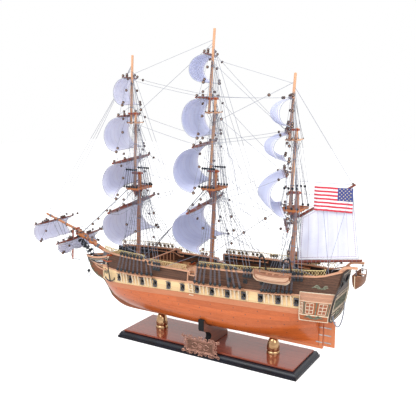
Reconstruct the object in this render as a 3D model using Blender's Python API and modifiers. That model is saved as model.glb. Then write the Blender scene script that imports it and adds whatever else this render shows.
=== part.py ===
"""A three-masted model frigate on its display base, in metres, +Z up.

The origin is the middle of the base's underside. The bow points to -X and the port side is -Y.
"""

import math

import bmesh
import bpy
import numpy as np
from mathutils import Matrix, Vector

GAP = 0.0003  # clearance left between pieces that are glued or rest on each other

# Display base
BASE_LENGTH = 0.509
BASE_WIDTH = 0.156
PLINTH_HEIGHT = 0.015
PLINTH_SHOULDER = 0.008
MOULDING_INSET = 0.006
PANEL_INSET = 0.012
PANEL_THICKNESS = 0.0047
PEDESTAL_HEIGHT = 0.038
PEDESTAL_RADIUS = 0.0163
PEDESTAL_FORE_X = -0.165
PEDESTAL_AFT_X = 0.163
CRADLE_X = 0.0025
CRADLE_THICKNESS = 0.015
CRADLE_FOOT = 0.050
CRADLE_REACH = 0.074
CRADLE_WAIST = 0.037
CRADLE_TIP_HEIGHT = 0.039
CRADLE_CLEARANCE = 0.0006
PLATE_WIDTH = 0.096
PLATE_HEIGHT = 0.046
PLATE_THICKNESS = 0.003
PLATE_X = 0.004
PLATE_RISE = 0.007

# Hull. Heights are above the keel's underside.
BOW_X = -0.357
STEM_FACE_X = BOW_X + 0.0005
BOW_TURN_X = BOW_X + 0.004
MIDSHIP_X = -0.025
POST_AFT_X = 0.288
COUNTER_TURN_X = POST_AFT_X + 0.010
POST_WIDTH = 0.009
HALF_BEAM = 0.076
BOW_FULLNESS = 3.2
STERN_TAPER = 0.48
STERN_RUN = 0.350
STERN_HOLLOW_X = 0.050
KEEL_DEPTH = 0.007
KEEL_THICKNESS = 0.009
# The knee of the head, the stem's fore edge and the forefoot: (ahead of the bow, height)
KNEE_ROOT = 0.100
KNEE_OUTLINE = (
    (0.052, 0.114), (0.058, 0.131), (0.066, 0.131), (0.0565, 0.113), (0.048, 0.094), (0.030, 0.078),
    (0.0055, 0.068), (-0.006, 0.055), (-0.0145, 0.042), (-0.026, 0.0245), (-0.043, 0.013), (-0.058, 0.006),
    (-0.077, 0.0015), (-0.100, 0.0),
)
FOREFOOT_AFT = 0.164
FOREFOOT_X = BOW_X + FOREFOOT_AFT
FOREFOOT_RUN = 0.152
FOREFOOT_RISE = 0.075
FOREFOOT_BEND = 2.5
FOREFOOT_STEEPNESS = 0.34
BEAM_HEIGHT = 0.105
COUNTER_SHARE = 0.65
COUNTER_RISE = 0.010
STRAKE_FOOT = 0.1028
STRAKE_HEAD = 0.1295
STRAKE_FOOT_SHEER = 0.0358
STRAKE_FOOT_DROP = 0.00801
STRAKE_DROP_SPAN = 0.300
STRAKE_HEAD_SHEER = 0.033
PORT_COUNT = 13
PORT_FORE_X = -0.256
PORT_PITCH = 0.0415
PORT_SIZE = 0.0095
PORT_DEPTH = 0.004
BULWARK_THICKNESS = 0.003
BULWARK_TUMBLE = 0.05
STERN_TUMBLE = 0.25
STERN_TUMBLE_X = 0.150
STERN_TUMBLE_RUN = 0.170
DECK_THICKNESS = 0.007
RAIL_RADIUS = 0.0024
RAIL_FORE = 0.160
RAIL_WAIST = 0.153
RAIL_AFT = 0.1665
RAIL_AFT_SHEER = 0.040
RAIL_SWEEP = 0.013
RAIL_START = 0.025
RAIL_START_X = BOW_X + RAIL_START
WAIST_FORE_X = -0.158
GANGWAY_X = -0.022
GANGWAY_WIDTH = 0.022
GANGWAY_SILL = 0.0085
TRANSOM_THICKNESS = 0.003
TRANSOM_X = 0.3125
TRANSOM_RAKE = 0.20
TRANSOM_FOOT = 0.080
TRANSOM_HEAD = 0.194
TRANSOM_LEDGE = 0.0015
GALLERY_FORE_X = 0.250
GALLERY_BULGE = 0.008
GALLERY_FOOT = 0.080
GALLERY_HEAD = 0.147
RUDDER_CHORD = 0.025
RUDDER_THICKNESS = 0.005
RUDDER_FOOT = 0.007
RUDDER_CLEARANCE = 0.0015

# Masts: x where each stands on the deck, and the rake of its three lengths as a slope aft
MAST_X = {"fore": -0.241, "main": -0.013, "mizzen": 0.202}
MAST_RAKE = {"fore": (0.046, 0.046, 0.056), "main": (0.054, 0.080, 0.077), "mizzen": (0.062, 0.066, 0.072)}
# Each mast doubles the next one up from its top, or its crosstrees, to its head
TOP_HEIGHT = {"fore": 0.338, "main": 0.354, "mizzen": 0.322}
LOWER_DOUBLING = {"fore": 0.042, "main": 0.045, "mizzen": 0.041}
LOWER_HEAD = {mast: TOP_HEIGHT[mast] + LOWER_DOUBLING[mast] for mast in MAST_X}
CROSSTREE_HEIGHT = {"fore": 0.507, "main": 0.536, "mizzen": 0.478}
TOPMAST_DOUBLING = {"fore": 0.028, "main": 0.037, "mizzen": 0.027}
TOPMAST_HEAD = {mast: CROSSTREE_HEIGHT[mast] + TOPMAST_DOUBLING[mast] for mast in MAST_X}
TRUCK_HEIGHT = {"fore": 0.679, "main": 0.732, "mizzen": 0.626}
LOWER_RADIUS = 0.0055
TOPMAST_RADIUS = 0.0040
TOPGALLANT_RADIUS = 0.0034
MAST_TAPER = 0.85
POLE_TAPER = 0.9
MAST_FOOT_ROOM = 0.0008
DOUBLING_STEP = 0.0155
TOP_LENGTH = 0.048
TOP_WIDTH = 0.066
TOP_THICKNESS = 0.005
TOP_PLACE = 0.35
TREE_PLACE = 0.45
CROSSTREE_LENGTH = 0.034
CROSSTREE_WIDTH = 0.042
CROSSTREE_THICKNESS = 0.003
CAP_HEIGHT = 0.004
CAP_WIDTH = 0.012

# Bowsprit and jib boom
BOWSPRIT_HEEL = 0.027
BOWSPRIT_HEEL_X = BOW_X + BOWSPRIT_HEEL
BOWSPRIT_REACH = 0.098
BOWSPRIT_CAP_X = BOW_X - BOWSPRIT_REACH
BOWSPRIT_CAP_HEIGHT = 0.192
BOWSPRIT_SLOPE = 0.4216
BOWSPRIT_RADIUS = 0.0055
JIB_BOOM_TIP_X = -0.575
JIB_BOOM_SLOPE = 0.300
JIB_BOOM_LIFT = 0.006
JIB_BOOM_HEEL = 0.014
JIB_BOOM_RADIUS = 0.0041
JIB_BOOM_TAPER = 0.7
BOWSPRIT_CAP_SIZE = (0.005, 0.013, 0.021)
STRIKER_AHEAD = 0.018
STRIKER_RAKE = 0.006
STRIKER_LENGTH = 0.094
STRIKER_RADIUS = 0.0024

# Square rig: each yard's height, length, brace angle (port end aft) and parrel length, then its sail's
# foot height, foot width, belly depth, how far the foot is ahead of the yard, clew sweep aft and roach.
YARD_RADIUS_SHARE = 0.016
YARD_RADIUS_LEAST = 0.0022
YARD_TIP = 0.6
SQUARE_RIG = {
    "fore_course": (0.294, 0.303, 13.6, 0.0095, (0.206, 0.230, 0.046, 0.010, 0.032, 0.0)),
    "fore_topsail": (0.413, 0.248, 14.7, 0.0016, (0.325, 0.236, 0.040, 0.012, 0.014, 0.0215)),
    "fore_topgallant": (0.5255, 0.150, 15.0, 0.0016, (0.439, 0.190, 0.041, 0.006, 0.008, 0.0)),
    "fore_royal": (0.622, 0.100, 15.0, 0.0014, (0.5535, 0.122, 0.028, 0.003, 0.004, 0.0)),
    "main_course": (0.314, 0.290, 13.0, 0.0125, (0.214, 0.222, 0.065, 0.004, 0.028, 0.0)),
    "main_topsail": (0.461, 0.230, 16.0, 0.0130, (0.357, 0.232, 0.055, 0.004, 0.004, 0.010)),
    "main_topgallant": (0.572, 0.175, 12.6, 0.0016, (0.481, 0.190, 0.042, 0.002, 0.006, 0.0)),
    "main_royal": (0.672, 0.115, 13.8, 0.0014, (0.6065, 0.136, 0.040, 0.003, 0.004, 0.0)),
    "mizzen_crossjack": (0.287, 0.200, 25.8, 0.0155, None),
    "mizzen_topsail": (0.405, 0.180, 25.6, 0.0130, (0.313, 0.170, 0.056, 0.008, 0.010, 0.021)),
    "mizzen_topgallant": (0.4945, 0.125, 26.4, 0.0030, (0.436, 0.148, 0.048, 0.004, 0.004, 0.0)),
    "mizzen_royal": (0.5717, 0.080, 28.0, 0.0014, (0.510, 0.103, 0.041, 0.006, 0.004, 0.0)),
}
# How much less a square sail bellies at its side edges than in its middle
LEECH_SLACK = {"fore": 0.12, "main": 0.12, "mizzen": 0.36}
HEAD_SHARE = 0.86  # part of the yard's length that the sail's head takes
SAIL_THICKNESS = 0.0008
SPRITSAIL_YARD_X = -0.450
SPRITSAIL_YARD_LENGTH = 0.208
SPRITSAIL_BRACE = 6.0
SPRITSAIL_DROP = 0.024
SPRITSAIL_BELLY = 0.012
SPRITSAIL_SWAG = 0.006
SPRIT_SWEEP = 0.004
SLING_SIZE = (0.002, 0.004)
SLING_ROOM = 0.0012
SPRIT_TOPSAIL_YARD_X = -0.545
SPRIT_TOPSAIL_YARD_LENGTH = 0.164
SPRIT_TOPSAIL_BRACE = 2.0
SPRIT_TOPSAIL_DROP = 0.046
SPRIT_TOPSAIL_BELLY = 0.020
SPRIT_TOPSAIL_SWAG = 0.002

# Spanker and ensign
GAFF_HEIGHT = 0.304
GAFF_PEAK_X = 0.346
GAFF_PEAK_HEIGHT = 0.386
GAFF_RADIUS = 0.0030
GAFF_TAPER = 0.75
BOOM_HEIGHT = 0.197
BOOM_END_X = 0.368
BOOM_END_HEIGHT = 0.221
BOOM_RADIUS = 0.0034
SPANKER_BELLY = 0.006
SPANKER_LACING = 0.0006
ENSIGN_LENGTH = 0.087
ENSIGN_HOIST = 0.054
ENSIGN_DROP = 0.0065
ENSIGN_RIPPLE = 0.0018

# Boats and davits
QUARTER_BOAT_X = 0.1975
QUARTER_BOAT_LENGTH = 0.088
QUARTER_BOAT_BEAM = 0.027
QUARTER_BOAT_DEPTH = 0.021
QUARTER_DAVIT_REACH = 0.036
QUARTER_DAVIT_HEIGHT = 0.224
QUARTER_DAVIT_SPAN = 0.057
QUARTER_FALL = 0.032
DAVIT_RADIUS = 0.0019
STERN_BOAT_LENGTH = 0.068
STERN_BOAT_BEAM = 0.024
STERN_BOAT_DEPTH = 0.026
STERN_DAVIT_REACH = 0.0525
STERN_DAVIT_X = TRANSOM_X + STERN_DAVIT_REACH
STERN_DAVIT_Y = 0.025
STERN_DAVIT_HEIGHT = 0.209
STERN_FALL = 0.019
STERN_ARM_RADIUS = 0.0026
BOAT_SKIN = 0.0012
FALL_RADIUS = 0.0008

# Shrouds: rows of lines from the strake's head to the lower masthead
SHROUD_FORE = {"fore": -0.252, "main": -0.006, "mizzen": 0.196}
SHROUD_SPREAD = {"fore": 0.116, "main": 0.122, "mizzen": 0.037}
SHROUD_LINES = {"fore": 5, "main": 5, "mizzen": 3}
RATLINE_ROWS = 6
ROPE_WIDTH = 0.0010
RAIL_CLEARANCE = 0.0015
CHANNEL_THICKNESS = 0.002
CHANNEL_LIFT = 0.001
CHANNEL_EDGE = 0.002
COLLAR_RADIUS = 0.0011
COLLAR_DROP = 0.0045
MASTHEAD_SPREAD = 0.016

# The rudder's preventer rope, from the port eye to the starboard one: places across the ship, heights
# above the keel's underside and distances from the transom's aft face
PREVENTER_RADIUS = 0.0014
PREVENTER_POINTS = 33
PREVENTER_ROUTE = [
    (-0.037, 0.0965, 0.0003),
    (-0.031, 0.0820, 0.0040),
    (-0.016, 0.0665, 0.0090),
    (0.000, 0.0610, 0.0110),
    (0.016, 0.0690, 0.0100),
    (0.030, 0.0880, 0.0060),
    (0.037, 0.1090, 0.0003),
]

KEEL_Z = PLINTH_HEIGHT + GAP + PANEL_THICKNESS + PEDESTAL_HEIGHT
BASE_TOP = PLINTH_HEIGHT + GAP + PANEL_THICKNESS
PORT, STARBOARD = -1, 1


def clear_scene():
    for old in list(bpy.data.objects):
        bpy.data.objects.remove(old, do_unlink=True)


def new_collection(name):
    group = bpy.data.collections.new(name)
    bpy.context.scene.collection.children.link(group)
    return group


def paint(name, colour, roughness=0.5, metallic=0.0):
    """A Principled material with one colour, as red, green and blue from 0 to 1."""
    material = bpy.data.materials.new(name)
    material.use_nodes = True
    shader = material.node_tree.nodes["Principled BSDF"]
    shader.inputs["Base Color"].default_value = (*colour, 1.0)
    shader.inputs["Roughness"].default_value = roughness
    shader.inputs["Metallic"].default_value = metallic
    return material


def place(name, mesh, material, origin=None):
    """Makes a node of a mesh, with its origin moved to a joint's axis where one is given."""
    node = bpy.data.objects.new(name, mesh)
    mesh.materials.clear()
    mesh.materials.append(material)
    SHIP.objects.link(node)
    if origin is not None:
        mesh.transform(Matrix.Translation(-Vector(origin)))
        node.location = origin
    return node


def helper(mesh):
    """A hidden object that only cuts or joins another."""
    shape = bpy.data.objects.new("helper", mesh)
    HELPERS.objects.link(shape)
    shape.hide_render = True
    shape.display_type = "WIRE"
    return shape


def baked(shape):
    """The evaluated mesh of a helper, which is then removed."""
    bpy.context.view_layer.update()
    graph = bpy.context.evaluated_depsgraph_get()
    mesh = bpy.data.meshes.new_from_object(shape.evaluated_get(graph))
    mesh.transform(shape.matrix_world)
    bpy.data.objects.remove(shape, do_unlink=True)
    return mesh


def combined(first, others, operation="UNION"):
    """One mesh from several, by Boolean."""
    base = helper(first)
    tools = [helper(mesh) for mesh in others]
    for tool in tools:
        step = base.modifiers.new("joint", "BOOLEAN")
        step.operation = operation
        step.solver = "EXACT"
        step.object = tool
    mesh = baked(base)
    for tool in tools:
        bpy.data.objects.remove(tool, do_unlink=True)
    return mesh


def finish_mesh(work, smooth_angle=None):
    bmesh.ops.recalc_face_normals(work, faces=work.faces)
    mesh = bpy.data.meshes.new("shape")
    work.to_mesh(mesh)
    work.free()
    if smooth_angle is not None:
        mesh.shade_smooth()
        mesh.set_sharp_from_angle(angle=math.radians(smooth_angle))
    return mesh


def loft(rings, smooth_angle=None):
    """A closed skin over rings of equally many points, with flat ends."""
    work = bmesh.new()
    made = [[work.verts.new(point) for point in ring] for ring in rings]
    count = len(made[0])
    for before, after in zip(made, made[1:]):
        for i in range(count):
            j = (i + 1) % count
            work.faces.new((before[i], before[j], after[j], after[i]))
    work.faces.new(made[0][::-1])
    work.faces.new(made[-1])
    return finish_mesh(work, smooth_angle)


def box(centre, size):
    work = bmesh.new()
    bmesh.ops.create_cube(work, size=1.0)
    bmesh.ops.scale(work, vec=size, verts=work.verts)
    bmesh.ops.translate(work, vec=centre, verts=work.verts)
    return finish_mesh(work)


def tube(points, radii, bevel_resolution=2, closed=False):
    """A round bar through the points, with a radius at each, as a closed mesh."""
    if not isinstance(radii, (list, tuple)):
        radii = [radii] * len(points)
    curve = bpy.data.curves.new("bar", "CURVE")
    curve.dimensions = "3D"
    curve.bevel_depth = max(radii)
    curve.bevel_resolution = bevel_resolution
    curve.use_fill_caps = True
    spline = curve.splines.new("POLY")
    spline.points.add(len(points) - 1)
    spline.use_cyclic_u = closed
    for place_on, point, radius in zip(spline.points, points, radii):
        place_on.co = (*point, 1.0)
        place_on.radius = radius / max(radii)
    shape = bpy.data.objects.new("bar", curve)
    HELPERS.objects.link(shape)
    mesh = baked(shape)
    work = bmesh.new()
    work.from_mesh(mesh)
    bmesh.ops.remove_doubles(work, verts=work.verts, dist=1e-6)
    return finish_mesh(work, 40)


def plate(outline, thickness):
    """A flat outline in X and Y, as thick as asked, its middle at z = 0."""
    curve = bpy.data.curves.new("plate", "CURVE")
    curve.dimensions = "2D"
    curve.fill_mode = "BOTH"
    curve.extrude = thickness / 2
    spline = curve.splines.new("POLY")
    spline.points.add(len(outline) - 1)
    for place_on, (u, v) in zip(spline.points, outline):
        place_on.co = (u, v, 0.0, 1.0)
    spline.use_cyclic_u = True
    shape = bpy.data.objects.new("plate", curve)
    HELPERS.objects.link(shape)
    mesh = baked(shape)
    work = bmesh.new()
    work.from_mesh(mesh)
    bmesh.ops.remove_doubles(work, verts=work.verts, dist=1e-6)
    return finish_mesh(work)


def turned(mesh, columns, move):
    """A copy of a flat plate with its X, Y and Z laid along three directions, then moved."""
    matrix = Matrix(columns).transposed().to_4x4()
    matrix.translation = move
    mesh.transform(matrix)
    work = bmesh.new()
    work.from_mesh(mesh)
    return finish_mesh(work)


def smooth_outline(points, steps=4):
    """A closed outline through the points, rounded with a Catmull-Rom curve."""
    outline = []
    count = len(points)
    for i in range(count):
        p0, p1, p2, p3 = (np.array(points[(i + k) % count]) for k in (-1, 0, 1, 2))
        for step in range(steps):
            t = step / steps
            swing = p1 * 2 + (p2 - p0) * t
            swing = swing + (p0 * 2 - p1 * 5 + p2 * 4 - p3) * t**2
            swing = swing + (p1 * 3 - p0 - p2 * 3 + p3) * t**3
            outline.append(tuple(swing / 2))
    return outline


# Hull lines


def half_beam(x):
    if x < MIDSHIP_X:
        forward = min((MIDSHIP_X - x) / (MIDSHIP_X - BOW_X), 1.0)
        return HALF_BEAM * math.sqrt(max(1 - forward**BOW_FULLNESS, 0.0))
    return HALF_BEAM * (1 - STERN_TAPER * ((x - MIDSHIP_X) / STERN_RUN) ** 2.4)


def rail_half(x):
    aft = min(max((x - STERN_TUMBLE_X) / STERN_TUMBLE_RUN, 0.0), 1.0)
    return half_beam(x) * (1 - BULWARK_TUMBLE - STERN_TUMBLE * aft**2)


def rabbet(x):
    forward = min(max((FOREFOOT_X - x) / FOREFOOT_RUN, 0.0), 1.0)
    return KEEL_Z + KEEL_DEPTH + FOREFOOT_RISE * (1 - (1 - forward**FOREFOOT_BEND) ** FOREFOOT_STEEPNESS)


def strake_foot(x):
    return KEEL_Z + STRAKE_FOOT + STRAKE_FOOT_SHEER * x - STRAKE_FOOT_DROP * (x / STRAKE_DROP_SPAN) ** 2


def strake_head(x):
    return KEEL_Z + STRAKE_HEAD + STRAKE_HEAD_SHEER * x


def deck_top(x):
    return strake_head(x) + GAP + DECK_THICKNESS


def transom_front(z):
    return TRANSOM_X + TRANSOM_RAKE * (z - KEEL_Z - TRANSOM_FOOT)


def section(x, z):
    """Half the hull's breadth at a height: full amidships, sharp at the bow, hollow at the stern."""
    up = (z - rabbet(x)) / (KEEL_Z + BEAM_HEIGHT - rabbet(x))
    up = min(max(up, 0.0), 1.0)
    bow = max((MIDSHIP_X - x) / (MIDSHIP_X - BOW_X), 0.0) ** 1.5
    stern = min(max((x - STERN_HOLLOW_X) / (POST_AFT_X - STERN_HOLLOW_X), 0.0), 1.0) ** 1.5
    bilge = 4 - 2.4 * bow - 2.9 * stern
    floor = 2 - 0.8 * bow - 1.5 * stern
    breadth = half_beam(x) * (1 - (1 - up) ** bilge) ** (1 / floor)
    return max(breadth, KEEL_THICKNESS / 2)


def knuckle(x):
    return rabbet(x) + COUNTER_SHARE * (strake_foot(x) - rabbet(x))


def stations():
    """Places along the hull, closer together at the bow."""
    bow = [BOW_X + (MIDSHIP_X - BOW_X) * s for s in (0.0435, 0.075, 0.12, 0.18, 0.26, 0.36, 0.5, 0.7)]
    post = POST_AFT_X - POST_WIDTH
    stern = [MIDSHIP_X + (post - MIDSHIP_X) * s for s in (0, 0.22, 0.42, 0.58, 0.7, 0.8, 0.89, 0.95, 1)]
    return bow + stern


def stern_point(x, y, z, last):
    """A point of a hull ring. On the last ring it lies just ahead of the raked transom."""
    return (transom_front(z) - GAP, y, z) if last else (x, y, z)


def hull_ring(x, counter=False, last=False):
    low, knee, top = rabbet(x), knuckle(x), strake_foot(x)
    side = []
    for step in range(6):
        t = step / 5
        if counter:
            rise = COUNTER_RISE * (x - POST_AFT_X) / (TRANSOM_X - POST_AFT_X)
            z = knee + max(rise, 0.0)
            side.append((KEEL_THICKNESS / 2 * (1 - t) + section(x, z) * t, z))
        else:
            z = low + (knee - low) * t
            side.append((section(x, z), z))
    start = side[-1][1]
    for step in range(1, 4):
        z = start + (top - start) * step / 3
        side.append((section(x, z), z))
    port = [stern_point(x, -y, z, last) for y, z in reversed(side)]
    starboard = [stern_point(x, y, z, last) for y, z in side]
    return port + starboard


def make_hull_bottom():
    rings = [hull_ring(x) for x in stations()]
    post = POST_AFT_X - POST_WIDTH
    rings.append(hull_ring(post + GAP, counter=True))
    rings.append(hull_ring(COUNTER_TURN_X, counter=True))
    rings.append(hull_ring(TRANSOM_X, counter=True, last=True))
    place("hull_bottom", loft(rings, 35), HULL_WOOD)


def make_keel_and_stem():
    post = POST_AFT_X - POST_WIDTH
    inner = [(x, rabbet(x) - GAP) for x in stations()]
    inner[-1] = (post + 2 * GAP, inner[-1][1])
    face = BOW_X - GAP
    heel_top = knuckle(post) - GAP
    outline = [(POST_AFT_X, KEEL_Z), (POST_AFT_X, heel_top), (post + 2 * GAP, heel_top)]
    outline += inner[::-1]
    first = stations()[0] - GAP
    outline += [(first, rabbet(first + GAP) - GAP), (first, strake_foot(first) - GAP)]
    outline += [(face, strake_foot(face) - GAP), (face, KEEL_Z + KNEE_ROOT)]
    outline += [(BOW_X - ahead, KEEL_Z + height) for ahead, height in KNEE_OUTLINE]
    mesh = turned(plate(outline, KEEL_THICKNESS), ((1, 0, 0), (0, 0, 1), (0, -1, 0)), (0, 0, 0))
    place("keel_and_stem", mesh, KEEL_WOOD)


def strake_ring(x, last=False):
    y = max(half_beam(x), KEEL_THICKNESS / 2)
    foot, head = strake_foot(x) + GAP, strake_head(x)
    corners = ((-y, head), (-y, foot), (y, foot), (y, head))
    return [stern_point(x, *corner, last) for corner in corners]


def make_gun_strake():
    places = [STEM_FACE_X, BOW_TURN_X] + stations() + [COUNTER_TURN_X]
    rings = [strake_ring(x) for x in places] + [strake_ring(TRANSOM_X, last=True)]
    cutters = []
    for number in range(PORT_COUNT):
        x = PORT_FORE_X + PORT_PITCH * number
        z = (strake_foot(x) + strake_head(x)) / 2
        for side in (PORT, STARBOARD):
            cutters.append(box((x, side * half_beam(x), z), (PORT_SIZE, 2 * PORT_DEPTH, PORT_SIZE)))
    place("gun_strake", combined(loft(rings), cutters, "DIFFERENCE"), CREAM_PAINT)


def rail_foot(x):
    """Height of the bulwark's top edge, not counting the waist's step and the gangway."""
    if x < RAIL_START_X:
        return bowsprit_underside(BOW_TURN_X) - GAP
    if x < WAIST_FORE_X:
        return KEEL_Z + RAIL_FORE
    if x < GANGWAY_X - GANGWAY_WIDTH / 2:
        return KEEL_Z + RAIL_WAIST
    sweep = max((x - POST_AFT_X) / (TRANSOM_X - POST_AFT_X), 0.0)
    return KEEL_Z + RAIL_AFT + RAIL_AFT_SHEER * (x - GANGWAY_X) + RAIL_SWEEP * sweep**2


def bowsprit_underside(x):
    axis = KEEL_Z + BOWSPRIT_CAP_HEIGHT - BOWSPRIT_SLOPE * (x - BOWSPRIT_CAP_X)
    return axis - BOWSPRIT_RADIUS * math.hypot(1, BOWSPRIT_SLOPE)


def jib_boom_height(x):
    return KEEL_Z + BOWSPRIT_CAP_HEIGHT + JIB_BOOM_LIFT - JIB_BOOM_SLOPE * (x - BOWSPRIT_CAP_X)


def top_steps():
    """Where the bulwark's top edge steps: (x, height before, height after), going aft."""
    fore, aft = GANGWAY_X - GANGWAY_WIDTH / 2, GANGWAY_X + GANGWAY_WIDTH / 2
    sill = deck_top(GANGWAY_X) + GANGWAY_SILL
    return [
        (RAIL_START_X, rail_foot(RAIL_START_X - GAP), rail_foot(RAIL_START_X)),
        (WAIST_FORE_X, rail_foot(WAIST_FORE_X - GAP), rail_foot(WAIST_FORE_X)),
        (fore, rail_foot(fore - GAP), sill),
        (aft, sill, rail_foot(aft)),
    ]


def bulwark_half():
    """Places from the stem to the transom with the top edge's height, twice where it steps."""
    steps = top_steps()
    marks = {x for x, _, _ in steps}
    level = [x for x in stations() if all(abs(x - mark) > 0.002 for mark in marks)]
    level = [x for x in level if not steps[2][0] < x < steps[3][0]]
    level += [STEM_FACE_X, BOW_TURN_X, COUNTER_TURN_X, TRANSOM_X]
    places = [(x, rail_foot(x)) for x in level]
    for x, before, after in steps:
        places += [(x - GAP, before), (x + GAP, after)]
    return sorted(places)


def make_bulwark():
    half = bulwark_half()
    rings = []
    for side in (PORT, STARBOARD):
        run = half[::-1] if side == PORT else half
        for x, top in run:
            last = x == TRANSOM_X
            foot = strake_head(x) + GAP
            slope = (half_beam(x + 1e-4) - half_beam(x - 1e-4)) / 2e-4 if x > BOW_X + 0.002 else 6.0
            inset = min(BULWARK_THICKNESS * math.hypot(1, slope), half_beam(x) * 0.8)
            low, high = half_beam(x), rail_half(x)
            low, high = max(low, 0.004), max(high, 0.004)
            shift = BULWARK_THICKNESS if x < BOW_X + 0.002 else 0.0
            ring = [
                stern_point(x, side * low, foot, last),
                stern_point(x, side * high, top, last),
                stern_point(x + shift, side * (high - inset), top, last),
                stern_point(x + shift, side * (low - inset), foot, last),
            ]
            rings.append(ring)
    channels = [channel_mesh(mast, side) for mast in MAST_X for side in (PORT, STARBOARD)]
    place("bulwark", combined(loft(rings), channels), WALNUT)


def make_spar_deck():
    rings = []
    places = [RAIL_START_X] + [x for x in stations() if x > RAIL_START_X + 0.004]
    for x in places + [COUNTER_TURN_X, TRANSOM_X]:
        last = x == TRANSOM_X
        share = DECK_THICKNESS / (rail_foot(x) - strake_head(x))
        slope = (half_beam(x + 1e-4) - half_beam(x - 1e-4)) / 2e-4
        wall = BULWARK_THICKNESS * math.hypot(1, slope) + 5 * GAP
        y = half_beam(x) + (rail_half(x) - half_beam(x)) * share - wall
        low, high = strake_head(x) + GAP, deck_top(x)
        corners = ((-y, high), (-y, low), (y, low), (y, high))
        rings.append([stern_point(x, *corner, last) for corner in corners])
    place("spar_deck", loft(rings), DECK_WOOD)


def make_transom():
    """The raked stern panel, wide at the galleries and drawn in at the taffrail."""
    reach = half_beam(TRANSOM_X) + GALLERY_BULGE + TRANSOM_LEDGE
    head = rail_half(TRANSOM_X)
    rise = TRANSOM_HEAD - TRANSOM_FOOT
    half = [(reach * 0.62, -0.002), (reach * 0.93, rise * 0.07), (reach, rise * 0.22)]
    half += [(reach, rise * 0.42), (reach * 0.90, rise * 0.58), (head * 1.10, rise * 0.74)]
    half += [(head, rise * 0.88), (head * 0.96, rise)]
    outline = half + [(-y, z) for y, z in reversed(half)]
    lean = math.hypot(1, TRANSOM_RAKE)
    outline = [(y, z * lean) for y, z in outline]
    up = Vector((TRANSOM_RAKE, 0, 1)) / lean
    out = Vector((1, 0, -TRANSOM_RAKE)) / lean
    foot = Vector((TRANSOM_X, 0, KEEL_Z + TRANSOM_FOOT)) + out * (TRANSOM_THICKNESS / 2)
    mesh = turned(plate(outline, TRANSOM_THICKNESS), ((0, 1, 0), up, out), foot)
    place("transom", mesh, WALNUT)


def make_quarter_galleries():
    """Window galleries on both quarters: a foot, a bulged window band and a sloping roof."""
    profile = [(0.0, 0.0), (0.55, 0.10), (1.0, 0.24), (0.88, 0.72), (0.55, 0.86), (0.0, 1.0)]
    rise = GALLERY_HEAD - GALLERY_FOOT
    middle = (GALLERY_FORE_X + POST_AFT_X) / 2
    shoulder = GALLERY_FORE_X + GALLERY_BULGE
    for side, name in ((PORT, "port"), (STARBOARD, "stbd")):
        rings = []
        for x, swell in zip((GALLERY_FORE_X, shoulder, middle, TRANSOM_X), (0.35, 0.9, 1.0, 1.0)):
            last = x == TRANSOM_X
            wall = half_beam(x) + 0.0006
            ring = []
            for out, up in profile:
                z = KEEL_Z + GALLERY_FOOT + rise * up
                ring.append(stern_point(x, side * (wall + GALLERY_BULGE * swell * out), z, last))
            rings.append(ring)
        place(f"quarter_gallery_{name}", loft(rings), GALLERY_WOOD)


def make_rudder():
    axis_x = POST_AFT_X + GAP + RUDDER_THICKNESS / 2
    foot = KEEL_Z + RUDDER_FOOT
    head = knuckle(POST_AFT_X) - RUDDER_CLEARANCE
    nose = RUDDER_THICKNESS / 2
    outline = [(nose * math.cos(a), nose * math.sin(a)) for a in np.linspace(math.pi / 2, 1.5 * math.pi, 7)]
    outline += [(RUDDER_CHORD * 0.8, -nose * 0.8), (RUDDER_CHORD, -nose * 0.5)]
    outline += [(RUDDER_CHORD, nose * 0.5), (RUDDER_CHORD * 0.8, nose * 0.8)]
    mesh = plate(outline, head - foot)
    mesh.transform(Matrix.Translation((axis_x, 0, (foot + head) / 2)))
    place("rudder", mesh, KEEL_WOOD, origin=(axis_x, 0, foot))


# Stand


def make_base():
    """A dark moulded plinth with a polished panel let into its top."""
    levels = [(0.0, 0.0), (0.0, PLINTH_SHOULDER * 0.45), (0.0022, PLINTH_SHOULDER * 0.62)]
    levels += [(0.0, PLINTH_SHOULDER), (MOULDING_INSET * 0.6, PLINTH_SHOULDER + 0.0018)]
    levels += [(MOULDING_INSET, PLINTH_HEIGHT)]
    rings = []
    for inset, z in levels:
        x, y = BASE_LENGTH / 2 - inset, BASE_WIDTH / 2 - inset
        rings.append([(-x, -y, z), (x, -y, z), (x, y, z), (-x, y, z)])
    place("base_plinth", loft(rings), PLINTH_PAINT)
    size = (BASE_LENGTH - 2 * PANEL_INSET, BASE_WIDTH - 2 * PANEL_INSET, PANEL_THICKNESS)
    panel = place("base_panel", box((0, 0, BASE_TOP - PANEL_THICKNESS / 2), size), PANEL_WOOD)
    edge = panel.modifiers.new("rounded edge", "BEVEL")
    edge.width = 0.0012
    edge.segments = 2


def make_pedestals():
    """Turned brass columns under the keel."""
    low, high = BASE_TOP + GAP, KEEL_Z - GAP
    rise = high - low
    shares = [(0.56, 1.0), (0.67, 0.91), (0.78, 0.80), (0.87, 0.67), (0.935, 0.53), (0.965, 0.40)]
    shares += [(0.965, 0.26), (0.93, 0.20), (1.0, 0.15), (1.0, 0.0)]
    for name, x in (("fore", PEDESTAL_FORE_X), ("aft", PEDESTAL_AFT_X)):
        mesh = bpy.data.meshes.new("profile")
        profile = [(0.0, 0.0, high)]
        profile += [(PEDESTAL_RADIUS * out, 0.0, low + rise * up) for out, up in shares]
        profile.append((0.0, 0.0, low))
        mesh.from_pydata(profile, [(i, i + 1) for i in range(len(profile) - 1)], [])
        node = place(f"pedestal_{name}", mesh, BRASS)
        node.location.x = x
        lathe = node.modifiers.new("turned", "SCREW")
        lathe.steps = lathe.render_steps = 20
        lathe.use_merge_vertices = True
        lathe.merge_threshold = 0.00001


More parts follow.
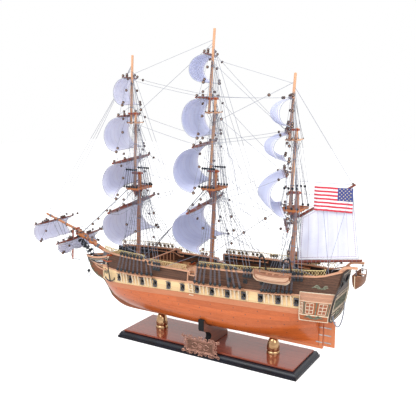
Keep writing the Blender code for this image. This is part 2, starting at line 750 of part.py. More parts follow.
def make_cradle():
    """A crosswise board whose arms follow the hull's bottom."""
    low = BASE_TOP + GAP
    ends = (CRADLE_X - CRADLE_THICKNESS / 2, CRADLE_X, CRADLE_X + CRADLE_THICKNESS / 2)
    notch = KEEL_THICKNESS / 2 + CRADLE_CLEARANCE
    seat = []
    for t in np.linspace(0, 1, 10):
        z = rabbet(CRADLE_X) + (KEEL_Z + CRADLE_TIP_HEIGHT - rabbet(CRADLE_X)) * t**2
        y = max(section(x, z) for x in ends)
        seat.append((y + CRADLE_CLEARANCE, z - CRADLE_CLEARANCE))
    tip = seat[-1][1]
    rise = tip - low
    side = [(CRADLE_FOOT, low), (CRADLE_FOOT, low + rise * 0.10), (CRADLE_FOOT * 0.96, low + rise * 0.15)]
    side += [(CRADLE_FOOT * 0.88, low + rise * 0.18), (CRADLE_WAIST, low + rise * 0.27)]
    side += [(CRADLE_WAIST * 1.04, low + rise * 0.37), (CRADLE_WAIST * 1.2, low + rise * 0.45)]
    side += [(CRADLE_REACH * 0.78, low + rise * 0.54), (CRADLE_REACH * 0.93, low + rise * 0.59)]
    side += [(CRADLE_REACH, low + rise * 0.66), (CRADLE_REACH, tip)]
    side += [point for point in reversed(seat) if notch < point[0] < CRADLE_REACH - 0.001]
    side += [(notch, seat[0][1]), (notch, KEEL_Z - GAP)]
    outline = side + [(-y, z) for y, z in reversed(side)]
    mesh = turned(plate(outline, CRADLE_THICKNESS), ((0, 1, 0), (0, 0, 1), (1, 0, 0)), (CRADLE_X, 0, 0))
    place("hull_cradle", mesh, CRADLE_WOOD)


def make_nameplate():
    """A scrolled cartouche on the plinth's front, with no lettering."""
    w, h = PLATE_WIDTH / 2, PLATE_HEIGHT / 2
    quarter = [(w, 0.0), (w * 0.93, h * 0.34), (w * 0.99, h * 0.72), (w * 0.84, h * 0.92)]
    quarter += [(w * 0.66, h * 0.84), (w * 0.40, h * 0.94), (w * 0.20, h * 0.88)]
    top = quarter + [(0.0, h)] + [(-x, z) for x, z in reversed(quarter)]
    bottom = [(x, -z) for x, z in reversed(top[1:-1])]
    outline = smooth_outline(top + bottom, 2)
    front = -BASE_WIDTH / 2 - GAP - PLATE_THICKNESS / 2
    move = (PLATE_X, front, PLATE_RISE + h)
    mesh = turned(plate(outline, PLATE_THICKNESS), ((1, 0, 0), (0, 0, 1), (0, -1, 0)), move)
    place("nameplate", mesh, PEWTER)


# Masts and spars


def mast_axis(mast, step, z):
    """A point on a mast's axis. Step 0 is the lower mast, 1 the topmast, 2 the topgallant mast."""
    heels = deck_top(MAST_X[mast]), mast_level(TOP_HEIGHT[mast]), mast_level(CROSSTREE_HEIGHT[mast])
    x = MAST_X[mast] - step * DOUBLING_STEP
    for number, rake in enumerate(MAST_RAKE[mast][: step + 1]):
        end = z if number == step else heels[number + 1]
        x += rake * (end - heels[number])
    return Vector((x, 0, z))


def mast_level(z_above_keel):
    return KEEL_Z + z_above_keel


def top_outline():
    """A mast top's plan: square behind, rounded in front."""
    l, w = TOP_LENGTH / 2, TOP_WIDTH / 2
    half = [(l, 0.0), (l, w), (-l * 0.35, w), (-l * 0.80, w * 0.80), (-l, w * 0.45)]
    return half + [(-l, 0.0)] + [(x, -y) for x, y in reversed(half[1:])]


def spar(start, end, radius, tip_share, bevel_resolution=2):
    return tube([start, end], [radius, radius * tip_share], bevel_resolution)


def cap_between(after, before, z):
    """The block that ties a masthead to the next mast up: from one axis to near the other's face."""
    length = after.x - before.x
    return box(((after.x + before.x) / 2, 0, z), (length, CAP_WIDTH, CAP_HEIGHT))


def make_mast(mast):
    foot = deck_top(MAST_X[mast]) + MAST_FOOT_ROOM
    head = mast_level(LOWER_HEAD[mast])
    top_z = mast_level(TOP_HEIGHT[mast])
    lower = spar(mast_axis(mast, 0, foot), mast_axis(mast, 0, head), LOWER_RADIUS, MAST_TAPER, 3)
    top = plate(top_outline(), TOP_THICKNESS)
    centre = mast_axis(mast, 0, top_z).lerp(mast_axis(mast, 1, top_z), TOP_PLACE)
    top.transform(Matrix.Translation(centre))
    before = mast_axis(mast, 1, head - CAP_HEIGHT)
    before.x += TOPMAST_RADIUS + GAP
    cap = cap_between(mast_axis(mast, 0, head), before, head - CAP_HEIGHT)
    place(f"{mast}_lower_mast", combined(lower, [top, cap]), MAST_WOOD)

    heel = top_z + TOP_THICKNESS / 2 + GAP
    topmast_head = mast_level(TOPMAST_HEAD[mast])
    tree_z = mast_level(CROSSTREE_HEIGHT[mast])
    truck = mast_level(TRUCK_HEIGHT[mast])
    topmast = spar(mast_axis(mast, 1, heel), mast_axis(mast, 1, topmast_head), TOPMAST_RADIUS, MAST_TAPER, 3)
    topgallant = spar(mast_axis(mast, 2, tree_z), mast_axis(mast, 2, truck), TOPGALLANT_RADIUS, POLE_TAPER, 3)
    l, w = CROSSTREE_LENGTH / 2, CROSSTREE_WIDTH / 2
    trees = plate([(l, -w), (l, w), (-l, w * 0.75), (-l, -w * 0.75)], CROSSTREE_THICKNESS)
    middle = mast_axis(mast, 1, tree_z).lerp(mast_axis(mast, 2, tree_z), TREE_PLACE)
    trees.transform(Matrix.Translation(middle))
    cap = cap_between(
        mast_axis(mast, 1, topmast_head), mast_axis(mast, 2, topmast_head), topmast_head - CAP_HEIGHT
    )
    place(f"{mast}_upper_mast", combined(topmast, [topgallant, trees, cap]), MAST_WOOD)


def make_bowsprit():
    def axis(x):
        return Vector((x, 0, KEEL_Z + BOWSPRIT_CAP_HEIGHT - BOWSPRIT_SLOPE * (x - BOWSPRIT_CAP_X)))

    def boom_axis(x):
        return Vector((x, 0, jib_boom_height(x)))

    sprit = spar(axis(BOWSPRIT_HEEL_X), axis(BOWSPRIT_CAP_X), BOWSPRIT_RADIUS, 0.9, 3)
    heel, tip = boom_axis(BOWSPRIT_CAP_X + JIB_BOOM_HEEL), boom_axis(JIB_BOOM_TIP_X)
    boom = spar(heel, tip, JIB_BOOM_RADIUS, JIB_BOOM_TAPER, 3)
    cap = box(axis(BOWSPRIT_CAP_X) + Vector((0, 0, JIB_BOOM_LIFT / 2)), BOWSPRIT_CAP_SIZE)
    top = boom_axis(BOWSPRIT_CAP_X - STRIKER_AHEAD)
    foot = top + Vector((-STRIKER_RAKE, 0, -STRIKER_LENGTH))
    striker = spar(top, foot, STRIKER_RADIUS, 0.8)
    place("bowsprit", combined(sprit, [boom, cap, striker]), MAST_WOOD)


def yard_radius(length):
    return max(length * YARD_RADIUS_SHARE, YARD_RADIUS_LEAST)


def yard_directions(brace):
    """The way to a yard's port end, and the way ahead, square to it."""
    turn = math.radians(brace)
    return Vector((math.sin(turn), -math.cos(turn), 0)), Vector((-math.cos(turn), -math.sin(turn), 0))


def yard_mesh(centre, length, brace):
    """A yard, thick in the middle and thin at both arms."""
    along, _ = yard_directions(brace)
    radius = yard_radius(length)
    shares = ((-0.5, YARD_TIP), (-0.2, 1.0), (0.2, 1.0), (0.5, YARD_TIP))
    points = [centre + along * length * at for at, _ in shares]
    return tube(points, [radius * size for _, size in shares])


def mast_face(mast, z, step=None):
    """A mast's axis and radius at a height: of one length of it, or of the foremost one there."""
    deck, truck = deck_top(MAST_X[mast]), mast_level(TRUCK_HEIGHT[mast])
    top, trees = mast_level(TOP_HEIGHT[mast]), mast_level(CROSSTREE_HEIGHT[mast])
    if step is None:
        step = (z >= top) + (z >= trees)
    radius, taper, low, high = (
        (LOWER_RADIUS, MAST_TAPER, deck, mast_level(LOWER_HEAD[mast])),
        (TOPMAST_RADIUS, MAST_TAPER, top, mast_level(TOPMAST_HEAD[mast])),
        (TOPGALLANT_RADIUS, POLE_TAPER, trees, truck),
    )[step]
    return mast_axis(mast, step, z), radius * (1 - (1 - taper) * (z - low) / (high - low))


def square_yard_centre(sail):
    mast = sail.split("_")[0]
    z = mast_level(SQUARE_RIG[sail][0])
    _, length, _, parrel, _ = SQUARE_RIG[sail]
    centre, radius = mast_face(mast, z)
    face = centre.x - radius
    centre.x = face - parrel - yard_radius(length)
    return centre, face


def make_square_yard(sail):
    """A yard with the parrel that holds it to the mast's fore side."""
    _, length, brace, _, _ = SQUARE_RIG[sail]
    centre, face = square_yard_centre(sail)
    radius = yard_radius(length)
    reach = face - GAP - centre.x
    parrel = box((centre.x + reach / 2, 0, centre.z), (reach, radius, radius))
    mesh = combined(yard_mesh(centre, length, brace), [parrel])
    place(f"{sail}_yard", mesh, YARD_WOOD)


def cloth(name, shape, columns, rows, material=None):
    """A thin sheet whose points come from shape(across, down), across from -1 to 1, down from 0 to 1."""
    work = bmesh.new()
    bmesh.ops.create_grid(work, x_segments=columns, y_segments=rows, size=1.0)
    for vert in work.verts:
        vert.co = shape(vert.co.x, (1 - vert.co.y) / 2)
    node = place(name, finish_mesh(work, 60), material or CANVAS)
    skin = node.modifiers.new("cloth", "SOLIDIFY")
    skin.thickness = SAIL_THICKNESS
    skin.offset = 0.0
    return node


def bellied(head, foot, along, ahead, half_head, half_foot, belly, slack, sweep, roach=0.0):
    """A square sail's surface: a C-shaped belly between the head on its yard and the foot."""

    def shape(across, down):
        turn = math.pi * down
        middle = (head + foot) / 2 + (head - foot) / 2 * math.cos(turn)
        width = half_head + (half_foot - half_head) * down
        depth = belly * math.sin(turn) * (1 - slack * across**2)
        aft = sweep * abs(across) ** 3 * down
        point = middle + along * across * width + ahead * (depth - aft)
        point.z += roach * (1 - across**2) * down**2
        return point

    return shape


def make_square_sail(sail):
    _, length, brace, _, cut = SQUARE_RIG[sail]
    foot_height, foot_width, belly, foot_ahead, sweep, roach = cut
    along, ahead = yard_directions(brace)
    centre, _ = square_yard_centre(sail)
    head = centre - Vector((0, 0, yard_radius(length) + GAP + SAIL_THICKNESS / 2))
    foot = centre + ahead * foot_ahead
    foot.z = mast_level(foot_height)
    halves = length * HEAD_SHARE / 2, foot_width / 2
    slack = LEECH_SLACK[sail.split("_")[0]]
    shape = bellied(head, foot, along, ahead, *halves, belly, slack, sweep, roach)
    cloth(f"{sail}_sail", shape, 8, 9)


def make_sprit_sails():
    """The two yards slung under the bowsprit and the jib boom, with a bunched sail on each."""
    under = bowsprit_underside(SPRITSAIL_YARD_X)
    boom_z = jib_boom_height(SPRIT_TOPSAIL_YARD_X)
    heel_x = BOWSPRIT_CAP_X + JIB_BOOM_HEEL
    share = (heel_x - SPRIT_TOPSAIL_YARD_X) / (heel_x - JIB_BOOM_TIP_X)
    boom_radius = JIB_BOOM_RADIUS * (1 - (1 - JIB_BOOM_TAPER) * share)
    boom_under = boom_z - boom_radius * math.hypot(1, JIB_BOOM_SLOPE)
    rows = (
        ("spritsail", SPRITSAIL_YARD_X, under, SPRITSAIL_YARD_LENGTH, SPRITSAIL_BRACE,
         SPRITSAIL_DROP, SPRITSAIL_BELLY, SPRITSAIL_SWAG),
        ("sprit_topsail", SPRIT_TOPSAIL_YARD_X, boom_under, SPRIT_TOPSAIL_YARD_LENGTH, SPRIT_TOPSAIL_BRACE,
         SPRIT_TOPSAIL_DROP, SPRIT_TOPSAIL_BELLY, SPRIT_TOPSAIL_SWAG),
    )
    for name, x, roof, length, brace, drop, belly, sag in rows:
        along, ahead = yard_directions(brace)
        radius = yard_radius(length)
        centre = Vector((x, 0, roof - GAP - radius - SLING_ROOM))
        sling = box((x, 0, centre.z + radius / 2), (*SLING_SIZE, radius + 2 * SLING_ROOM))
        place(f"{name}_yard", combined(yard_mesh(centre, length, brace), [sling]), YARD_WOOD)
        head = centre - Vector((0, 0, radius + GAP + SAIL_THICKNESS / 2))
        foot = head - Vector((0, 0, drop))
        half = length * HEAD_SHARE / 2
        base = bellied(head, foot, along, ahead, half, half * 0.95, belly, LEECH_SLACK["fore"], SPRIT_SWEEP)

        def gathered(across, down, base=base, sag=sag):
            """The bunched cloth hangs in three swags between its lashings."""
            point = base(across, down)
            swag = abs(math.sin(1.5 * math.pi * (across + 1)))
            point.z -= sag * swag * down
            return point

        cloth(f"{name}_sail", gathered, 12, 6)


def jaw(height, end, radius):
    """Where a gaff or boom starts, just clear of the mizzen mast's aft side."""
    start, mast_radius = mast_face("mizzen", mast_level(height), 0)
    slope = (end.z - start.z) / (end - start).length
    start.x += mast_radius + GAP + radius * slope
    return start


def gaff_axis(t):
    peak = Vector((GAFF_PEAK_X, 0, mast_level(GAFF_PEAK_HEIGHT)))
    return jaw(GAFF_HEIGHT, peak, GAFF_RADIUS).lerp(peak, t)


def boom_axis_at(t):
    end = Vector((BOOM_END_X, 0, mast_level(BOOM_END_HEIGHT)))
    return jaw(BOOM_HEIGHT, end, BOOM_RADIUS).lerp(end, t)


def make_spanker():
    place("spanker_gaff", spar(gaff_axis(0), gaff_axis(1), GAFF_RADIUS, GAFF_TAPER), YARD_WOOD)
    place("spanker_boom", spar(boom_axis_at(0), boom_axis_at(1), BOOM_RADIUS, 0.8), YARD_WOOD)

    def shape(across, down):
        along = 0.06 + 0.90 * (across + 1) / 2
        upper, lower = gaff_axis(along), boom_axis_at(along)
        upper.z -= (GAFF_RADIUS + SPANKER_LACING) * 1.2
        lower.z += (BOOM_RADIUS + SPANKER_LACING) * 1.05
        point = upper.lerp(lower, down)
        point.y = SPANKER_BELLY * math.sin(math.pi * down) * math.sin(math.pi * (across + 1) / 2)
        return point

    cloth("spanker_sail", shape, 8, 7)


def make_ensign():
    """A striped flag laid against the gaff's port side, its hoist at the peak."""
    hoist = gaff_axis(0.985)
    side = GAFF_RADIUS * GAFF_TAPER + GAP + SAIL_THICKNESS / 2
    swell = GAFF_RADIUS - GAFF_RADIUS * GAFF_TAPER

    def shape(across, down):
        x = hoist.x - ENSIGN_LENGTH * (1 - across) / 2
        ripple = ENSIGN_RIPPLE * (1 + math.sin(7 * across)) + swell * 1.6
        y = side + ripple * (1 - across) / 2
        return Vector((x, PORT * y, hoist.z - ENSIGN_DROP - ENSIGN_HOIST * down))

    cloth("ensign", shape, 10, 3, FLAG_CLOTH)


# Boats


def boat_mesh(length, beam, depth, thwarts=3):
    """An open boat along X with its rail at z = 0: a thin skin with thwarts across it."""
    work = bmesh.new()
    places = (-0.5, -0.44, -0.28, 0.0, 0.26, 0.42, 0.5)
    fullness = (0.06, 0.42, 0.86, 1.0, 0.94, 0.72, 0.52)
    rings = []
    for at, full in zip(places, fullness):
        sheer = depth * 0.22 * (2 * at) ** 2
        low = -depth + depth * (0.40 if at == -0.5 else 0.08 * abs(2 * at))
        ring = []
        for step in range(-4, 5):
            turn = math.pi / 2 * step / 4
            z = sheer - (sheer - low) * math.cos(turn) ** 0.7
            ring.append(work.verts.new((at * length, full * beam / 2 * math.sin(turn), z)))
        rings.append(ring)
    for before, after in zip(rings, rings[1:]):
        for i in range(8):
            work.faces.new((before[i], before[i + 1], after[i + 1], after[i]))
    work.faces.new(rings[0])
    work.faces.new(rings[-1])
    mesh = finish_mesh(work)
    shape = helper(mesh)
    skin = shape.modifiers.new("planking", "SOLIDIFY")
    skin.thickness = BOAT_SKIN
    skin.offset = 0.0
    hull = baked(shape)
    seats = []
    for number in range(thwarts):
        x = length * 0.52 * ((number + 0.5) / thwarts - 0.5)
        seats.append(box((x, 0, -depth * 0.22), (length * 0.05, beam * 0.955, depth * 0.08)))
    return hull, seats


def falls_for(length, depth, span, fall):
    """The two lines that a boat hangs by, from its bottom boards up to the davit heads."""
    lines = []
    for at in (-span / 2, span / 2):
        inside = -depth * (1 - 0.08 * abs(2 * at / length))
        lines.append(tube([(at, 0, inside), (at, 0, fall)], FALL_RADIUS, 1))
    return lines


def make_quarter_boat():
    y = PORT * (rail_half(QUARTER_BOAT_X) + QUARTER_DAVIT_REACH)
    pivot = Vector((QUARTER_BOAT_X, y, mast_level(QUARTER_DAVIT_HEIGHT) - DAVIT_RADIUS - GAP))
    hull, seats = boat_mesh(QUARTER_BOAT_LENGTH, QUARTER_BOAT_BEAM, QUARTER_BOAT_DEPTH)
    falls = falls_for(QUARTER_BOAT_LENGTH, QUARTER_BOAT_DEPTH, QUARTER_DAVIT_SPAN, QUARTER_FALL)
    mesh = combined(hull, seats + falls)
    mesh.transform(Matrix.Translation(pivot - Vector((0, 0, QUARTER_FALL))))
    place("quarter_boat", mesh, BOAT_PAINT, origin=pivot)


def make_stern_boat():
    pivot = Vector((STERN_DAVIT_X, 0, mast_level(STERN_DAVIT_HEIGHT) - STERN_ARM_RADIUS - GAP))
    hull, seats = boat_mesh(STERN_BOAT_LENGTH, STERN_BOAT_BEAM, STERN_BOAT_DEPTH, 2)
    falls = falls_for(STERN_BOAT_LENGTH, STERN_BOAT_DEPTH, 2 * STERN_DAVIT_Y, STERN_FALL)
    mesh = combined(hull, seats + falls)
    mesh.transform(Matrix.Rotation(math.pi / 2, 4, "Z"))
    mesh.transform(Matrix.Translation(pivot - Vector((0, 0, STERN_FALL))))
    place("stern_boat", mesh, BOAT_WOOD, origin=pivot)


def rail_route():
    """The cap rail's middle line along the starboard side, from the bow to the taffrail."""
    lift = RAIL_RADIUS + GAP
    steps = top_steps()[1:]
    route = []
    for x, top in bulwark_half():
        if x < RAIL_START_X or x == TRANSOM_X:
            continue
        shift = 0.0
        for mark, before, after in steps:
            if abs(x - mark) < 2 * GAP:
                shift = mark + (lift if before > after else -lift) - x
        y = rail_half(x) - BULWARK_THICKNESS / 2
        route.append(Vector((x + shift, y, top + lift)))
    return route


def make_cap_rail():
    """The rail on the bulwark, which runs round the stern, with the boats' davits."""
    route = rail_route()
    stern_z = rail_foot(TRANSOM_X) + RAIL_RADIUS + GAP
    stern_x = transom_front(stern_z) - RAIL_RADIUS - 3 * GAP
    corner = Vector((stern_x, rail_half(TRANSOM_X) - BULWARK_THICKNESS, stern_z + 0.001))
    starboard = route + [corner]
    port = [Vector((p.x, -p.y, p.z)) for p in starboard]
    arms = []
    for side in (PORT, STARBOARD):
        root = Vector((corner.x - 0.004, side * STERN_DAVIT_Y, corner.z))
        crest = Vector((corner.x + 0.010, side * STERN_DAVIT_Y, mast_level(STERN_DAVIT_HEIGHT) - 0.001))
        end = Vector((STERN_DAVIT_X + 0.003, side * STERN_DAVIT_Y, mast_level(STERN_DAVIT_HEIGHT)))
        arms.append(tube([root, crest, end], STERN_ARM_RADIUS))
    for at in (-QUARTER_DAVIT_SPAN / 2, QUARTER_DAVIT_SPAN / 2):
        x = QUARTER_BOAT_X + at
        rail_y = rail_half(x) - BULWARK_THICKNESS / 2
        rail_z = rail_foot(x) + RAIL_RADIUS + GAP
        head_y = rail_half(QUARTER_BOAT_X) + QUARTER_DAVIT_REACH
        head_z = mast_level(QUARTER_DAVIT_HEIGHT)
        bend = [(rail_y, rail_z - 0.001), (rail_y + 0.004, rail_z + 0.020), (rail_y + 0.014, head_z - 0.005)]
        bend += [(head_y - 0.010, head_z), (head_y + 0.002, head_z)]
        arms.append(tube([(x, -y, z) for y, z in bend], DAVIT_RADIUS))
    rail = tube(port + starboard[::-1], RAIL_RADIUS)
    place("cap_rail", combined(rail, arms), RAIL_WOOD)


# Rigging


def shroud_head(mast):
    """The middle of the collar that the shrouds hang from, just under the mast's top."""
    return mast_axis(mast, 0, mast_level(TOP_HEIGHT[mast]) - TOP_THICKNESS / 2 - COLLAR_DROP)


def channel_top(x):
    return strake_head(x) + GAP + CHANNEL_LIFT + CHANNEL_THICKNESS


def shroud_foot(mast, x):
    """How far out and how high a shroud ends, so that it passes outside the cap rail."""
    low, high = channel_top(x) + GAP + ROPE_WIDTH, shroud_head(mast).z
    rail_z = rail_foot(x) + GAP + RAIL_RADIUS
    up = (rail_z - low) / (high - low)
    inner = LOWER_RADIUS + GAP + COLLAR_RADIUS
    outside = rail_half(x) - BULWARK_THICKNESS / 2 + RAIL_RADIUS + ROPE_WIDTH + RAIL_CLEARANCE
    return (outside - inner * up) / (1 - up), low


def shroud_places(mast, count):
    fore, spread = SHROUD_FORE[mast], SHROUD_SPREAD[mast]
    return [fore + spread * i / (count - 1) for i in range(count)]


def channel_mesh(mast, side):
    """The board outside the hull that holds the feet of one side's shrouds."""
    places = shroud_places(mast, 6)
    places = [places[0] - CHANNEL_EDGE] + places[1:-1] + [places[-1] + CHANNEL_EDGE]
    outer = [(x, side * (shroud_foot(mast, x)[0] + CHANNEL_EDGE)) for x in places]
    inner = [(x, side * (half_beam(x) - BULWARK_THICKNESS / 2)) for x in places]
    rings = []
    for (x, far), (_, near) in zip(outer, inner):
        high = channel_top(x)
        low = high - CHANNEL_THICKNESS
        rings.append([(x, far, low), (x, far, high), (x, near, high), (x, near, low)])
    return loft(rings)


def net_strip(mast, side):
    """One side's shrouds as a flat lattice, with its head against the masthead collar."""
    head = shroud_head(mast)
    inner = LOWER_RADIUS + GAP + COLLAR_RADIUS
    work = bmesh.new()
    bmesh.ops.create_grid(work, x_segments=SHROUD_LINES[mast] - 1, y_segments=RATLINE_ROWS, size=1.0)
    for vert in work.verts:
        across, up = (vert.co.x + 1) / 2, (vert.co.y + 1) / 2
        x = SHROUD_FORE[mast] + SHROUD_SPREAD[mast] * across
        y, z = shroud_foot(mast, x)
        top = Vector((head.x + MASTHEAD_SPREAD * (across - 0.35), side * inner, head.z))
        vert.co = Vector((x, side * y, z)).lerp(top, up)
    work.normal_update()
    cells = list(work.faces)
    bmesh.ops.inset_individual(work, faces=cells, thickness=ROPE_WIDTH / 2, use_even_offset=True)
    bmesh.ops.delete(work, geom=cells, context="FACES_ONLY")
    shape = helper(finish_mesh(work))
    skin = shape.modifiers.new("rope", "SOLIDIFY")
    skin.thickness = ROPE_WIDTH
    skin.offset = 0.0
    return baked(shape)


def make_shrouds(mast):
    """Both sides' shrouds, joined by the collar that is looped over the masthead."""
    centre = shroud_head(mast)
    radius = LOWER_RADIUS + GAP + COLLAR_RADIUS
    turns = [math.tau * i / 14 for i in range(14)]
    ring = [centre + Vector((radius * math.cos(a), radius * math.sin(a), 0)) for a in turns]
    collar = tube(ring, COLLAR_RADIUS, 1, closed=True)
    nets = [net_strip(mast, side) for side in (PORT, STARBOARD)]
    place(f"{mast}_shrouds", combined(collar, nets), ROPE)


def smooth_route(points, count):
    """Evenly spaced points on a Catmull-Rom curve through a route's own points."""
    ends = [points[0] * 2 - points[1]] + points + [points[-1] * 2 - points[-2]]
    fine = []
    for i in range(1, len(ends) - 2):
        p0, p1, p2, p3 = ends[i - 1 : i + 3]
        for t in np.linspace(0, 1, 20, endpoint=False):
            bend = p1 * 2 + (p2 - p0) * t + (p0 * 2 - p1 * 5 + p2 * 4 - p3) * t**2
            fine.append((bend + (p1 * 3 - p0 - p2 * 3 + p3) * t**3) / 2)
    fine = np.array(fine + [points[-1]])
    along = np.concatenate([[0.0], np.cumsum(np.linalg.norm(np.diff(fine, axis=0), axis=1))])
    spaced = np.linspace(0, along[-1], count)
    return np.column_stack([np.interp(spaced, along, fine[:, axis]) for axis in range(3)])


def make_rudder_rope():
    """The preventer rope that hangs in a bight behind the rudder from two eyes on the transom."""
    face = TRANSOM_THICKNESS * math.hypot(1, TRANSOM_RAKE) + PREVENTER_RADIUS
    route = []
    for y, height, stand_off in PREVENTER_ROUTE:
        z = KEEL_Z + height
        route.append(np.array((transom_front(z) + face + stand_off, y, z)))
    points = [Vector(point) for point in smooth_route(route, PREVENTER_POINTS)]
    place("rudder_rope", tube(points, PREVENTER_RADIUS, 2), ROPE)


def make_ship():
    make_base()
    make_pedestals()
    make_cradle()
    make_nameplate()
    make_keel_and_stem()
    make_hull_bottom()
    make_gun_strake()
    make_bulwark()
    make_spar_deck()
    make_cap_rail()
    make_transom()
    make_quarter_galleries()
    make_rudder()
    make_rudder_rope()
    make_quarter_boat()
    make_stern_boat()
    for mast in MAST_X:
        make_mast(mast)
        make_shrouds(mast)
    make_bowsprit()
    for sail, rig in SQUARE_RIG.items():
        make_square_yard(sail)
        if rig[-1]:
            make_square_sail(sail)
    make_sprit_sails()
    make_spanker()
    make_ensign()


clear_scene()
SHIP = new_collection("model_sailing_ship")
HELPERS = new_collection("cutters")
PLINTH_PAINT = paint("black_lacquer", (0.012, 0.016, 0.022), 0.25)
PANEL_WOOD = paint("polished_mahogany", (0.25, 0.07, 0.04), 0.12)
CRADLE_WOOD = paint("dark_mahogany", (0.09, 0.03, 0.02), 0.35)
BRASS = paint("turned_brass", (0.80, 0.52, 0.20), 0.22, 1.0)
PEWTER = paint("cast_copper_pewter", (0.38, 0.24, 0.20), 0.45, 1.0)
HULL_WOOD = paint("hull_mahogany", (0.58, 0.19, 0.07), 0.28)
KEEL_WOOD = paint("keel_mahogany", (0.42, 0.09, 0.03), 0.32)
CREAM_PAINT = paint("cream_strake", (0.87, 0.62, 0.35), 0.40)
WALNUT = paint("walnut_topside", (0.10, 0.03, 0.01), 0.40)
RAIL_WOOD = paint("beech_rail", (0.80, 0.43, 0.27), 0.45)
DECK_WOOD = paint("deck_planking", (0.55, 0.30, 0.15), 0.55)
GALLERY_WOOD = paint("gallery_mahogany", (0.55, 0.20, 0.10), 0.40)
MAST_WOOD = paint("mast_beech", (0.63, 0.25, 0.10), 0.40)
YARD_WOOD = paint("yard_rosewood", (0.19, 0.03, 0.01), 0.40)
CANVAS = paint("sail_cotton", (0.80, 0.82, 0.95), 0.85)
FLAG_CLOTH = paint("flag_cotton", (0.80, 0.20, 0.20), 0.80)
BOAT_PAINT = paint("boat_cream", (0.85, 0.60, 0.35), 0.45)
BOAT_WOOD = paint("boat_mahogany", (0.25, 0.08, 0.03), 0.40)
ROPE = paint("gray_rope", (0.22, 0.25, 0.31), 0.80)
make_ship()
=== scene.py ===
"""The model sailing ship's looks: dressed hull, boats, spars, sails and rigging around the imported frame."""

import math

import bmesh
import bpy
import numpy as np
from mathutils import Matrix, Vector


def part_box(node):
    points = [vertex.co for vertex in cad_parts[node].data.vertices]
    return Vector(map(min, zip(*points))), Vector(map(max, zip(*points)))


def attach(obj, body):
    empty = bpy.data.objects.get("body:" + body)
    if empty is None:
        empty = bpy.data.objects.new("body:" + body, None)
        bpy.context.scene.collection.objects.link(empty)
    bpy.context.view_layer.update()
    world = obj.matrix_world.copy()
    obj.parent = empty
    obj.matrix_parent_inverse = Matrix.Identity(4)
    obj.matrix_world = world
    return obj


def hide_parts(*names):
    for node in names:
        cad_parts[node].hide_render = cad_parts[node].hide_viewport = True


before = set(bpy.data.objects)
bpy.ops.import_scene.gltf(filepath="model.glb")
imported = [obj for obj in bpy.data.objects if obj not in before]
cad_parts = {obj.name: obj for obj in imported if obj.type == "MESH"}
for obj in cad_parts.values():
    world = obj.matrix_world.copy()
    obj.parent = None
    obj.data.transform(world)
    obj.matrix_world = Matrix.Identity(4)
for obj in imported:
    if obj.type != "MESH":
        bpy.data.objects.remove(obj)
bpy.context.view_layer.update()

# The frame's own sizes, in metres: bow at -X, port at -Y, heights above the keel's underside
GAP = 0.0003
PORT, STARBOARD = -1, 1
BASE_LENGTH, BASE_WIDTH, BASE_TOP = 0.509, 0.156, 0.020
KEEL_Z = 0.058
BOW_X, MIDSHIP_X, POST_AFT_X, POST_WIDTH = -0.357, -0.025, 0.288, 0.009
STEM_FACE_X, BOW_TURN_X, COUNTER_TURN_X = BOW_X + 0.0005, BOW_X + 0.004, POST_AFT_X + 0.010
HALF_BEAM, BEAM_HEIGHT = 0.076, 0.105
KEEL_THICKNESS, KEEL_DEPTH = 0.009, 0.007
FOREFOOT_X, FOREFOOT_RUN, FOREFOOT_RISE = BOW_X + 0.164, 0.152, 0.075
KNEE_ROOT = 0.100
KNEE_OUTLINE = (
    (0.052, 0.114), (0.058, 0.131), (0.066, 0.131), (0.0565, 0.113), (0.048, 0.094), (0.030, 0.078),
    (0.0055, 0.068), (-0.006, 0.055), (-0.0145, 0.042), (-0.026, 0.0245), (-0.043, 0.013), (-0.058, 0.006),
    (-0.077, 0.0015), (-0.100, 0.0),
)
COUNTER_SHARE, COUNTER_RISE = 0.65, 0.010
PORT_COUNT, PORT_FORE_X, PORT_PITCH, PORT_SIZE, PORT_DEPTH = 13, -0.256, 0.0415, 0.0095, 0.004
BULWARK_THICKNESS, DECK_THICKNESS = 0.003, 0.007
RAIL_RADIUS, RAIL_START_X, WAIST_FORE_X = 0.0024, BOW_X + 0.025, -0.158
RAIL_FORE, RAIL_WAIST, RAIL_AFT, RAIL_AFT_SHEER, RAIL_SWEEP = 0.160, 0.153, 0.1665, 0.040, 0.013
GANGWAY_X, GANGWAY_WIDTH, GANGWAY_SILL = -0.022, 0.022, 0.0085
TRANSOM_X, TRANSOM_RAKE, TRANSOM_FOOT, TRANSOM_HEAD, TRANSOM_THICKNESS = 0.3125, 0.20, 0.080, 0.194, 0.003
GALLERY_FORE_X, GALLERY_BULGE, GALLERY_FOOT, GALLERY_HEAD = 0.250, 0.008, 0.080, 0.147
RUDDER_CHORD, RUDDER_THICKNESS, RUDDER_FOOT = 0.025, 0.005, 0.007

MAST_X = {"fore": -0.241, "main": -0.013, "mizzen": 0.202}
MAST_RAKE = {"fore": (0.046, 0.046, 0.056), "main": (0.054, 0.080, 0.077), "mizzen": (0.062, 0.066, 0.072)}
TOP_HEIGHT = {"fore": 0.338, "main": 0.354, "mizzen": 0.322}
LOWER_HEAD = {"fore": 0.380, "main": 0.399, "mizzen": 0.363}
CROSSTREE_HEIGHT = {"fore": 0.507, "main": 0.536, "mizzen": 0.478}
TOPMAST_HEAD = {"fore": 0.535, "main": 0.573, "mizzen": 0.505}
TRUCK_HEIGHT = {"fore": 0.679, "main": 0.732, "mizzen": 0.626}
LOWER_RADIUS, TOPMAST_RADIUS, TOPGALLANT_RADIUS = 0.0055, 0.0040, 0.0034
MAST_TAPER, POLE_TAPER, DOUBLING_STEP = 0.85, 0.9, 0.0155
TOP_LENGTH, TOP_WIDTH, TOP_THICKNESS, TOP_PLACE = 0.048, 0.066, 0.005, 0.35
TREE_LENGTH, TREE_WIDTH, TREE_THICKNESS, TREE_PLACE = 0.034, 0.042, 0.003, 0.45
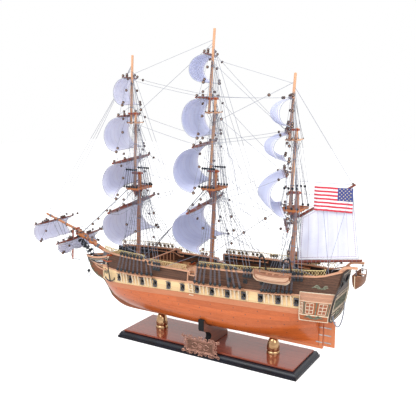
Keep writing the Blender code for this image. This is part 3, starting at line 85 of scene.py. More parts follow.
CAP_WIDTH, CAP_HEIGHT = 0.012, 0.004

BOWSPRIT_HEEL_X, BOWSPRIT_CAP_X, BOWSPRIT_CAP_HEIGHT = BOW_X + 0.027, BOW_X - 0.098, 0.192
BOWSPRIT_SLOPE, BOWSPRIT_RADIUS = 0.4216, 0.0055
JIB_BOOM_TIP_X, JIB_BOOM_SLOPE, JIB_BOOM_LIFT, JIB_BOOM_HEEL = -0.575, 0.300, 0.006, 0.014
JIB_BOOM_RADIUS, JIB_BOOM_TAPER = 0.0041, 0.7
STRIKER_AHEAD, STRIKER_RAKE, STRIKER_LENGTH = 0.018, 0.006, 0.094

# Each square sail: yard height, length, brace angle, parrel, then the sail's foot height, foot width,
# belly, how far its foot lies ahead, clew sweep and roach
SQUARE_RIG = {
    "fore_course": (0.294, 0.303, 13.6, 0.0095, (0.206, 0.230, 0.046, 0.010, 0.032, 0.0)),
    "fore_topsail": (0.413, 0.248, 14.7, 0.0016, (0.325, 0.236, 0.040, 0.012, 0.014, 0.0215)),
    "fore_topgallant": (0.5255, 0.150, 15.0, 0.0016, (0.439, 0.190, 0.041, 0.006, 0.008, 0.0)),
    "fore_royal": (0.622, 0.100, 15.0, 0.0014, (0.5535, 0.122, 0.028, 0.003, 0.004, 0.0)),
    "main_course": (0.314, 0.290, 13.0, 0.0125, (0.214, 0.222, 0.065, 0.004, 0.028, 0.0)),
    "main_topsail": (0.461, 0.230, 16.0, 0.0130, (0.357, 0.232, 0.055, 0.004, 0.004, 0.010)),
    "main_topgallant": (0.572, 0.175, 12.6, 0.0016, (0.481, 0.190, 0.042, 0.002, 0.006, 0.0)),
    "main_royal": (0.672, 0.115, 13.8, 0.0014, (0.6065, 0.136, 0.040, 0.003, 0.004, 0.0)),
    "mizzen_crossjack": (0.287, 0.200, 25.8, 0.0155, None),
    "mizzen_topsail": (0.405, 0.180, 25.6, 0.0130, (0.313, 0.170, 0.056, 0.008, 0.010, 0.021)),
    "mizzen_topgallant": (0.4945, 0.125, 26.4, 0.0030, (0.436, 0.148, 0.048, 0.004, 0.004, 0.0)),
    "mizzen_royal": (0.5717, 0.080, 28.0, 0.0014, (0.510, 0.103, 0.041, 0.006, 0.004, 0.0)),
}
LEECH_SLACK = {"fore": 0.12, "main": 0.12, "mizzen": 0.36}
HEAD_SHARE, SAIL_THICKNESS = 0.86, 0.0008
# Sprit sails: yard x, yard length, brace angle, drop, belly, swag
SPRIT_RIG = {
    "spritsail": (-0.450, 0.208, 6.0, 0.024, 0.012, 0.006),
    "sprit_topsail": (-0.545, 0.164, 2.0, 0.046, 0.020, 0.002),
}
SLING_ROOM, SPRIT_SWEEP = 0.0012, 0.004
GAFF_HEIGHT, GAFF_PEAK, GAFF_RADIUS, GAFF_TAPER = 0.304, (0.346, 0.386), 0.0030, 0.75
BOOM_HEIGHT, BOOM_END, BOOM_RADIUS = 0.197, (0.368, 0.221), 0.0034
ENSIGN_LENGTH, ENSIGN_HOIST, ENSIGN_DROP, ENSIGN_RIPPLE = 0.087, 0.054, 0.0065, 0.0018
QUARTER_BOAT = (0.1975, 0.088, 0.027, 0.021)  # x, length, beam, depth
STERN_BOAT = (0.068, 0.024, 0.026)  # length, beam, depth
QUARTER_REACH, QUARTER_HEIGHT, QUARTER_SPAN, QUARTER_FALL, DAVIT_RADIUS = 0.036, 0.224, 0.057, 0.032, 0.0019
STERN_DAVIT_X, STERN_DAVIT_Y, STERN_HEIGHT, STERN_FALL, STERN_ARM_RADIUS = TRANSOM_X + 0.0525, 0.025, 0.209, 0.019, 0.0026
SHROUD_FORE = {"fore": -0.252, "main": -0.006, "mizzen": 0.196}
SHROUD_SPREAD = {"fore": 0.116, "main": 0.122, "mizzen": 0.037}
ROPE_WIDTH, COLLAR_RADIUS, COLLAR_DROP = 0.0010, 0.0011, 0.0045
PREVENTER_RADIUS, PREVENTER_POINTS = 0.0014, 33
# The rudder rope's own points: across, height above the keel, stand-off from the transom
PREVENTER_ROUTE = (
    (-0.037, 0.0965, 0.0003), (-0.031, 0.0820, 0.0040), (-0.016, 0.0665, 0.0090), (0.0, 0.0610, 0.0110),
    (0.016, 0.0690, 0.0100), (0.030, 0.0880, 0.0060), (0.037, 0.1090, 0.0003),
)


# Hull lines, the same as the frame's


def clamp(value):
    return min(max(value, 0.0), 1.0)


def half_beam(x):
    if x < MIDSHIP_X:
        return HALF_BEAM * math.sqrt(max(1 - min((MIDSHIP_X - x) / (MIDSHIP_X - BOW_X), 1.0) ** 3.2, 0.0))
    return HALF_BEAM * (1 - 0.48 * ((x - MIDSHIP_X) / 0.350) ** 2.4)


def rail_half(x):
    return half_beam(x) * (1 - 0.05 - 0.25 * clamp((x - 0.15) / 0.17) ** 2)


def rabbet(x):
    forward = clamp((FOREFOOT_X - x) / FOREFOOT_RUN)
    return KEEL_Z + KEEL_DEPTH + FOREFOOT_RISE * (1 - (1 - forward**2.5) ** 0.34)


def strake_foot(x):
    return KEEL_Z + 0.1028 + 0.0358 * x - 0.089 * x * x


def strake_head(x):
    return KEEL_Z + 0.1295 + 0.033 * x


def deck_top(x):
    return strake_head(x) + GAP + DECK_THICKNESS


def transom_front(z):
    return TRANSOM_X + TRANSOM_RAKE * (z - KEEL_Z - TRANSOM_FOOT)


def section(x, z):
    up = clamp((z - rabbet(x)) / (KEEL_Z + BEAM_HEIGHT - rabbet(x)))
    bow = max((MIDSHIP_X - x) / (MIDSHIP_X - BOW_X), 0.0) ** 1.5
    stern = clamp((x - 0.05) / (POST_AFT_X - 0.05)) ** 1.5
    breadth = half_beam(x) * (1 - (1 - up) ** (4 - 2.4 * bow - 2.9 * stern)) ** (1 / (2 - 0.8 * bow - 1.5 * stern))
    return max(breadth, KEEL_THICKNESS / 2)


def knuckle(x):
    return rabbet(x) + COUNTER_SHARE * (strake_foot(x) - rabbet(x))


def bowsprit_height(x):
    return KEEL_Z + BOWSPRIT_CAP_HEIGHT - BOWSPRIT_SLOPE * (x - BOWSPRIT_CAP_X)


def jib_boom_height(x):
    return KEEL_Z + BOWSPRIT_CAP_HEIGHT + JIB_BOOM_LIFT - JIB_BOOM_SLOPE * (x - BOWSPRIT_CAP_X)


def rail_foot(x):
    """Height of the bulwark's top edge, which steps at the waist and the gangway."""
    if x < RAIL_START_X:
        return bowsprit_height(BOW_TURN_X) - BOWSPRIT_RADIUS * math.hypot(1, BOWSPRIT_SLOPE) - GAP
    if x < WAIST_FORE_X:
        return KEEL_Z + RAIL_FORE
    if x < GANGWAY_X - GANGWAY_WIDTH / 2:
        return KEEL_Z + RAIL_WAIST
    if x < GANGWAY_X + GANGWAY_WIDTH / 2:
        return deck_top(GANGWAY_X) + GANGWAY_SILL
    sweep = max((x - POST_AFT_X) / (TRANSOM_X - POST_AFT_X), 0.0)
    return KEEL_Z + RAIL_AFT + RAIL_AFT_SHEER * (x - GANGWAY_X) + RAIL_SWEEP * sweep**2


def topside(x, z):
    """Half breadth of the bulwark's outside at a height above the gun strake."""
    share = (z - strake_head(x)) / (max(rail_foot(x), KEEL_Z + RAIL_WAIST) - strake_head(x))
    return half_beam(x) + (rail_half(x) - half_beam(x)) * max(share, 0.0)


# Masts, yards and booms, the same as the frame's


def mast_axis(mast, step, z):
    """A point on a mast's axis. Step 0 is the lower mast, 1 the topmast, 2 the topgallant mast."""
    heels = deck_top(MAST_X[mast]), KEEL_Z + TOP_HEIGHT[mast], KEEL_Z + CROSSTREE_HEIGHT[mast]
    x = MAST_X[mast] - step * DOUBLING_STEP
    for number, rake in enumerate(MAST_RAKE[mast][: step + 1]):
        x += rake * ((z if number == step else heels[number + 1]) - heels[number])
    return Vector((x, 0, z))


def mast_face(mast, z, step=None):
    """A mast's axis and radius at a height: of one length of it, or of the foremost one there."""
    deck, truck = deck_top(MAST_X[mast]), KEEL_Z + TRUCK_HEIGHT[mast]
    top, trees = KEEL_Z + TOP_HEIGHT[mast], KEEL_Z + CROSSTREE_HEIGHT[mast]
    if step is None:
        step = (z >= top) + (z >= trees)
    radius, taper, low, high = (
        (LOWER_RADIUS, MAST_TAPER, deck, KEEL_Z + LOWER_HEAD[mast]),
        (TOPMAST_RADIUS, MAST_TAPER, top, KEEL_Z + TOPMAST_HEAD[mast]),
        (TOPGALLANT_RADIUS, POLE_TAPER, trees, truck),
    )[step]
    return mast_axis(mast, step, z), radius * (1 - (1 - taper) * (z - low) / (high - low))


def yard_radius(length):
    return max(length * 0.016, 0.0022)


def yard_directions(brace):
    """The way to a yard's port end, and the way ahead, square to it."""
    turn = math.radians(brace)
    return Vector((math.sin(turn), -math.cos(turn), 0)), Vector((-math.cos(turn), -math.sin(turn), 0))


def yard_place(name):
    """A yard's middle, its way to port, its way ahead, its length and the mast's fore face behind it."""
    if name in SPRIT_RIG:
        x, length, brace, _, _, _ = SPRIT_RIG[name]
        if name == "spritsail":
            roof = bowsprit_height(x) - BOWSPRIT_RADIUS * math.hypot(1, BOWSPRIT_SLOPE)
        else:
            heel = BOWSPRIT_CAP_X + JIB_BOOM_HEEL
            taper = 1 - (1 - JIB_BOOM_TAPER) * (heel - x) / (heel - JIB_BOOM_TIP_X)
            roof = jib_boom_height(x) - JIB_BOOM_RADIUS * taper * math.hypot(1, JIB_BOOM_SLOPE)
        centre = Vector((x, 0, roof - GAP - yard_radius(length) - SLING_ROOM))
        return (centre, *yard_directions(brace), length, x)
    height, length, brace, parrel, _ = SQUARE_RIG[name]
    centre, radius = mast_face(name.split("_")[0], KEEL_Z + height)
    face = centre.x - radius
    centre.x = face - parrel - yard_radius(length)
    return (centre, *yard_directions(brace), length, face)


def yard_point(name, share):
    """A point on a yard's axis: share is -1 at its starboard end and 1 at its port end."""
    centre, along, _, length, _ = yard_place(name)
    return centre + along * length / 2 * share


def jaw(height, end, radius):
    start, mast_radius = mast_face("mizzen", KEEL_Z + height, 0)
    slope = (end.z - start.z) / (end - start).length
    start.x += mast_radius + GAP + radius * slope
    return start


def gaff_axis(t):
    peak = Vector((GAFF_PEAK[0], 0, KEEL_Z + GAFF_PEAK[1]))
    return jaw(GAFF_HEIGHT, peak, GAFF_RADIUS).lerp(peak, t)


def boom_axis(t):
    end = Vector((BOOM_END[0], 0, KEEL_Z + BOOM_END[1]))
    return jaw(BOOM_HEIGHT, end, BOOM_RADIUS).lerp(end, t)


# Shapes: (points, faces, uv per point or None)


def skin(rows, wrap=False, caps=False, uv=None):
    """Faces over rows of points, closed round the rows if they wrap."""
    count = len(rows[0])
    faces = []
    for row in range(len(rows) - 1):
        for i in range(count if wrap else count - 1):
            j = (i + 1) % count
            faces.append((row * count + i, row * count + j, (row + 1) * count + j, (row + 1) * count + i))
    if caps:
        last = (len(rows) - 1) * count
        faces += [tuple(range(count)), tuple(range(last, last + count))]
    return [point for row in rows for point in row], faces, uv


def tube(path, radius, sides=6):
    """A round bar along a path, with one radius or one for each point."""
    path = [Vector(point) for point in path]
    radii = radius if isinstance(radius, (list, tuple)) else [radius] * len(path)
    side = None
    rows = []
    for i, (point, size) in enumerate(zip(path, radii)):
        way = (path[min(i + 1, len(path) - 1)] - path[max(i - 1, 0)]).normalized()
        side = way.orthogonal() if side is None else side - way * side.dot(way)
        side.normalize()
        up = way.cross(side)
        turns = [math.tau * k / sides for k in range(sides)]
        rows.append([point + (side * math.cos(a) + up * math.sin(a)) * size for a in turns])
    return skin(rows, wrap=True, caps=True)


def ring(centre, axis, radius, thickness, around=14, sides=6):
    """A closed hoop about an axis."""
    axis = Vector(axis).normalized()
    side = axis.orthogonal().normalized()
    up = axis.cross(side)
    rows = []
    for k in range(around):
        a = math.tau * k / around
        out = side * math.cos(a) + up * math.sin(a)
        turns = [math.tau * j / sides for j in range(sides)]
        rows.append([Vector(centre) + out * (radius + thickness * math.cos(b)) + axis * thickness * math.sin(b)
                     for b in turns])
    points, faces, _ = skin(rows + rows[:1], wrap=True)
    merge = len(points) - sides
    faces = [tuple(i - merge if i >= merge else i for i in face) for face in faces]
    return points[:merge], faces, None


def turned(profile, origin, axis=(0, 0, 1), around=20):
    """A turned piece from (radius, height) pairs along an axis."""
    axis = Vector(axis).normalized()
    side = axis.orthogonal().normalized()
    up = axis.cross(side)
    turns = [math.tau * k / around for k in range(around)]
    rows = []
    for radius, height in profile:
        size = max(radius, 1e-5)
        rows.append([Vector(origin) + axis * height + (side * math.cos(a) + up * math.sin(a)) * size for a in turns])
    return skin(rows, wrap=True, caps=True)


def block(centre, size, axes=((1, 0, 0), (0, 1, 0), (0, 0, 1))):
    """A box with its own axes."""
    axes = [Vector(axis).normalized() * side / 2 for axis, side in zip(axes, size)]
    centre = Vector(centre)
    rows = []
    for w in (-1, 1):
        rows.append([centre + axes[0] * u + axes[1] * v + axes[2] * w for u, v in ((-1, -1), (1, -1), (1, 1), (-1, 1))])
    return skin(rows, wrap=True, caps=True)


def bar(start, end, width, height, up=(0, 0, 1)):
    """A straight squared bar between two points."""
    start, end = Vector(start), Vector(end)
    way = (end - start).normalized()
    side = way.cross(Vector(up)).normalized()
    return block((start + end) / 2, ((end - start).length, width, height), (way, side, side.cross(way)))


def board(outline, thickness, origin, axes):
    """A flat board cut to an outline of (u, v) pairs, centred on its thickness."""
    u, v, w = (Vector(axis) for axis in axes)
    rows = []
    for half in (-thickness / 2, thickness / 2):
        rows.append([Vector(origin) + u * a + v * b + w * half for a, b in outline])
    return skin(rows, wrap=True, caps=True)


def moulding(path, profile, ups=None, closed=False):
    """A strip of constant section along a path: profile pairs are (out to the right, up)."""
    path = [Vector(point) for point in path]
    rows = []
    last = len(path) - 1
    for i, point in enumerate(path):
        before, after = (path[i - 1], path[(i + 1) % len(path)]) if closed else (path[max(i - 1, 0)], path[min(i + 1, last)])
        way = (after - before).normalized()
        up = Vector(ups[i] if ups else (0, 0, 1))
        side = way.cross(up).normalized()
        up = side.cross(way)
        rows.append([point + side * a + up * b for a, b in profile])
    if closed:
        points, faces, _ = skin(rows + rows[:1], wrap=True)
        merge = len(points) - len(profile)
        return points[:merge], [tuple(i - merge if i >= merge else i for i in face) for face in faces], None
    return skin(rows, wrap=True, caps=True)


def mirrored(shape):
    """The same shape on the other side of the ship."""
    points, faces, uv = shape
    return [Vector((p[0], -p[1], p[2])) for p in points], faces, uv


def both(shapes):
    return shapes + [mirrored(shape) for shape in shapes]


def curve_points(points, count):
    """Evenly spaced points on a Catmull-Rom curve through a few points."""
    points = [np.array(point, float) for point in points]
    ends = [points[0] * 2 - points[1]] + points + [points[-1] * 2 - points[-2]]
    fine = []
    for i in range(1, len(ends) - 2):
        p0, p1, p2, p3 = ends[i - 1 : i + 3]
        for t in np.linspace(0, 1, 20, endpoint=False):
            bend = p1 * 2 + (p2 - p0) * t + (p0 * 2 - p1 * 5 + p2 * 4 - p3) * t**2
            fine.append((bend + (p1 * 3 - p0 - p2 * 3 + p3) * t**3) / 2)
    fine = np.array(fine + [points[-1]])
    along = np.concatenate([[0.0], np.cumsum(np.linalg.norm(np.diff(fine, axis=0), axis=1))])
    spaced = np.linspace(0, along[-1], count)
    return [tuple(point) for point in np.column_stack([np.interp(spaced, along, fine[:, k]) for k in range(fine.shape[1])])]


def piece(name, shapes, finish, body="ship", bevel=0.0, smooth=35, stands_for=()):
    """One named piece of the ship from several shapes, with a finish, riding on a body."""
    points, faces, marks = [], [], []
    for some_points, some_faces, uv in shapes:
        start = len(points)
        points += some_points
        faces += [tuple(start + i for i in face) for face in some_faces]
        marks += uv or [(p[0], p[2]) for p in some_points]
    mesh = bpy.data.meshes.new(name)
    mesh.from_pydata(points, [], faces)
    layer = mesh.uv_layers.new(name="surface")
    corners = np.empty(len(mesh.loops), np.int32)
    mesh.loops.foreach_get("vertex_index", corners)
    layer.data.foreach_set("uv", np.array([m[:2] for m in marks], np.float32)[corners].ravel())
    if len(marks[0]) == 4:
        edges = mesh.uv_layers.new(name="edges")
        edges.data.foreach_set("uv", np.array([m[2:] for m in marks], np.float32)[corners].ravel())
    work = bmesh.new()
    work.from_mesh(mesh)
    bmesh.ops.recalc_face_normals(work, faces=work.faces)
    work.to_mesh(mesh)
    work.free()
    mesh.shade_smooth()
    mesh.set_sharp_from_angle(angle=math.radians(smooth))
    mesh.materials.append(finish)
    made = bpy.data.objects.new(name, mesh)
    bpy.context.scene.collection.objects.link(made)
    if bevel:
        rounding = made.modifiers.new("eased edges", "BEVEL")
        rounding.width, rounding.segments, rounding.limit_method = bevel, 2, "ANGLE"
    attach(made, body)
    if stands_for:
        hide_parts(*stands_for)
    return made


# Finishes


def srgb(code):
    """A linear colour from an sRGB hex code."""
    parts = [int(code[i : i + 2], 16) / 255 for i in (1, 3, 5)]
    return (*(((c + 0.055) / 1.055) ** 2.4 if c > 0.04045 else c / 12.92 for c in parts), 1.0)


def add(tree, kind, links=None, **settings):
    """Adds a shader node. Links maps each socket to a value, or to the socket that feeds it."""
    made = tree.nodes.new("ShaderNode" + kind)
    for name, value in settings.items():
        setattr(made, name, value)
    for socket, value in (links or {}).items():
        if isinstance(value, bpy.types.NodeSocket):
            tree.links.new(value, made.inputs[socket])
        else:
            made.inputs[socket].default_value = value
    return made


def new_finish(name, roughness, **sockets):
    """A material with its shader's plain values set, and its tree and shader for the pattern."""
    made = bpy.data.materials.new(name)
    made.use_nodes = True
    shader = made.node_tree.nodes["Principled BSDF"]
    shader.inputs["Roughness"].default_value = roughness
    for socket, value in sockets.items():
        shader.inputs[socket.replace("_", " ")].default_value = value
    return made, made.node_tree, shader


def wood(name, pale, dark, grain_mm, roughness, run_mm=60.0, axis=0, bump=0.15, **sockets):
    """Sawn and varnished wood: long streaks along the grain, fine pores, and a soft unevenness in the gloss."""
    made, tree, shader = new_finish(name, roughness, **sockets)
    place = add(tree, "TexCoord").outputs["Object"]
    scale = [1000 / grain_mm] * 3
    scale[axis] = 1000 / run_mm
    grain_place = add(tree, "Mapping", {"Vector": place, "Scale": scale}).outputs[0]
    streaks = add(tree, "TexNoise", {"Vector": grain_place, "Scale": 1.0, "Detail": 5.0, "Roughness": 0.65,
                                     "Distortion": 0.6})
    pores = add(tree, "TexNoise", {"Vector": grain_place, "Scale": 5.0, "Detail": 2.0})
    blend = add(tree, "MixRGB", {"Fac": 0.3, "Color1": streaks.outputs["Fac"], "Color2": pores.outputs["Fac"]})
    tones = add(tree, "ValToRGB", {"Fac": blend.outputs[0]})
    tones.color_ramp.elements[0].position, tones.color_ramp.elements[1].position = 0.34, 0.64
    tones.color_ramp.elements[0].color, tones.color_ramp.elements[1].color = srgb(dark), srgb(pale)
    tree.links.new(tones.outputs[0], shader.inputs["Base Color"])
    gloss = add(tree, "MapRange", {"Value": pores.outputs["Fac"], "To Min": roughness * 0.8, "To Max": roughness * 1.3})
    tree.links.new(gloss.outputs[0], shader.inputs["Roughness"])
    relief = add(tree, "Bump", {"Height": blend.outputs[0], "Strength": bump, "Distance": 0.0002})
    tree.links.new(relief.outputs[0], shader.inputs["Normal"])
    return made


def planked(made, across, plank_mm, seam_mm, seam, along_mm=0.0, stagger=0.0, uv=False):
    """Lays planks over a wood finish: dark seams a plank apart, and butts along each plank if asked."""
    tree = made.node_tree
    shader = tree.nodes["Principled BSDF"]
    under = shader.inputs["Base Color"].links[0].from_socket
    coords = add(tree, "UVMap", uv_map="surface").outputs[0] if uv else add(tree, "TexCoord").outputs["Object"]
    split = add(tree, "SeparateXYZ", {"Vector": coords})
    count = add(tree, "Math", {0: split.outputs[across], 1: 1000 / plank_mm}, operation="MULTIPLY")
    number = add(tree, "Math", {0: count.outputs[0]}, operation="FLOOR")
    within = add(tree, "Math", {0: count.outputs[0]}, operation="FRACT")
    edge = add(tree, "Math", {0: within.outputs[0], 1: 0.5}, operation="SUBTRACT")
    edge = add(tree, "Math", {0: edge.outputs[0]}, operation="ABSOLUTE")
    line = add(tree, "Math", {0: edge.outputs[0], 1: 0.5 - seam_mm / plank_mm / 2}, operation="GREATER_THAN")
    mark = line.outputs[0]
    tone_seed = number.outputs[0]
    if along_mm:
        shift = add(tree, "Math", {0: number.outputs[0], 1: stagger}, operation="MULTIPLY")
        run = add(tree, "Math", {0: split.outputs[0], 1: 1000 / along_mm, 2: shift.outputs[0]}, operation="MULTIPLY_ADD")
        length_number = add(tree, "Math", {0: run.outputs[0]}, operation="FLOOR")
        part = add(tree, "Math", {0: run.outputs[0]}, operation="FRACT")
        butt = add(tree, "Math", {0: part.outputs[0], 1: seam_mm / along_mm}, operation="LESS_THAN")
        mark = add(tree, "Math", {0: mark, 1: butt.outputs[0]}, operation="MAXIMUM").outputs[0]
        tone_seed = add(tree, "Math", {0: length_number.outputs[0], 1: 7.31, 2: number.outputs[0]},
                        operation="MULTIPLY_ADD").outputs[0]
    tone = add(tree, "TexWhiteNoise", {"W": tone_seed}, noise_dimensions="1D")
    level = add(tree, "MapRange", {"Value": tone.outputs["Value"], "To Min": 0.86, "To Max": 1.08})
    varied = add(tree, "VectorMath", {0: under, 1: level.outputs[0]}, operation="MULTIPLY")
    lined = add(tree, "MixRGB", {"Fac": mark, "Color1": varied.outputs[0], "Color2": srgb(seam)})
    tree.links.new(lined.outputs[0], shader.inputs["Base Color"])
    return made


def painted_shade_forward(made, start, end, least):
    """Paints shade into a wood's colour towards the bow, from full strength at one place to its least at another."""
    tree = made.node_tree
    shader = tree.nodes["Principled BSDF"]
    under = shader.inputs["Base Color"].links[0].from_socket
    split = add(tree, "SeparateXYZ", {"Vector": add(tree, "TexCoord").outputs["Object"]})
    level = add(tree, "MapRange", {"Value": split.outputs[0], "From Min": start, "From Max": end, "To Min": least, "To Max": 1.0})
    deep = add(tree, "VectorMath", {0: under, 1: level.outputs[0]}, operation="MULTIPLY")
    tree.links.new(deep.outputs[0], shader.inputs["Base Color"])
    return made




# Turned and planed hardwoods, oiled or varnished: soft streaks in two tones, gloss broken by the pores
HULL_PLANKS = planked(
    wood("mahogany_hull_planks", "#cf6c33", "#b8561f", 2.6, 0.28, Coat_Weight=0.35, Coat_Roughness=0.14),
    1, 12.5, 0.45, "#a4501f", along_mm=180.0, stagger=0.37, uv=True)
WALE_WOOD = wood("mahogany_wale", "#cf8862", "#ba6c44", 2.0, 0.36)
# the keel, stem and knee carry painted shade, deeper towards the bow
KEEL_WOOD = painted_shade_forward(wood("mahogany_keel", "#d98658", "#c26c3e", 2.4, 0.34), -0.33, -0.10, 0.36)
RUDDER_WOOD = wood("mahogany_rudder", "#d9865a", "#c46c3c", 2.4, 0.34, axis=2)
CREAM_BAND = planked(wood("cream_enamel_on_planks", "#f3d4a4", "#e9c48e", 2.5, 0.42, bump=0.06), 2, 13.0, 0.25, "#d9b27c")
TOPSIDE_WOOD = planked(wood("walnut_topside", "#704a36", "#38241a", 1.5, 0.46, Specular_IOR_Level=0.40), 2, 5.5, 0.5, "#1e0e05")
RAIL_WOOD = wood("beech_rail", "#dcaa8a", "#c88e6c", 2.0, 0.42)
DECK_WOOD = planked(wood("deck_beech_planks", "#c99468", "#a8744a", 1.6, 0.5), 1, 6.0, 0.5, "#5a3418", 90.0, 0.4)
# painted shade: the lower masts and the bowsprit take the beech a tone deeper than the upper masts
MAST_PAINTED_SHADE_WOOD = wood("turned_mast_beech_painted_shade", "#c98a62", "#a8663c", 1.4, 0.38, axis=2)
MAST_UPPER = wood("turned_pale_mast_beech", "#e6b48e", "#d2966c", 1.4, 0.40, axis=2)
MAST_PALE = wood("sanded_pale_beech", "#ecbe98", "#d9a27a", 1.4, 0.45)
YARD_WOOD = wood("rosewood_yard", "#8c3d2a", "#5e2414", 1.2, 0.34, axis=1)
PANEL_WOOD = wood("piano_lacquered_mahogany", "#9a4e38", "#7a3422", 2.6, 0.22, run_mm=90, bump=0.02,
                  Coat_Weight=0.7, Coat_Roughness=0.05, Specular_IOR_Level=0.3)
CRADLE_WOOD = wood("cradle_mahogany", "#8a5138", "#5e3020", 2.0, 0.30, axis=1, Coat_Weight=0.4, Coat_Roughness=0.1)
GALLERY_WOOD = wood("gallery_cherry", "#b9683a", "#984e26", 1.8, 0.40)
TRANSOM_WOOD = wood("stained_transom_walnut", "#4e3222", "#2a1a12", 2.0, 0.42, axis=1)
BOAT_CREAM = planked(wood("clinker_cream_planks", "#dfb89c", "#cc9f80", 1.8, 0.45), 2, 3.4, 0.4, "#a97c5e")
BOAT_PINK = wood("rubbed_cherry_strake", "#a8755a", "#8a5840", 1.8, 0.42)
ROOF_WOOD = planked(wood("cherry_roof_boards", "#cd9a7c", "#b67e5e", 1.8, 0.42), 2, 3.0, 0.4, "#94644a")
BOAT_BROWN = planked(wood("clinker_mahogany_planks", "#8f5a38", "#663a20", 1.8, 0.42), 2, 4.0, 0.45, "#3c2010")
TOP_WOOD = wood("oiled_cherry_top", "#cf8048", "#a65a28", 1.6, 0.38, axis=1)
RED_WOOD = wood("padauk_trim", "#b5562f", "#8e3a1c", 1.6, 0.38)


def speckled(name, colour, other, speck_mm, roughness, **sockets):
    """A coated, cast or spun surface: two close tones in soft specks, with the gloss uneven in the same way."""
    made, tree, shader = new_finish(name, roughness, **sockets)
    place = add(tree, "TexCoord").outputs["Object"]
    specks = add(tree, "TexNoise", {"Vector": place, "Scale": 1000 / speck_mm, "Detail": 4.0, "Roughness": 0.6})
    tones = add(tree, "ValToRGB", {"Fac": specks.outputs["Fac"]})
    tones.color_ramp.elements[0].position, tones.color_ramp.elements[1].position = 0.35, 0.65
    tones.color_ramp.elements[0].color, tones.color_ramp.elements[1].color = srgb(other), srgb(colour)
    tree.links.new(tones.outputs[0], shader.inputs["Base Color"])
    gloss = add(tree, "MapRange", {"Value": specks.outputs["Fac"], "To Min": roughness * 0.75, "To Max": roughness * 1.3})
    tree.links.new(gloss.outputs[0], shader.inputs["Roughness"])
    relief = add(tree, "Bump", {"Height": specks.outputs["Fac"], "Strength": 0.15, "Distance": 0.0002})
    tree.links.new(relief.outputs[0], shader.inputs["Normal"])
    return made


# Lacquer is smooth and mirror-dark, brass warm and bright, cast copper dull with darker hollows
BLACK_LACQUER = speckled("black_piano_lacquer", "#141a28", "#0b0f18", 30.0, 0.30, Specular_IOR_Level=0.35,
                         Coat_Weight=0.12, Coat_Roughness=0.10)
BLACK_PAINT = speckled("black_satin_enamel", "#20262e", "#12161c", 4.0, 0.42)
DEADEYE_BLACK = speckled("stained_boxwood_black", "#18222c", "#0e141a", 2.0, 0.40)
BRASS = speckled("polished_brass", "#c8a27a", "#b08a64", 25.0, 0.08, Metallic=1.0)
COPPER_CAST = speckled("antiqued_cast_copper", "#cc9c8a", "#7a5648", 3.0, 0.36, Metallic=0.6)
BRONZE_GREEN = speckled("patinated_bronze", "#8a8a76", "#5c6050", 3.0, 0.45, Metallic=0.4)
GOLD_PAINT = speckled("gilt_paint", "#cbb083", "#a68c60", 3.0, 0.40, Metallic=0.35)
STEEL_STRAP = speckled("tinned_steel_strap", "#c8c8c8", "#9c9c9e", 6.0, 0.35, Metallic=0.8)
WHITE_TRIM = speckled("ivory_enamel", "#eadcc6", "#dec8a8", 4.0, 0.40)
PANE_GLASS = speckled("amber_window_pane", "#a4572c", "#84401c", 6.0, 0.12, Coat_Weight=0.8, Coat_Roughness=0.04)
# painted shade: black for the dark insides of the gunports, the guns' bores and the small upper ports
PORT_PAINTED_SHADE = speckled("gunport_painted_shade_black", "#17181a", "#0c0d0e", 3.0, 0.6)
GUN_IRON = speckled("blackened_gun_iron", "#54555a", "#323438", 2.5, 0.34, Metallic=0.6)
BLOCK_WOOD = speckled("walnut_block", "#493029", "#2a1a17", 2.0, 0.42)
SHEAVE_WOOD = speckled("boxwood_sheave", "#c0a08c", "#98786a", 2.0, 0.5)
ROPE_GRAY = speckled("waxed_gray_cord", "#9a9eac", "#7c8090", 1.2, 0.75)
ROPE_DARK = speckled("tarred_dark_cord", "#7a7f8c", "#585d6a", 1.2, 0.75)
ROPE_PALE = speckled("pale_linen_thread", "#b6bac6", "#9aa0ae", 1.2, 0.8)
NET_GOLD = speckled("gold_cotton_net", "#e6d4a2", "#cbb274", 1.5, 0.7)
BED_FELT = speckled("black_felt", "#16181c", "#0c0e10", 0.8, 0.95)
PANE_BLACK = speckled("dark_window_pane", "#1c1a1c", "#100f11", 6.0, 0.12, Coat_Weight=0.6, Coat_Roughness=0.04)
PLATE_DARK = speckled("oxidised_copper_ground", "#86604f", "#5e4236", 3.0, 0.45, Metallic=0.5)
PORT_GRAY = speckled("slate_enamel", "#6e6c70", "#46464c", 3.0, 0.45)


# Base and stand


def make_base():
    """A moulded lacquered plinth with a polished panel and two turned pedestals."""
    profile = [(0.0, 0.0), (0.0, 0.0014), (0.0007, 0.0018), (0.0, 0.0022), (0.0, 0.0036), (0.0007, 0.0040), (0.0, 0.0044),
               (0.0, 0.0056), (0.0014, 0.0062), (0.0030, 0.0070), (0.0034, 0.0080), (0.0026, 0.0088), (0.0026, 0.0096),
               (0.0034, 0.0104), (0.0046, 0.0116), (0.0054, 0.0134), (0.0060, 0.0150)]
    rows = []
    for inset, z in profile:
        x, y = BASE_LENGTH / 2 - inset, BASE_WIDTH / 2 - inset
        rows.append([Vector((-x, -y, z)), Vector((x, -y, z)), Vector((x, y, z)), Vector((-x, y, z))])
    piece("plinth_moulding", [skin(rows, wrap=True, caps=True)], BLACK_LACQUER, smooth=25,
          stands_for=("base_plinth",))
    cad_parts["base_panel"].data.materials[0] = PANEL_WOOD
    low, rise = BASE_TOP + GAP, KEEL_Z - BASE_TOP - 2 * GAP
    bell = curve_points([(0.0157, 0.0100), (0.0157, 0.0150), (0.0152, 0.0200), (0.0142, 0.0252), (0.0127, 0.0302), (0.0109, 0.0343),
                         (0.0091, rise)], 22)
    profile = [(0.0, 0.0), (0.0163, 0.0), (0.0163, 0.0048), (0.0158, 0.0056), (0.0152, 0.0063), (0.0150, 0.0073), (0.0152, 0.0086), *bell,
               (0.0, rise)]
    for name, x in (("fore", -0.165), ("aft", 0.163)):
        piece(f"brass_pedestal_{name}", [turned(profile, (x, 0, low), around=40)], BRASS, smooth=40,
              stands_for=(f"pedestal_{name}",))


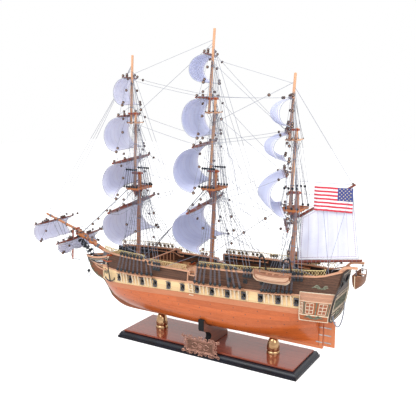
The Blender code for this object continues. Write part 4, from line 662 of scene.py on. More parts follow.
def make_cradle():
    """The crosswise board under the hull: shaped brown sides, a black felted bed and edges."""
    x, thick, clear = 0.0025, 0.015, 0.0006
    foot, reach, waist = 0.050, 0.074, 0.037
    low = BASE_TOP + GAP
    notch = KEEL_THICKNESS / 2 + clear
    seat = []
    for t in np.linspace(0, 1, 22):
        z = rabbet(x) + (KEEL_Z + 0.039 - rabbet(x)) * t**2
        y = max(section(place, z) for place in (x - thick / 2, x, x + thick / 2))
        seat.append((y + clear, z - clear))
    tip = seat[-1][1]
    rise = tip - low
    curve = [(foot, 0.10), (foot * 0.96, 0.15), (foot * 0.88, 0.18), (waist, 0.27), (waist * 1.04, 0.37),
             (waist * 1.2, 0.45), (reach * 0.78, 0.54), (reach * 0.93, 0.59), (reach, 0.66)]
    side = [(foot, low)] + curve_points([(y, low + rise * up) for y, up in curve], 40) + [(reach, tip)]
    bed = [point for point in reversed(seat) if notch < point[0] < reach - 0.001]
    side += bed + [(notch, seat[0][1]), (notch, KEEL_Z - GAP)]
    outline = side + [(-y, z) for y, z in reversed(side)]
    axes = ((0, 1, 0), (0, 0, 1), (1, 0, 0))
    piece("cradle_edge", [board(outline, thick, (x, 0, 0), axes)], BED_FELT, bevel=0.0005,
          stands_for=("hull_cradle",))
    inner = [(y * 0.975, low + 0.0012 + (z - low) * 0.955) for y, z in outline]
    faces = [board(inner, 0.0012, (x + end * (thick / 2 + 0.0003), 0, 0), axes) for end in (-1, 1)]
    piece("cradle_cheeks", faces, CRADLE_WOOD, bevel=0.0003)


# Hull


def hull_places():
    bow = [BOW_X + (MIDSHIP_X - BOW_X) * s for s in np.linspace(0.0435**0.5, 1, 46) ** 2]
    post = POST_AFT_X - POST_WIDTH
    return bow + [MIDSHIP_X + (post - MIDSHIP_X) * s for s in np.linspace(0, 1, 40)[1:]]


def at_stern(x, y, z, last):
    return Vector((transom_front(z) - GAP, y, z) if last else (x, y, z))


def hull_ring(x, counter=False, last=False):
    """One section of the planked bottom with its plank count down from the band, port side first."""
    low, knee, top = rabbet(x), knuckle(x), strake_foot(x)
    side = []
    for t in np.linspace(0, 1, 15):
        if counter:
            z = knee + COUNTER_RISE * max((x - POST_AFT_X) / (TRANSOM_X - POST_AFT_X), 0.0)
            side.append((KEEL_THICKNESS / 2 * (1 - t) + section(x, z) * t, z))
        else:
            z = low + (knee - low) * t**1.5
            side.append((section(x, z), z))
    start = side[-1][1]
    side += [(section(x, z), z) for z in np.linspace(start, top, 9)[1:]]
    girth = np.concatenate([[0], np.cumsum(np.hypot(*np.diff(np.array(side), axis=0).T))])
    lay = [0.0125 * 10 * (1 - g / girth[-1]) for g in girth]
    points = [at_stern(x, -y, z, last) for y, z in reversed(side)] + [at_stern(x, y, z, last) for y, z in side]
    return points, [(x, v) for v in reversed(lay)] + [(x, v) for v in lay]


def make_hull():
    rings = [hull_ring(x) for x in hull_places()]
    post = POST_AFT_X - POST_WIDTH
    for x in (post + GAP, POST_AFT_X, COUNTER_TURN_X, (COUNTER_TURN_X + TRANSOM_X) / 2):
        rings.append(hull_ring(x, counter=True))
    rings.append(hull_ring(TRANSOM_X, counter=True, last=True))
    marks = [mark for _, uv in rings for mark in uv]
    shape = skin([points for points, _ in rings], wrap=True, caps=True, uv=marks)
    piece("hull_planking", [shape], HULL_PLANKS, smooth=40, stands_for=("hull_bottom",))

    # the thicker wale strake under the band
    wale = []
    places = [x for x in hull_places() if x > -0.341] + [POST_AFT_X, COUNTER_TURN_X, TRANSOM_X - 0.001]
    for side in (PORT, STARBOARD):
        rows = []
        for x in places:
            z1 = strake_foot(x) - 0.0001
            z0 = max(z1 - 0.0128, knuckle(x) + 0.002)
            out = [(section(x, z) + 0.0007, z) for z in np.linspace(z0, z1, 4)]
            back = [(section(x, z1) - 0.001, z1), (section(x, z0) - 0.001, z0)]
            rows.append([Vector((x, side * y, z)) for y, z in out + back])
        wale.append(skin(rows, wrap=True, caps=True))
    piece("wale_strake", wale, WALE_WOOD, smooth=40)


def make_keel():
    post = POST_AFT_X - POST_WIDTH
    inner = [(x, rabbet(x) - GAP) for x in hull_places()]
    inner[-1] = (post + 2 * GAP, inner[-1][1])
    face, first = BOW_X - GAP, hull_places()[0] - GAP
    heel = knuckle(post) - GAP
    outline = [(POST_AFT_X, KEEL_Z), (POST_AFT_X, heel), (post + 2 * GAP, heel)] + inner[::-1]
    outline += [(first, rabbet(first + GAP) - GAP), (first, strake_foot(first) - GAP)]
    outline += [(face, strake_foot(face) - GAP), (face, KEEL_Z + KNEE_ROOT)]
    knee = [(BOW_X - ahead, KEEL_Z + height) for ahead, height in KNEE_OUTLINE]
    outline += knee[:2] + curve_points(knee[2:], 44)
    axes = ((1, 0, 0), (0, 0, 1), (0, -1, 0))
    piece("keel_stem_and_post", [board(outline, KEEL_THICKNESS, (0, 0, 0), axes)], KEEL_WOOD,
          bevel=0.0008, stands_for=("keel_and_stem",))
    # the ivory fillet that covers the rabbet at the forefoot
    line = [x for x in hull_places() if -0.3405 < x < -0.19]
    fillets = []
    for side in (PORT, STARBOARD):
        path = [(x, side * (section(x, rabbet(x) + 0.0005) + 0.0002), rabbet(x) + 0.0005) for x in line]
        fillets.append(tube(path, [0.0011 * min(1, (-0.18 - x) / 0.05) for x in line], 6))
    piece("rabbet_fillets", fillets, WHITE_TRIM)


def make_gun_strake():
    """The cream band with a recess for each gun, both sides closed over the bow and to the transom."""
    half = PORT_SIZE / 2
    ports = [PORT_FORE_X + PORT_PITCH * n for n in range(PORT_COUNT)]
    places = sorted({round(x, 6) for x in [STEM_FACE_X, BOW_TURN_X, *hull_places(), COUNTER_TURN_X]
                     if all(abs(x - p) > half + 0.001 for p in ports)} | {round(p + s * half, 6) for p in ports for s in (-1, 1)})
    shapes, backs = [], []
    for side in (PORT, STARBOARD):
        rows = []
        for x in [*places, TRANSOM_X]:
            last = x == TRANSOM_X
            y = max(half_beam(x), KEEL_THICKNESS / 2)
            foot, head = strake_foot(x) + GAP, strake_head(x)
            middle = (strake_foot(x) + strake_head(x)) / 2
            rows.append([at_stern(x, side * y, z, last) for z in (foot, middle - half, middle + half, head)])
        points, faces, _ = skin(rows)
        for p in ports:
            row = places.index(round(p - half, 6))
            faces.remove((row * 4 + 1, row * 4 + 2, row * 4 + 6, row * 4 + 5))
            mouth = [row * 4 + 1, row * 4 + 5, row * 4 + 6, row * 4 + 2]
            deep = []
            for i in mouth:
                deep.append(len(points))
                points.append(Vector((points[i].x, points[i].y - side * PORT_DEPTH, points[i].z)))
            for i in range(4):
                faces.append((mouth[i], mouth[(i + 1) % 4], deep[(i + 1) % 4], deep[i]))
            faces.append(tuple(deep))
            # a black board over each recess's back, as painted shade
            backs.append(board([(-half, -half), (half, -half), (half, half), (-half, half)], 0.0006,
                               (p, side * (half_beam(p) - PORT_DEPTH + 0.0006), (strake_foot(p) + strake_head(p)) / 2),
                               ((1, 0, 0), (0, 0, 1), (0, 1, 0))))
        shapes.append((points, faces, None))
    piece("gun_band", shapes, CREAM_BAND, smooth=40, stands_for=("gun_strake",))
    piece("gunport_backs", backs, PORT_PAINTED_SHADE)


def bulwark_places():
    """Places along the bulwark with its top edge's height, twice where it steps."""
    steps = (RAIL_START_X, WAIST_FORE_X, GANGWAY_X - GANGWAY_WIDTH / 2, GANGWAY_X + GANGWAY_WIDTH / 2)
    level = [STEM_FACE_X, BOW_TURN_X, COUNTER_TURN_X, TRANSOM_X]
    level += [x for x in hull_places() if all(abs(x - mark) > 0.002 for mark in steps)]
    places = [(x, rail_foot(x)) for x in level]
    for x in steps:
        places += [(x - GAP, rail_foot(x - GAP)), (x + GAP, rail_foot(x + GAP))]
    return sorted(places)


def make_bulwark():
    outer, lining = [], []
    for side in (PORT, STARBOARD):
        rows, dark = [], []
        for x, top in bulwark_places():
            last = x == TRANSOM_X
            foot = strake_head(x) + GAP
            slope = (half_beam(x + 1e-4) - half_beam(x - 1e-4)) / 2e-4 if x > BOW_X + 0.002 else 6.0
            inset = min(BULWARK_THICKNESS * math.hypot(1, slope), half_beam(x) * 0.8)
            low, high = max(half_beam(x), 0.004), max(rail_half(x), 0.004)
            shift = BULWARK_THICKNESS if x < BOW_X + 0.002 else 0.0
            rows.append([at_stern(x, side * low, foot, last), at_stern(x, side * high, top, last),
                         at_stern(x + shift, side * (high - inset), top, last),
                         at_stern(x + shift, side * (low - inset), foot, last)])
            if x > RAIL_START_X:
                near, far = inset + 0.0003, inset - 0.0008
                dark.append([at_stern(x, side * (low - far), deck_top(x) + GAP, last), at_stern(x, side * (high - far), top - 0.0005, last),
                             at_stern(x, side * (high - near), top - 0.0005, last),
                             at_stern(x, side * (low - near), deck_top(x) + GAP, last)])
        outer.append(skin(rows, wrap=True, caps=True))
        lining.append(skin(dark, wrap=True, caps=True))
    piece("bulwark_planking", outer, TOPSIDE_WOOD, stands_for=("bulwark",))
    piece("bulwark_lining", lining, BLACK_PAINT)
    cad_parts["spar_deck"].data.materials[0] = DECK_WOOD


def rail_route():
    """The cap rail's middle line along the starboard side, from the bow to the taffrail."""
    lift = RAIL_RADIUS + GAP
    marks = ((WAIST_FORE_X, lift), (GANGWAY_X - GANGWAY_WIDTH / 2, lift), (GANGWAY_X + GANGWAY_WIDTH / 2, -lift))
    route = []
    for x, top in bulwark_places():
        if x < RAIL_START_X or x == TRANSOM_X:
            continue
        shift = sum(mark + way - x for mark, way in marks if abs(x - mark) < 2 * GAP)
        route.append(Vector((x + shift, rail_half(x) - BULWARK_THICKNESS / 2, top + lift)))
    stern_z = rail_foot(TRANSOM_X) + RAIL_RADIUS + GAP
    stern_x = transom_front(stern_z) - RAIL_RADIUS - 3 * GAP
    return route + [Vector((stern_x, rail_half(TRANSOM_X) - BULWARK_THICKNESS, stern_z + 0.001))]


def strip_along(places, height, out, width, rise, side):
    """A moulded strip along the ship's side: its middle at a height, standing out from the side."""
    path = [(x, side * (topside(x, height(x)) + out), height(x)) for x in places]
    w, h = width / 2, rise / 2
    profile = [(-w, -h), (w * 0.7, -h), (w, -h * 0.6), (w, h * 0.6), (w * 0.7, h), (-w, h)]
    return moulding(path, profile if side == STARBOARD else [(-a, b) for a, b in profile])


def make_rails():
    starboard = rail_route()
    port = [Vector((p.x, -p.y, p.z)) for p in starboard]
    w, h = 0.0036, 0.0016
    profile = [(-w, -h), (w, -h), (w * 1.08, 0), (w, h * 0.8), (w * 0.7, h), (-w * 0.7, h), (-w, h * 0.8), (-w * 1.08, 0)]
    rail = moulding(port + starboard[::-1], profile)
    piece("cap_rails", [rail], RAIL_WOOD, smooth=50, stands_for=("cap_rail",))
    places = [x for x in hull_places() if x > -0.345] + [POST_AFT_X, COUNTER_TURN_X]
    strips, beads = [], []
    for side in (PORT, STARBOARD):
        strips.append(strip_along(places, lambda x: strake_head(x) + 0.0008, 0.0008, 0.0030, 0.0034, side))
        waist = [x for x in places if x > -0.330]
        beads.append(strip_along(waist, lambda x: KEEL_Z + 0.1515 + 0.033 * x, 0.0002, 0.0014, 0.0014, side))
    piece("sheer_rails", strips, RAIL_WOOD, smooth=50)
    piece("waist_beads", beads, TOPSIDE_WOOD, smooth=50)


# Stern: transom, galleries, rudder irons


TRANSOM_LEAN = math.hypot(1, TRANSOM_RAKE)
TRANSOM_UP = Vector((TRANSOM_RAKE, 0, 1)) / TRANSOM_LEAN
TRANSOM_OUT = Vector((1, 0, -TRANSOM_RAKE)) / TRANSOM_LEAN


def on_transom(y, rise, out=0.0):
    """A point on the transom's aft face: across, up along the face, and out from it."""
    foot = Vector((TRANSOM_X, 0, KEEL_Z + TRANSOM_FOOT)) + TRANSOM_OUT * (TRANSOM_THICKNESS + out)
    return foot + Vector((0, y, 0)) + TRANSOM_UP * rise


def transom_outline(inset=0.0):
    reach = half_beam(TRANSOM_X) + GALLERY_BULGE + 0.0015
    head, rise = rail_half(TRANSOM_X), TRANSOM_HEAD - TRANSOM_FOOT
    half = [(reach * 0.62, -0.002), (reach * 0.93, rise * 0.07), (reach, rise * 0.22), (reach, rise * 0.42),
            (reach * 0.90, rise * 0.58), (head * 1.10, rise * 0.74), (head, rise * 0.88), (head * 0.96, rise)]
    half = [(y, z * TRANSOM_LEAN) for y, z in curve_points(half, 26)]
    middle = rise * TRANSOM_LEAN / 2
    half = [(y - inset, middle + (z - middle) * (1 - inset / middle)) for y, z in half]
    return half + [(-y, z) for y, z in reversed(half)]


def make_transom():
    axes = ((0, 1, 0), TRANSOM_UP, TRANSOM_OUT)
    face = on_transom(0, 0, -TRANSOM_THICKNESS / 2)
    piece("transom_board", [board(transom_outline(), TRANSOM_THICKNESS, face, axes)], TRANSOM_WOOD,
          bevel=0.0004, stands_for=("transom",))
    edge = [on_transom(y, z, 0.0003) for y, z in transom_outline(0.0012)]
    trim = [on_transom(y, z, 0.0003) for y, z in transom_outline(0.0036)]
    piece("transom_black_edge", [tube(edge + edge[:1], 0.0013, 8)], BLACK_PAINT)
    piece("transom_ivory_line", [tube(trim + trim[:1], 0.0008, 6)], WHITE_TRIM)
    # below, a row of panes and bronze bars in two ivory frames; above, a black carving of leaves about a rosette
    lines, panes, bronze, carving = [], [], [], []
    for reach, low, high in ((0.0465, 0.026, 0.060), (0.0425, 0.0295, 0.0565)):
        corners = [(-reach, low), (reach, low), (reach, high), (-reach, high)]
        lines += [(p, q) for p, q in zip(corners, corners[1:] + corners[:1])]
    lines += [((-0.044, 0.066), (0.044, 0.066)), ((-0.042, 0.019), (0.042, 0.019))]
    for n in range(6):
        y = (n - 2.5) * 0.0130
        corners = [(y - 0.0046, 0.034), (y + 0.0046, 0.034), (y + 0.0046, 0.052), (y - 0.0046, 0.052)]
        panes.append(skin([[on_transom(*c, out) for c in corners] for out in (-0.0005, 0.0005)], wrap=True, caps=True))
        bronze += [bar(on_transom(y, 0.034, 0.0006), on_transom(y, 0.052, 0.0006), 0.0007, 0.0010, TRANSOM_OUT),
                   bar(on_transom(y - 0.0046, 0.043, 0.0006), on_transom(y + 0.0046, 0.043, 0.0006), 0.0007, 0.0010, TRANSOM_OUT)]
    for n in range(7):
        y = (n - 3) * 0.0130
        bronze.append(bar(on_transom(y, 0.032, 0.0005), on_transom(y, 0.054, 0.0005), 0.0024, 0.0014, TRANSOM_OUT))
    for made, middle, size in ((carving, 0.088, 1.0), (bronze, 0.0125, 0.55)):
        made.append(turned([(0.0, 0.0), (0.0050 * size, 0.0), (0.0044 * size, 0.0008), (0.0020 * size, 0.0014), (0.0, 0.0015)],
                           on_transom(0, middle), TRANSOM_OUT, 14))
        for way in (-1, 1):
            for reach, lift in ((0.030, 0.012), (0.027, 0.002), (0.022, -0.009), (0.013, 0.015)):
                leaf = [(way * size * (0.004 + reach * t), middle + size * (lift * t + 0.004 * math.sin(math.pi * t))) for t in np.linspace(0, 1, 12)]
                made.append(tube([on_transom(*p, 0.0004) for p in leaf], [0.0005 + 0.0016 * size * math.sin(math.pi * t) for t in np.linspace(0.1, 1, 12)], 6))
    piece("transom_ivory_frames", [tube([on_transom(*p, 0.0003), on_transom(*q, 0.0003)], 0.0006, 6) for p, q in lines], WHITE_TRIM)
    piece("stern_window_panes", panes, PANE_BLACK)
    piece("transom_bronze_bars", bronze, BRONZE_GREEN)
    piece("transom_black_carving", carving, BLACK_PAINT)


GALLERY_PROFILE = ((0.0, 0.0), (0.30, 0.05), (0.62, 0.12), (0.88, 0.19), (1.0, 0.25), (1.0, 0.30), (0.95, 0.50),
                   (0.89, 0.70), (0.96, 0.735), (0.80, 0.78), (0.70, 0.80), (0.50, 0.87), (0.42, 0.89), (0.0, 1.0))


def gallery_point(side, along, up, off=0.0):
    """A point on a gallery's side: along it from its fore end to the transom, and up it."""
    z = KEEL_Z + GALLERY_FOOT + (GALLERY_HEAD - GALLERY_FOOT) * up
    aft = transom_front(z) - GAP
    x = GALLERY_FORE_X + (aft - GALLERY_FORE_X) * along
    out = np.interp(up, [p[1] for p in GALLERY_PROFILE], [p[0] for p in GALLERY_PROFILE])
    swell = np.interp(along, (0.0, 0.05, 0.13, 0.35, 1.0), (0.35, 0.70, 0.90, 1.0, 1.0))
    return Vector((x, side * (half_beam(x) + 0.0006 + GALLERY_BULGE * swell * out + off), z))


def make_galleries():
    for side, name in ((PORT, "port"), (STARBOARD, "stbd")):
        def on(along, up, off=0.0, side=side):
            return gallery_point(side, along, up, off)

        rows = []
        for along in (0.0, 0.05, 0.13, 0.22, 0.35, 0.5, 0.65, 0.8, 0.9, 1.0):
            rows.append([on(along, up) for _, up in GALLERY_PROFILE])
        piece(f"gallery_{name}", [skin(rows, wrap=True, caps=True)], GALLERY_WOOD, smooth=50,
              stands_for=(f"quarter_gallery_{name}",))
        run = np.linspace(0.0, 1.0, 14)
        # the roof's stepped boards, each lapping the one below
        boards = []
        for low, high in ((0.735, 0.80), (0.79, 0.855), (0.845, 0.91), (0.90, 0.96), (0.95, 1.0)):
            laps = [[on(a, low, 0.0016), on(a, high, 0.0006), on(a, high, -0.0010), on(a, low, -0.0004)] for a in run]
            boards.append(skin(laps, wrap=True, caps=True))
        piece(f"gallery_roof_{name}", boards, ROOF_WOOD)
        strips = []
        for up, size in ((0.035, 0.0010), (0.26, 0.0013), (0.725, 0.0012), (0.998, 0.0010)):
            strips.append(tube([on(a, up, 0.0005) for a in run], size, 8))
        for along in (0.004, 0.995):
            strips.append(tube([on(along, up, 0.0003) for up in np.linspace(0.03, 1.0, 20)], 0.0011, 8))
        piece(f"gallery_mouldings_{name}", strips, WHITE_TRIM)
        frames, panes, posts, scrolls = [], [], [], []
        for a0, a1 in ((0.035, 0.135), (0.235, 0.475), (0.645, 0.885)):
            corners = [(a0, 0.32), (a1, 0.32), (a1, 0.67), (a0, 0.67)]
            panes.append(skin([[on(*c, off) for c in corners] for off in (-0.0006, 0.0004)], wrap=True, caps=True))
            ends = corners + corners[:1]
            lines = list(zip(ends, ends[1:])) + [(((a0 + a1) / 2, 0.32), ((a0 + a1) / 2, 0.67))]
            lines += [((a0, up), (a1, up)) for up in (0.437, 0.553)]
            frames += [bar(on(*a, 0.0006), on(*b, 0.0006), 0.0010, 0.0014, (0, side, 0)) for a, b in lines]
        for along in (0.185, 0.56, 0.94):
            posts.append(bar(on(along, 0.29, 0.0005), on(along, 0.70, 0.0005), 0.0026, 0.0018, (0, side, 0)))
            for up in (0.31, 0.68):
                posts.append(block(on(along, up, 0.0008), (0.0038, 0.0022, 0.0022)))
        # carved leaves: a pair on the lower finish, and a pair over the roof
        for middle, up, size, place in ((0.52, 0.145, 1.0, on), (0.60, 1.14, 0.85, on)):
            for way in (-1, 1):
                for n, (reach, lift) in enumerate(((0.30, 0.05), (0.24, 0.10), (0.15, -0.02))):
                    leaf = [(middle + way * (0.03 + reach * size * t), up + lift * size * math.sin(math.pi * t) + 0.02 * n * t) for t in np.linspace(0, 1, 12)]
                    if up > 1:
                        path = [hull_side(place(a, 0.9).x, KEEL_Z + GALLERY_FOOT + (GALLERY_HEAD - GALLERY_FOOT) * u, side, 0.0004) for a, u in leaf]
                    else:
                        path = [place(a, u, 0.0006) for a, u in leaf]
                    scrolls.append(tube(path, [0.0005 + 0.0012 * math.sin(math.pi * t) for t in np.linspace(0.15, 1, 12)], 6))
            centre = hull_side(place(middle, 0.9).x, KEEL_Z + GALLERY_FOOT + (GALLERY_HEAD - GALLERY_FOOT) * up, side, 0.0002) if up > 1 else on(middle, up, 0.0)
            scrolls.append(turned([(0.0, 0.0), (0.0022, 0.0004), (0.0018, 0.0014), (0.0, 0.0020)], centre, (0, side, 0), 12))
        piece(f"gallery_window_frames_{name}", frames, WHITE_TRIM)
        piece(f"gallery_window_panes_{name}", panes, PANE_GLASS)
        piece(f"gallery_pilasters_{name}", posts, BRONZE_GREEN, bevel=0.0003)
        piece(f"gallery_leaves_{name}", scrolls, BRONZE_GREEN)


def make_rudder_irons():
    """Straps that hold the rudder: forked plates on its blade, and on the sternpost ahead of it."""
    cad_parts["rudder"].data.materials[0] = RUDDER_WOOD
    axis = POST_AFT_X + GAP + RUDDER_THICKNESS / 2
    for body, name, near, far, half in (("rudder", "rudder_straps", axis, axis + 0.017, RUDDER_THICKNESS / 2),
                                        ("ship", "sternpost_straps", POST_AFT_X - 0.016, POST_AFT_X, KEEL_THICKNESS / 2)):
        straps = []
        for z in (KEEL_Z + 0.016, KEEL_Z + 0.034, KEEL_Z + 0.052):
            for side in (PORT, STARBOARD):
                centre = ((near + far) / 2, side * (half + 0.0002), z)
                straps.append(block(centre, (far - near, 0.0008, 0.0026)))
                for x in np.linspace(near + 0.003, far - 0.003, 3):
                    straps.append(turned([(0.0, 0.0), (0.0007, 0.0), (0.0005, 0.0004), (0.0, 0.0005)],
                                         (x, side * (half + 0.0006), z), (0, side, 0), 8))
        piece(name, straps, STEEL_STRAP, body=body)


# Boats


def boat_shapes(length, beam, depth, thwarts):
    """An open boat along X with its rail at z = 0: shell, trim and seats."""
    places = (-0.5, -0.44, -0.28, 0.0, 0.26, 0.42, 0.5)
    fullness = (0.06, 0.42, 0.86, 1.0, 0.94, 0.72, 0.52)
    line = curve_points(list(zip(places, fullness)), 30)
    shell, rims, keel = [], {PORT: [], STARBOARD: []}, []
    for at, full in line:
        sheer = depth * 0.22 * (2 * at) ** 2
        low = -depth + depth * (0.08 * abs(2 * at) + 0.36 * clamp((abs(at) - 0.38) / 0.12) ** 1.6)
        ring_points = []
        for thick in (0.0, 0.0011):
            side = []
            for turn in np.linspace(-math.pi / 2, math.pi / 2, 19):
                reach = max(full * beam / 2 - thick, 0.0004)
                side.append(Vector((at * length, reach * math.sin(turn),
                                    sheer - (sheer - low - thick) * math.cos(turn) ** 0.7)))
            ring_points += side if not thick else side[::-1]
        shell.append(ring_points)
        for way in (PORT, STARBOARD):
            rims[way].append(Vector((at * length, way * (full * beam / 2 - 0.0004), sheer + 0.0005)))
        keel.append(Vector((at * length, 0, low - 0.0003)))
    trim = [moulding(keel, [(-0.0007, -0.0008), (0.0007, -0.0008), (0.0007, 0.0006), (-0.0007, 0.0006)])]
    strake = [[Vector((p[0].x, way * (abs(p[0].y) + 0.0006), p[0].z)), Vector((p[4].x, way * (abs(p[4].y) + 0.0006), p[4].z)),
               Vector((p[4].x, way * (abs(p[4].y) - 0.0006), p[4].z)), Vector((p[0].x, way * (abs(p[0].y) - 0.0006), p[0].z))]
              for way in (PORT,) for p in shell]
    strakes = both([skin(strake, wrap=True, caps=True)])
    strakes.append(tube(rims[PORT] + rims[STARBOARD][::-1] + rims[PORT][:1], 0.0010, 6))
    stem = [keel[0], Vector((-length * 0.503, 0, -depth * 0.2)), Vector((-length * 0.503, 0, depth * 0.27))]
    trim.append(tube(stem, 0.0009, 6))
    seats = []
    for n in range(thwarts):
        x = length * 0.52 * ((n + 0.5) / thwarts - 0.5)
        seats.append(block((x, 0, -depth * 0.22), (length * 0.05, beam * 0.955, depth * 0.07)))
    seats.append(block((length * 0.40, 0, -depth * 0.18), (length * 0.10, beam * 0.70, depth * 0.07)))
    ribs = []
    for n in range(-4, 5):
        x = length * 0.09 * n
        full = np.interp(x / length, [p[0] for p in line], [p[1] for p in line])
        turns = np.linspace(-1.35, 1.35, 15)
        ribs.append(tube([(x, (full * beam / 2 - 0.0014) * math.sin(a), -(depth - 0.0018) * math.cos(a) ** 0.7 * 0.97)
                          for a in turns], 0.0005, 5))
    return [skin(shell, wrap=True, caps=True)], trim, seats + ribs, strakes


def boat_falls(depth, span, fall, length):
    """The two tackles that a boat hangs by: three parts of rope and two blocks each."""
    lines, blocks = [], []
    for at in (-span / 2, span / 2):
        inside = -depth * (1 - 0.08 * abs(2 * at / length)) + 0.001
        lines.append(tube([(at, 0, inside), (at, 0, fall * 0.30)], 0.0006, 6))
        for spread in (-0.0009, 0.0, 0.0009):
            lines.append(tube([(at + spread, 0, fall * 0.30), (at + spread, 0, fall - 0.0015)], 0.0004, 5))
        for z in (fall * 0.28, fall - 0.003):
            blocks.append((Vector((at, 0, z)), Vector((1, 0, 0))))
    return lines, blocks


def placed(shapes, matrix):
    return [([matrix @ Vector(p) for p in points], faces, uv) for points, faces, uv in shapes]


def pulley(centre, axis, size=0.0030):
    """A rigging block: an egg-shaped wooden shell, and the pale sheave pin through it."""
    axis = Vector(axis).normalized()
    profile = [(0.0, -0.62), (0.62, -0.58), (0.92, -0.32), (1.0, 0.0), (0.92, 0.32), (0.62, 0.58), (0.0, 0.62)]
    shell = turned([(r * size, h * size) for r, h in profile], centre, axis, 10)
    pin = turned([(0.0, -0.70 * size), (0.42 * size, -0.66 * size), (0.42 * size, 0.66 * size), (0.0, 0.70 * size)],
                 centre, axis, 8)
    return shell, pin


def make_boat(name, length, beam, depth, thwarts, span, fall, place, hull_finish, body, stands_for=()):
    shell, trim, seats, strakes = boat_shapes(length, beam, depth, thwarts)
    lines, blocks = boat_falls(depth, span, fall, length)
    tackles = [pulley(centre, axis, 0.0022) for centre, axis in blocks]
    piece(f"{name}_shell", placed(shell, place), hull_finish, body, smooth=50, stands_for=stands_for)
    piece(f"{name}_trim", placed(trim, place), WHITE_TRIM, body)
    piece(f"{name}_sheer_strakes", placed(strakes, place), BOAT_BROWN if hull_finish is BOAT_BROWN else BOAT_PINK, body)
    piece(f"{name}_seats", placed(seats, place), RAIL_WOOD, body, bevel=0.0003)
    piece(f"{name}_falls", placed(lines, place), ROPE_GRAY, body)
    piece(f"{name}_fall_blocks", placed([shell for shell, _ in tackles], place), BLOCK_WOOD, body)


def make_boats():
    x, length, beam, depth = QUARTER_BOAT
    reach = rail_half(x) + QUARTER_REACH
    level = KEEL_Z + QUARTER_HEIGHT - DAVIT_RADIUS - GAP - QUARTER_FALL
    for side, name, body, stands_for in ((PORT, "quarter_boat_port", "quarter_boat", ("quarter_boat",)),
                                         (STARBOARD, "quarter_boat_stbd", "ship", ())):
        place = Matrix.Translation((x, side * reach, level))
        make_boat(name, length, beam, depth, 3, QUARTER_SPAN, QUARTER_FALL, place, BOAT_CREAM, body, stands_for)
    length, beam, depth = STERN_BOAT
    level = KEEL_Z + STERN_HEIGHT - STERN_ARM_RADIUS - GAP - STERN_FALL
    place = Matrix.Translation((STERN_DAVIT_X, 0, level)) @ Matrix.Rotation(math.pi / 2, 4, "Z")
    make_boat("stern_boat", length, beam, depth, 2, 2 * STERN_DAVIT_Y, STERN_FALL, place, BOAT_BROWN,
              "stern_boat", ("stern_boat",))
    # davits: curved iron arms at the quarters, straight wooden ones over the stern
    arms = []
    for at in (-QUARTER_SPAN / 2, QUARTER_SPAN / 2):
        place_x = x + at
        rail_y, rail_z = rail_half(place_x) - BULWARK_THICKNESS / 2, rail_foot(place_x) + RAIL_RADIUS + GAP
        head_z = KEEL_Z + QUARTER_HEIGHT
        bend = [(rail_y, rail_z - 0.001), (rail_y + 0.004, rail_z + 0.020), (rail_y + 0.014, head_z - 0.005),
                (reach - 0.010, head_z), (reach + 0.002, head_z)]
        path = [(place_x, -y, z) for y, z in curve_points(bend, 24)]
        arms.append(tube(path, [DAVIT_RADIUS * (1.05 - 0.25 * t) for t in np.linspace(0, 1, 24)], 10))
        arms.append(turned([(0.0, -0.0028), (0.0021, -0.0022), (0.0024, 0.0), (0.0021, 0.0022), (0.0, 0.0028)],
                           path[-1], (0, 1, 0), 12))
    piece("quarter_davits", both(arms), BLACK_PAINT, smooth=60)
    arms = []
    stern_z = rail_foot(TRANSOM_X) + RAIL_RADIUS + GAP
    stern_x = transom_front(stern_z) - RAIL_RADIUS - 3 * GAP
    for side in (PORT, STARBOARD):
        bend = [(stern_x - 0.004, stern_z + 0.001), (stern_x + 0.006, KEEL_Z + STERN_HEIGHT - 0.0035),
                (stern_x + 0.020, KEEL_Z + STERN_HEIGHT - 0.0005), (STERN_DAVIT_X + 0.003, KEEL_Z + STERN_HEIGHT)]
        path = [Vector((px, side * STERN_DAVIT_Y, pz)) for px, pz in curve_points(bend, 16)]
        thick = STERN_ARM_RADIUS
        arms.append(moulding(path, [(-thick * 1.1, -thick), (thick * 1.1, -thick), (thick * 1.1, thick), (-thick * 1.1, thick)]))
    piece("stern_davits", arms, RAIL_WOOD, bevel=0.0004)


# Masts, tops and yards


def mast_way(mast, step):
    return (mast_axis(mast, step, 1.0) - mast_axis(mast, step, 0.0)).normalized()


def top_outline(grow=0.0):
    """A mast top's plan: square behind, rounded in front."""
    l, w = TOP_LENGTH / 2 + grow, TOP_WIDTH / 2 + grow
    front = curve_points([(-l * 0.35, w), (-l * 0.80, w * 0.80), (-l, w * 0.45), (-l, 0.0)], 14)
    half = [(l, 0.0), (l, w)] + front
    return half + [(x, -y) for x, y in reversed(half[1:-1])]


def top_centre(mast):
    z = KEEL_Z + TOP_HEIGHT[mast]
    return mast_axis(mast, 0, z).lerp(mast_axis(mast, 1, z), TOP_PLACE)


def tree_centre(mast):
    z = KEEL_Z + CROSSTREE_HEIGHT[mast]
    return mast_axis(mast, 1, z).lerp(mast_axis(mast, 2, z), TREE_PLACE)


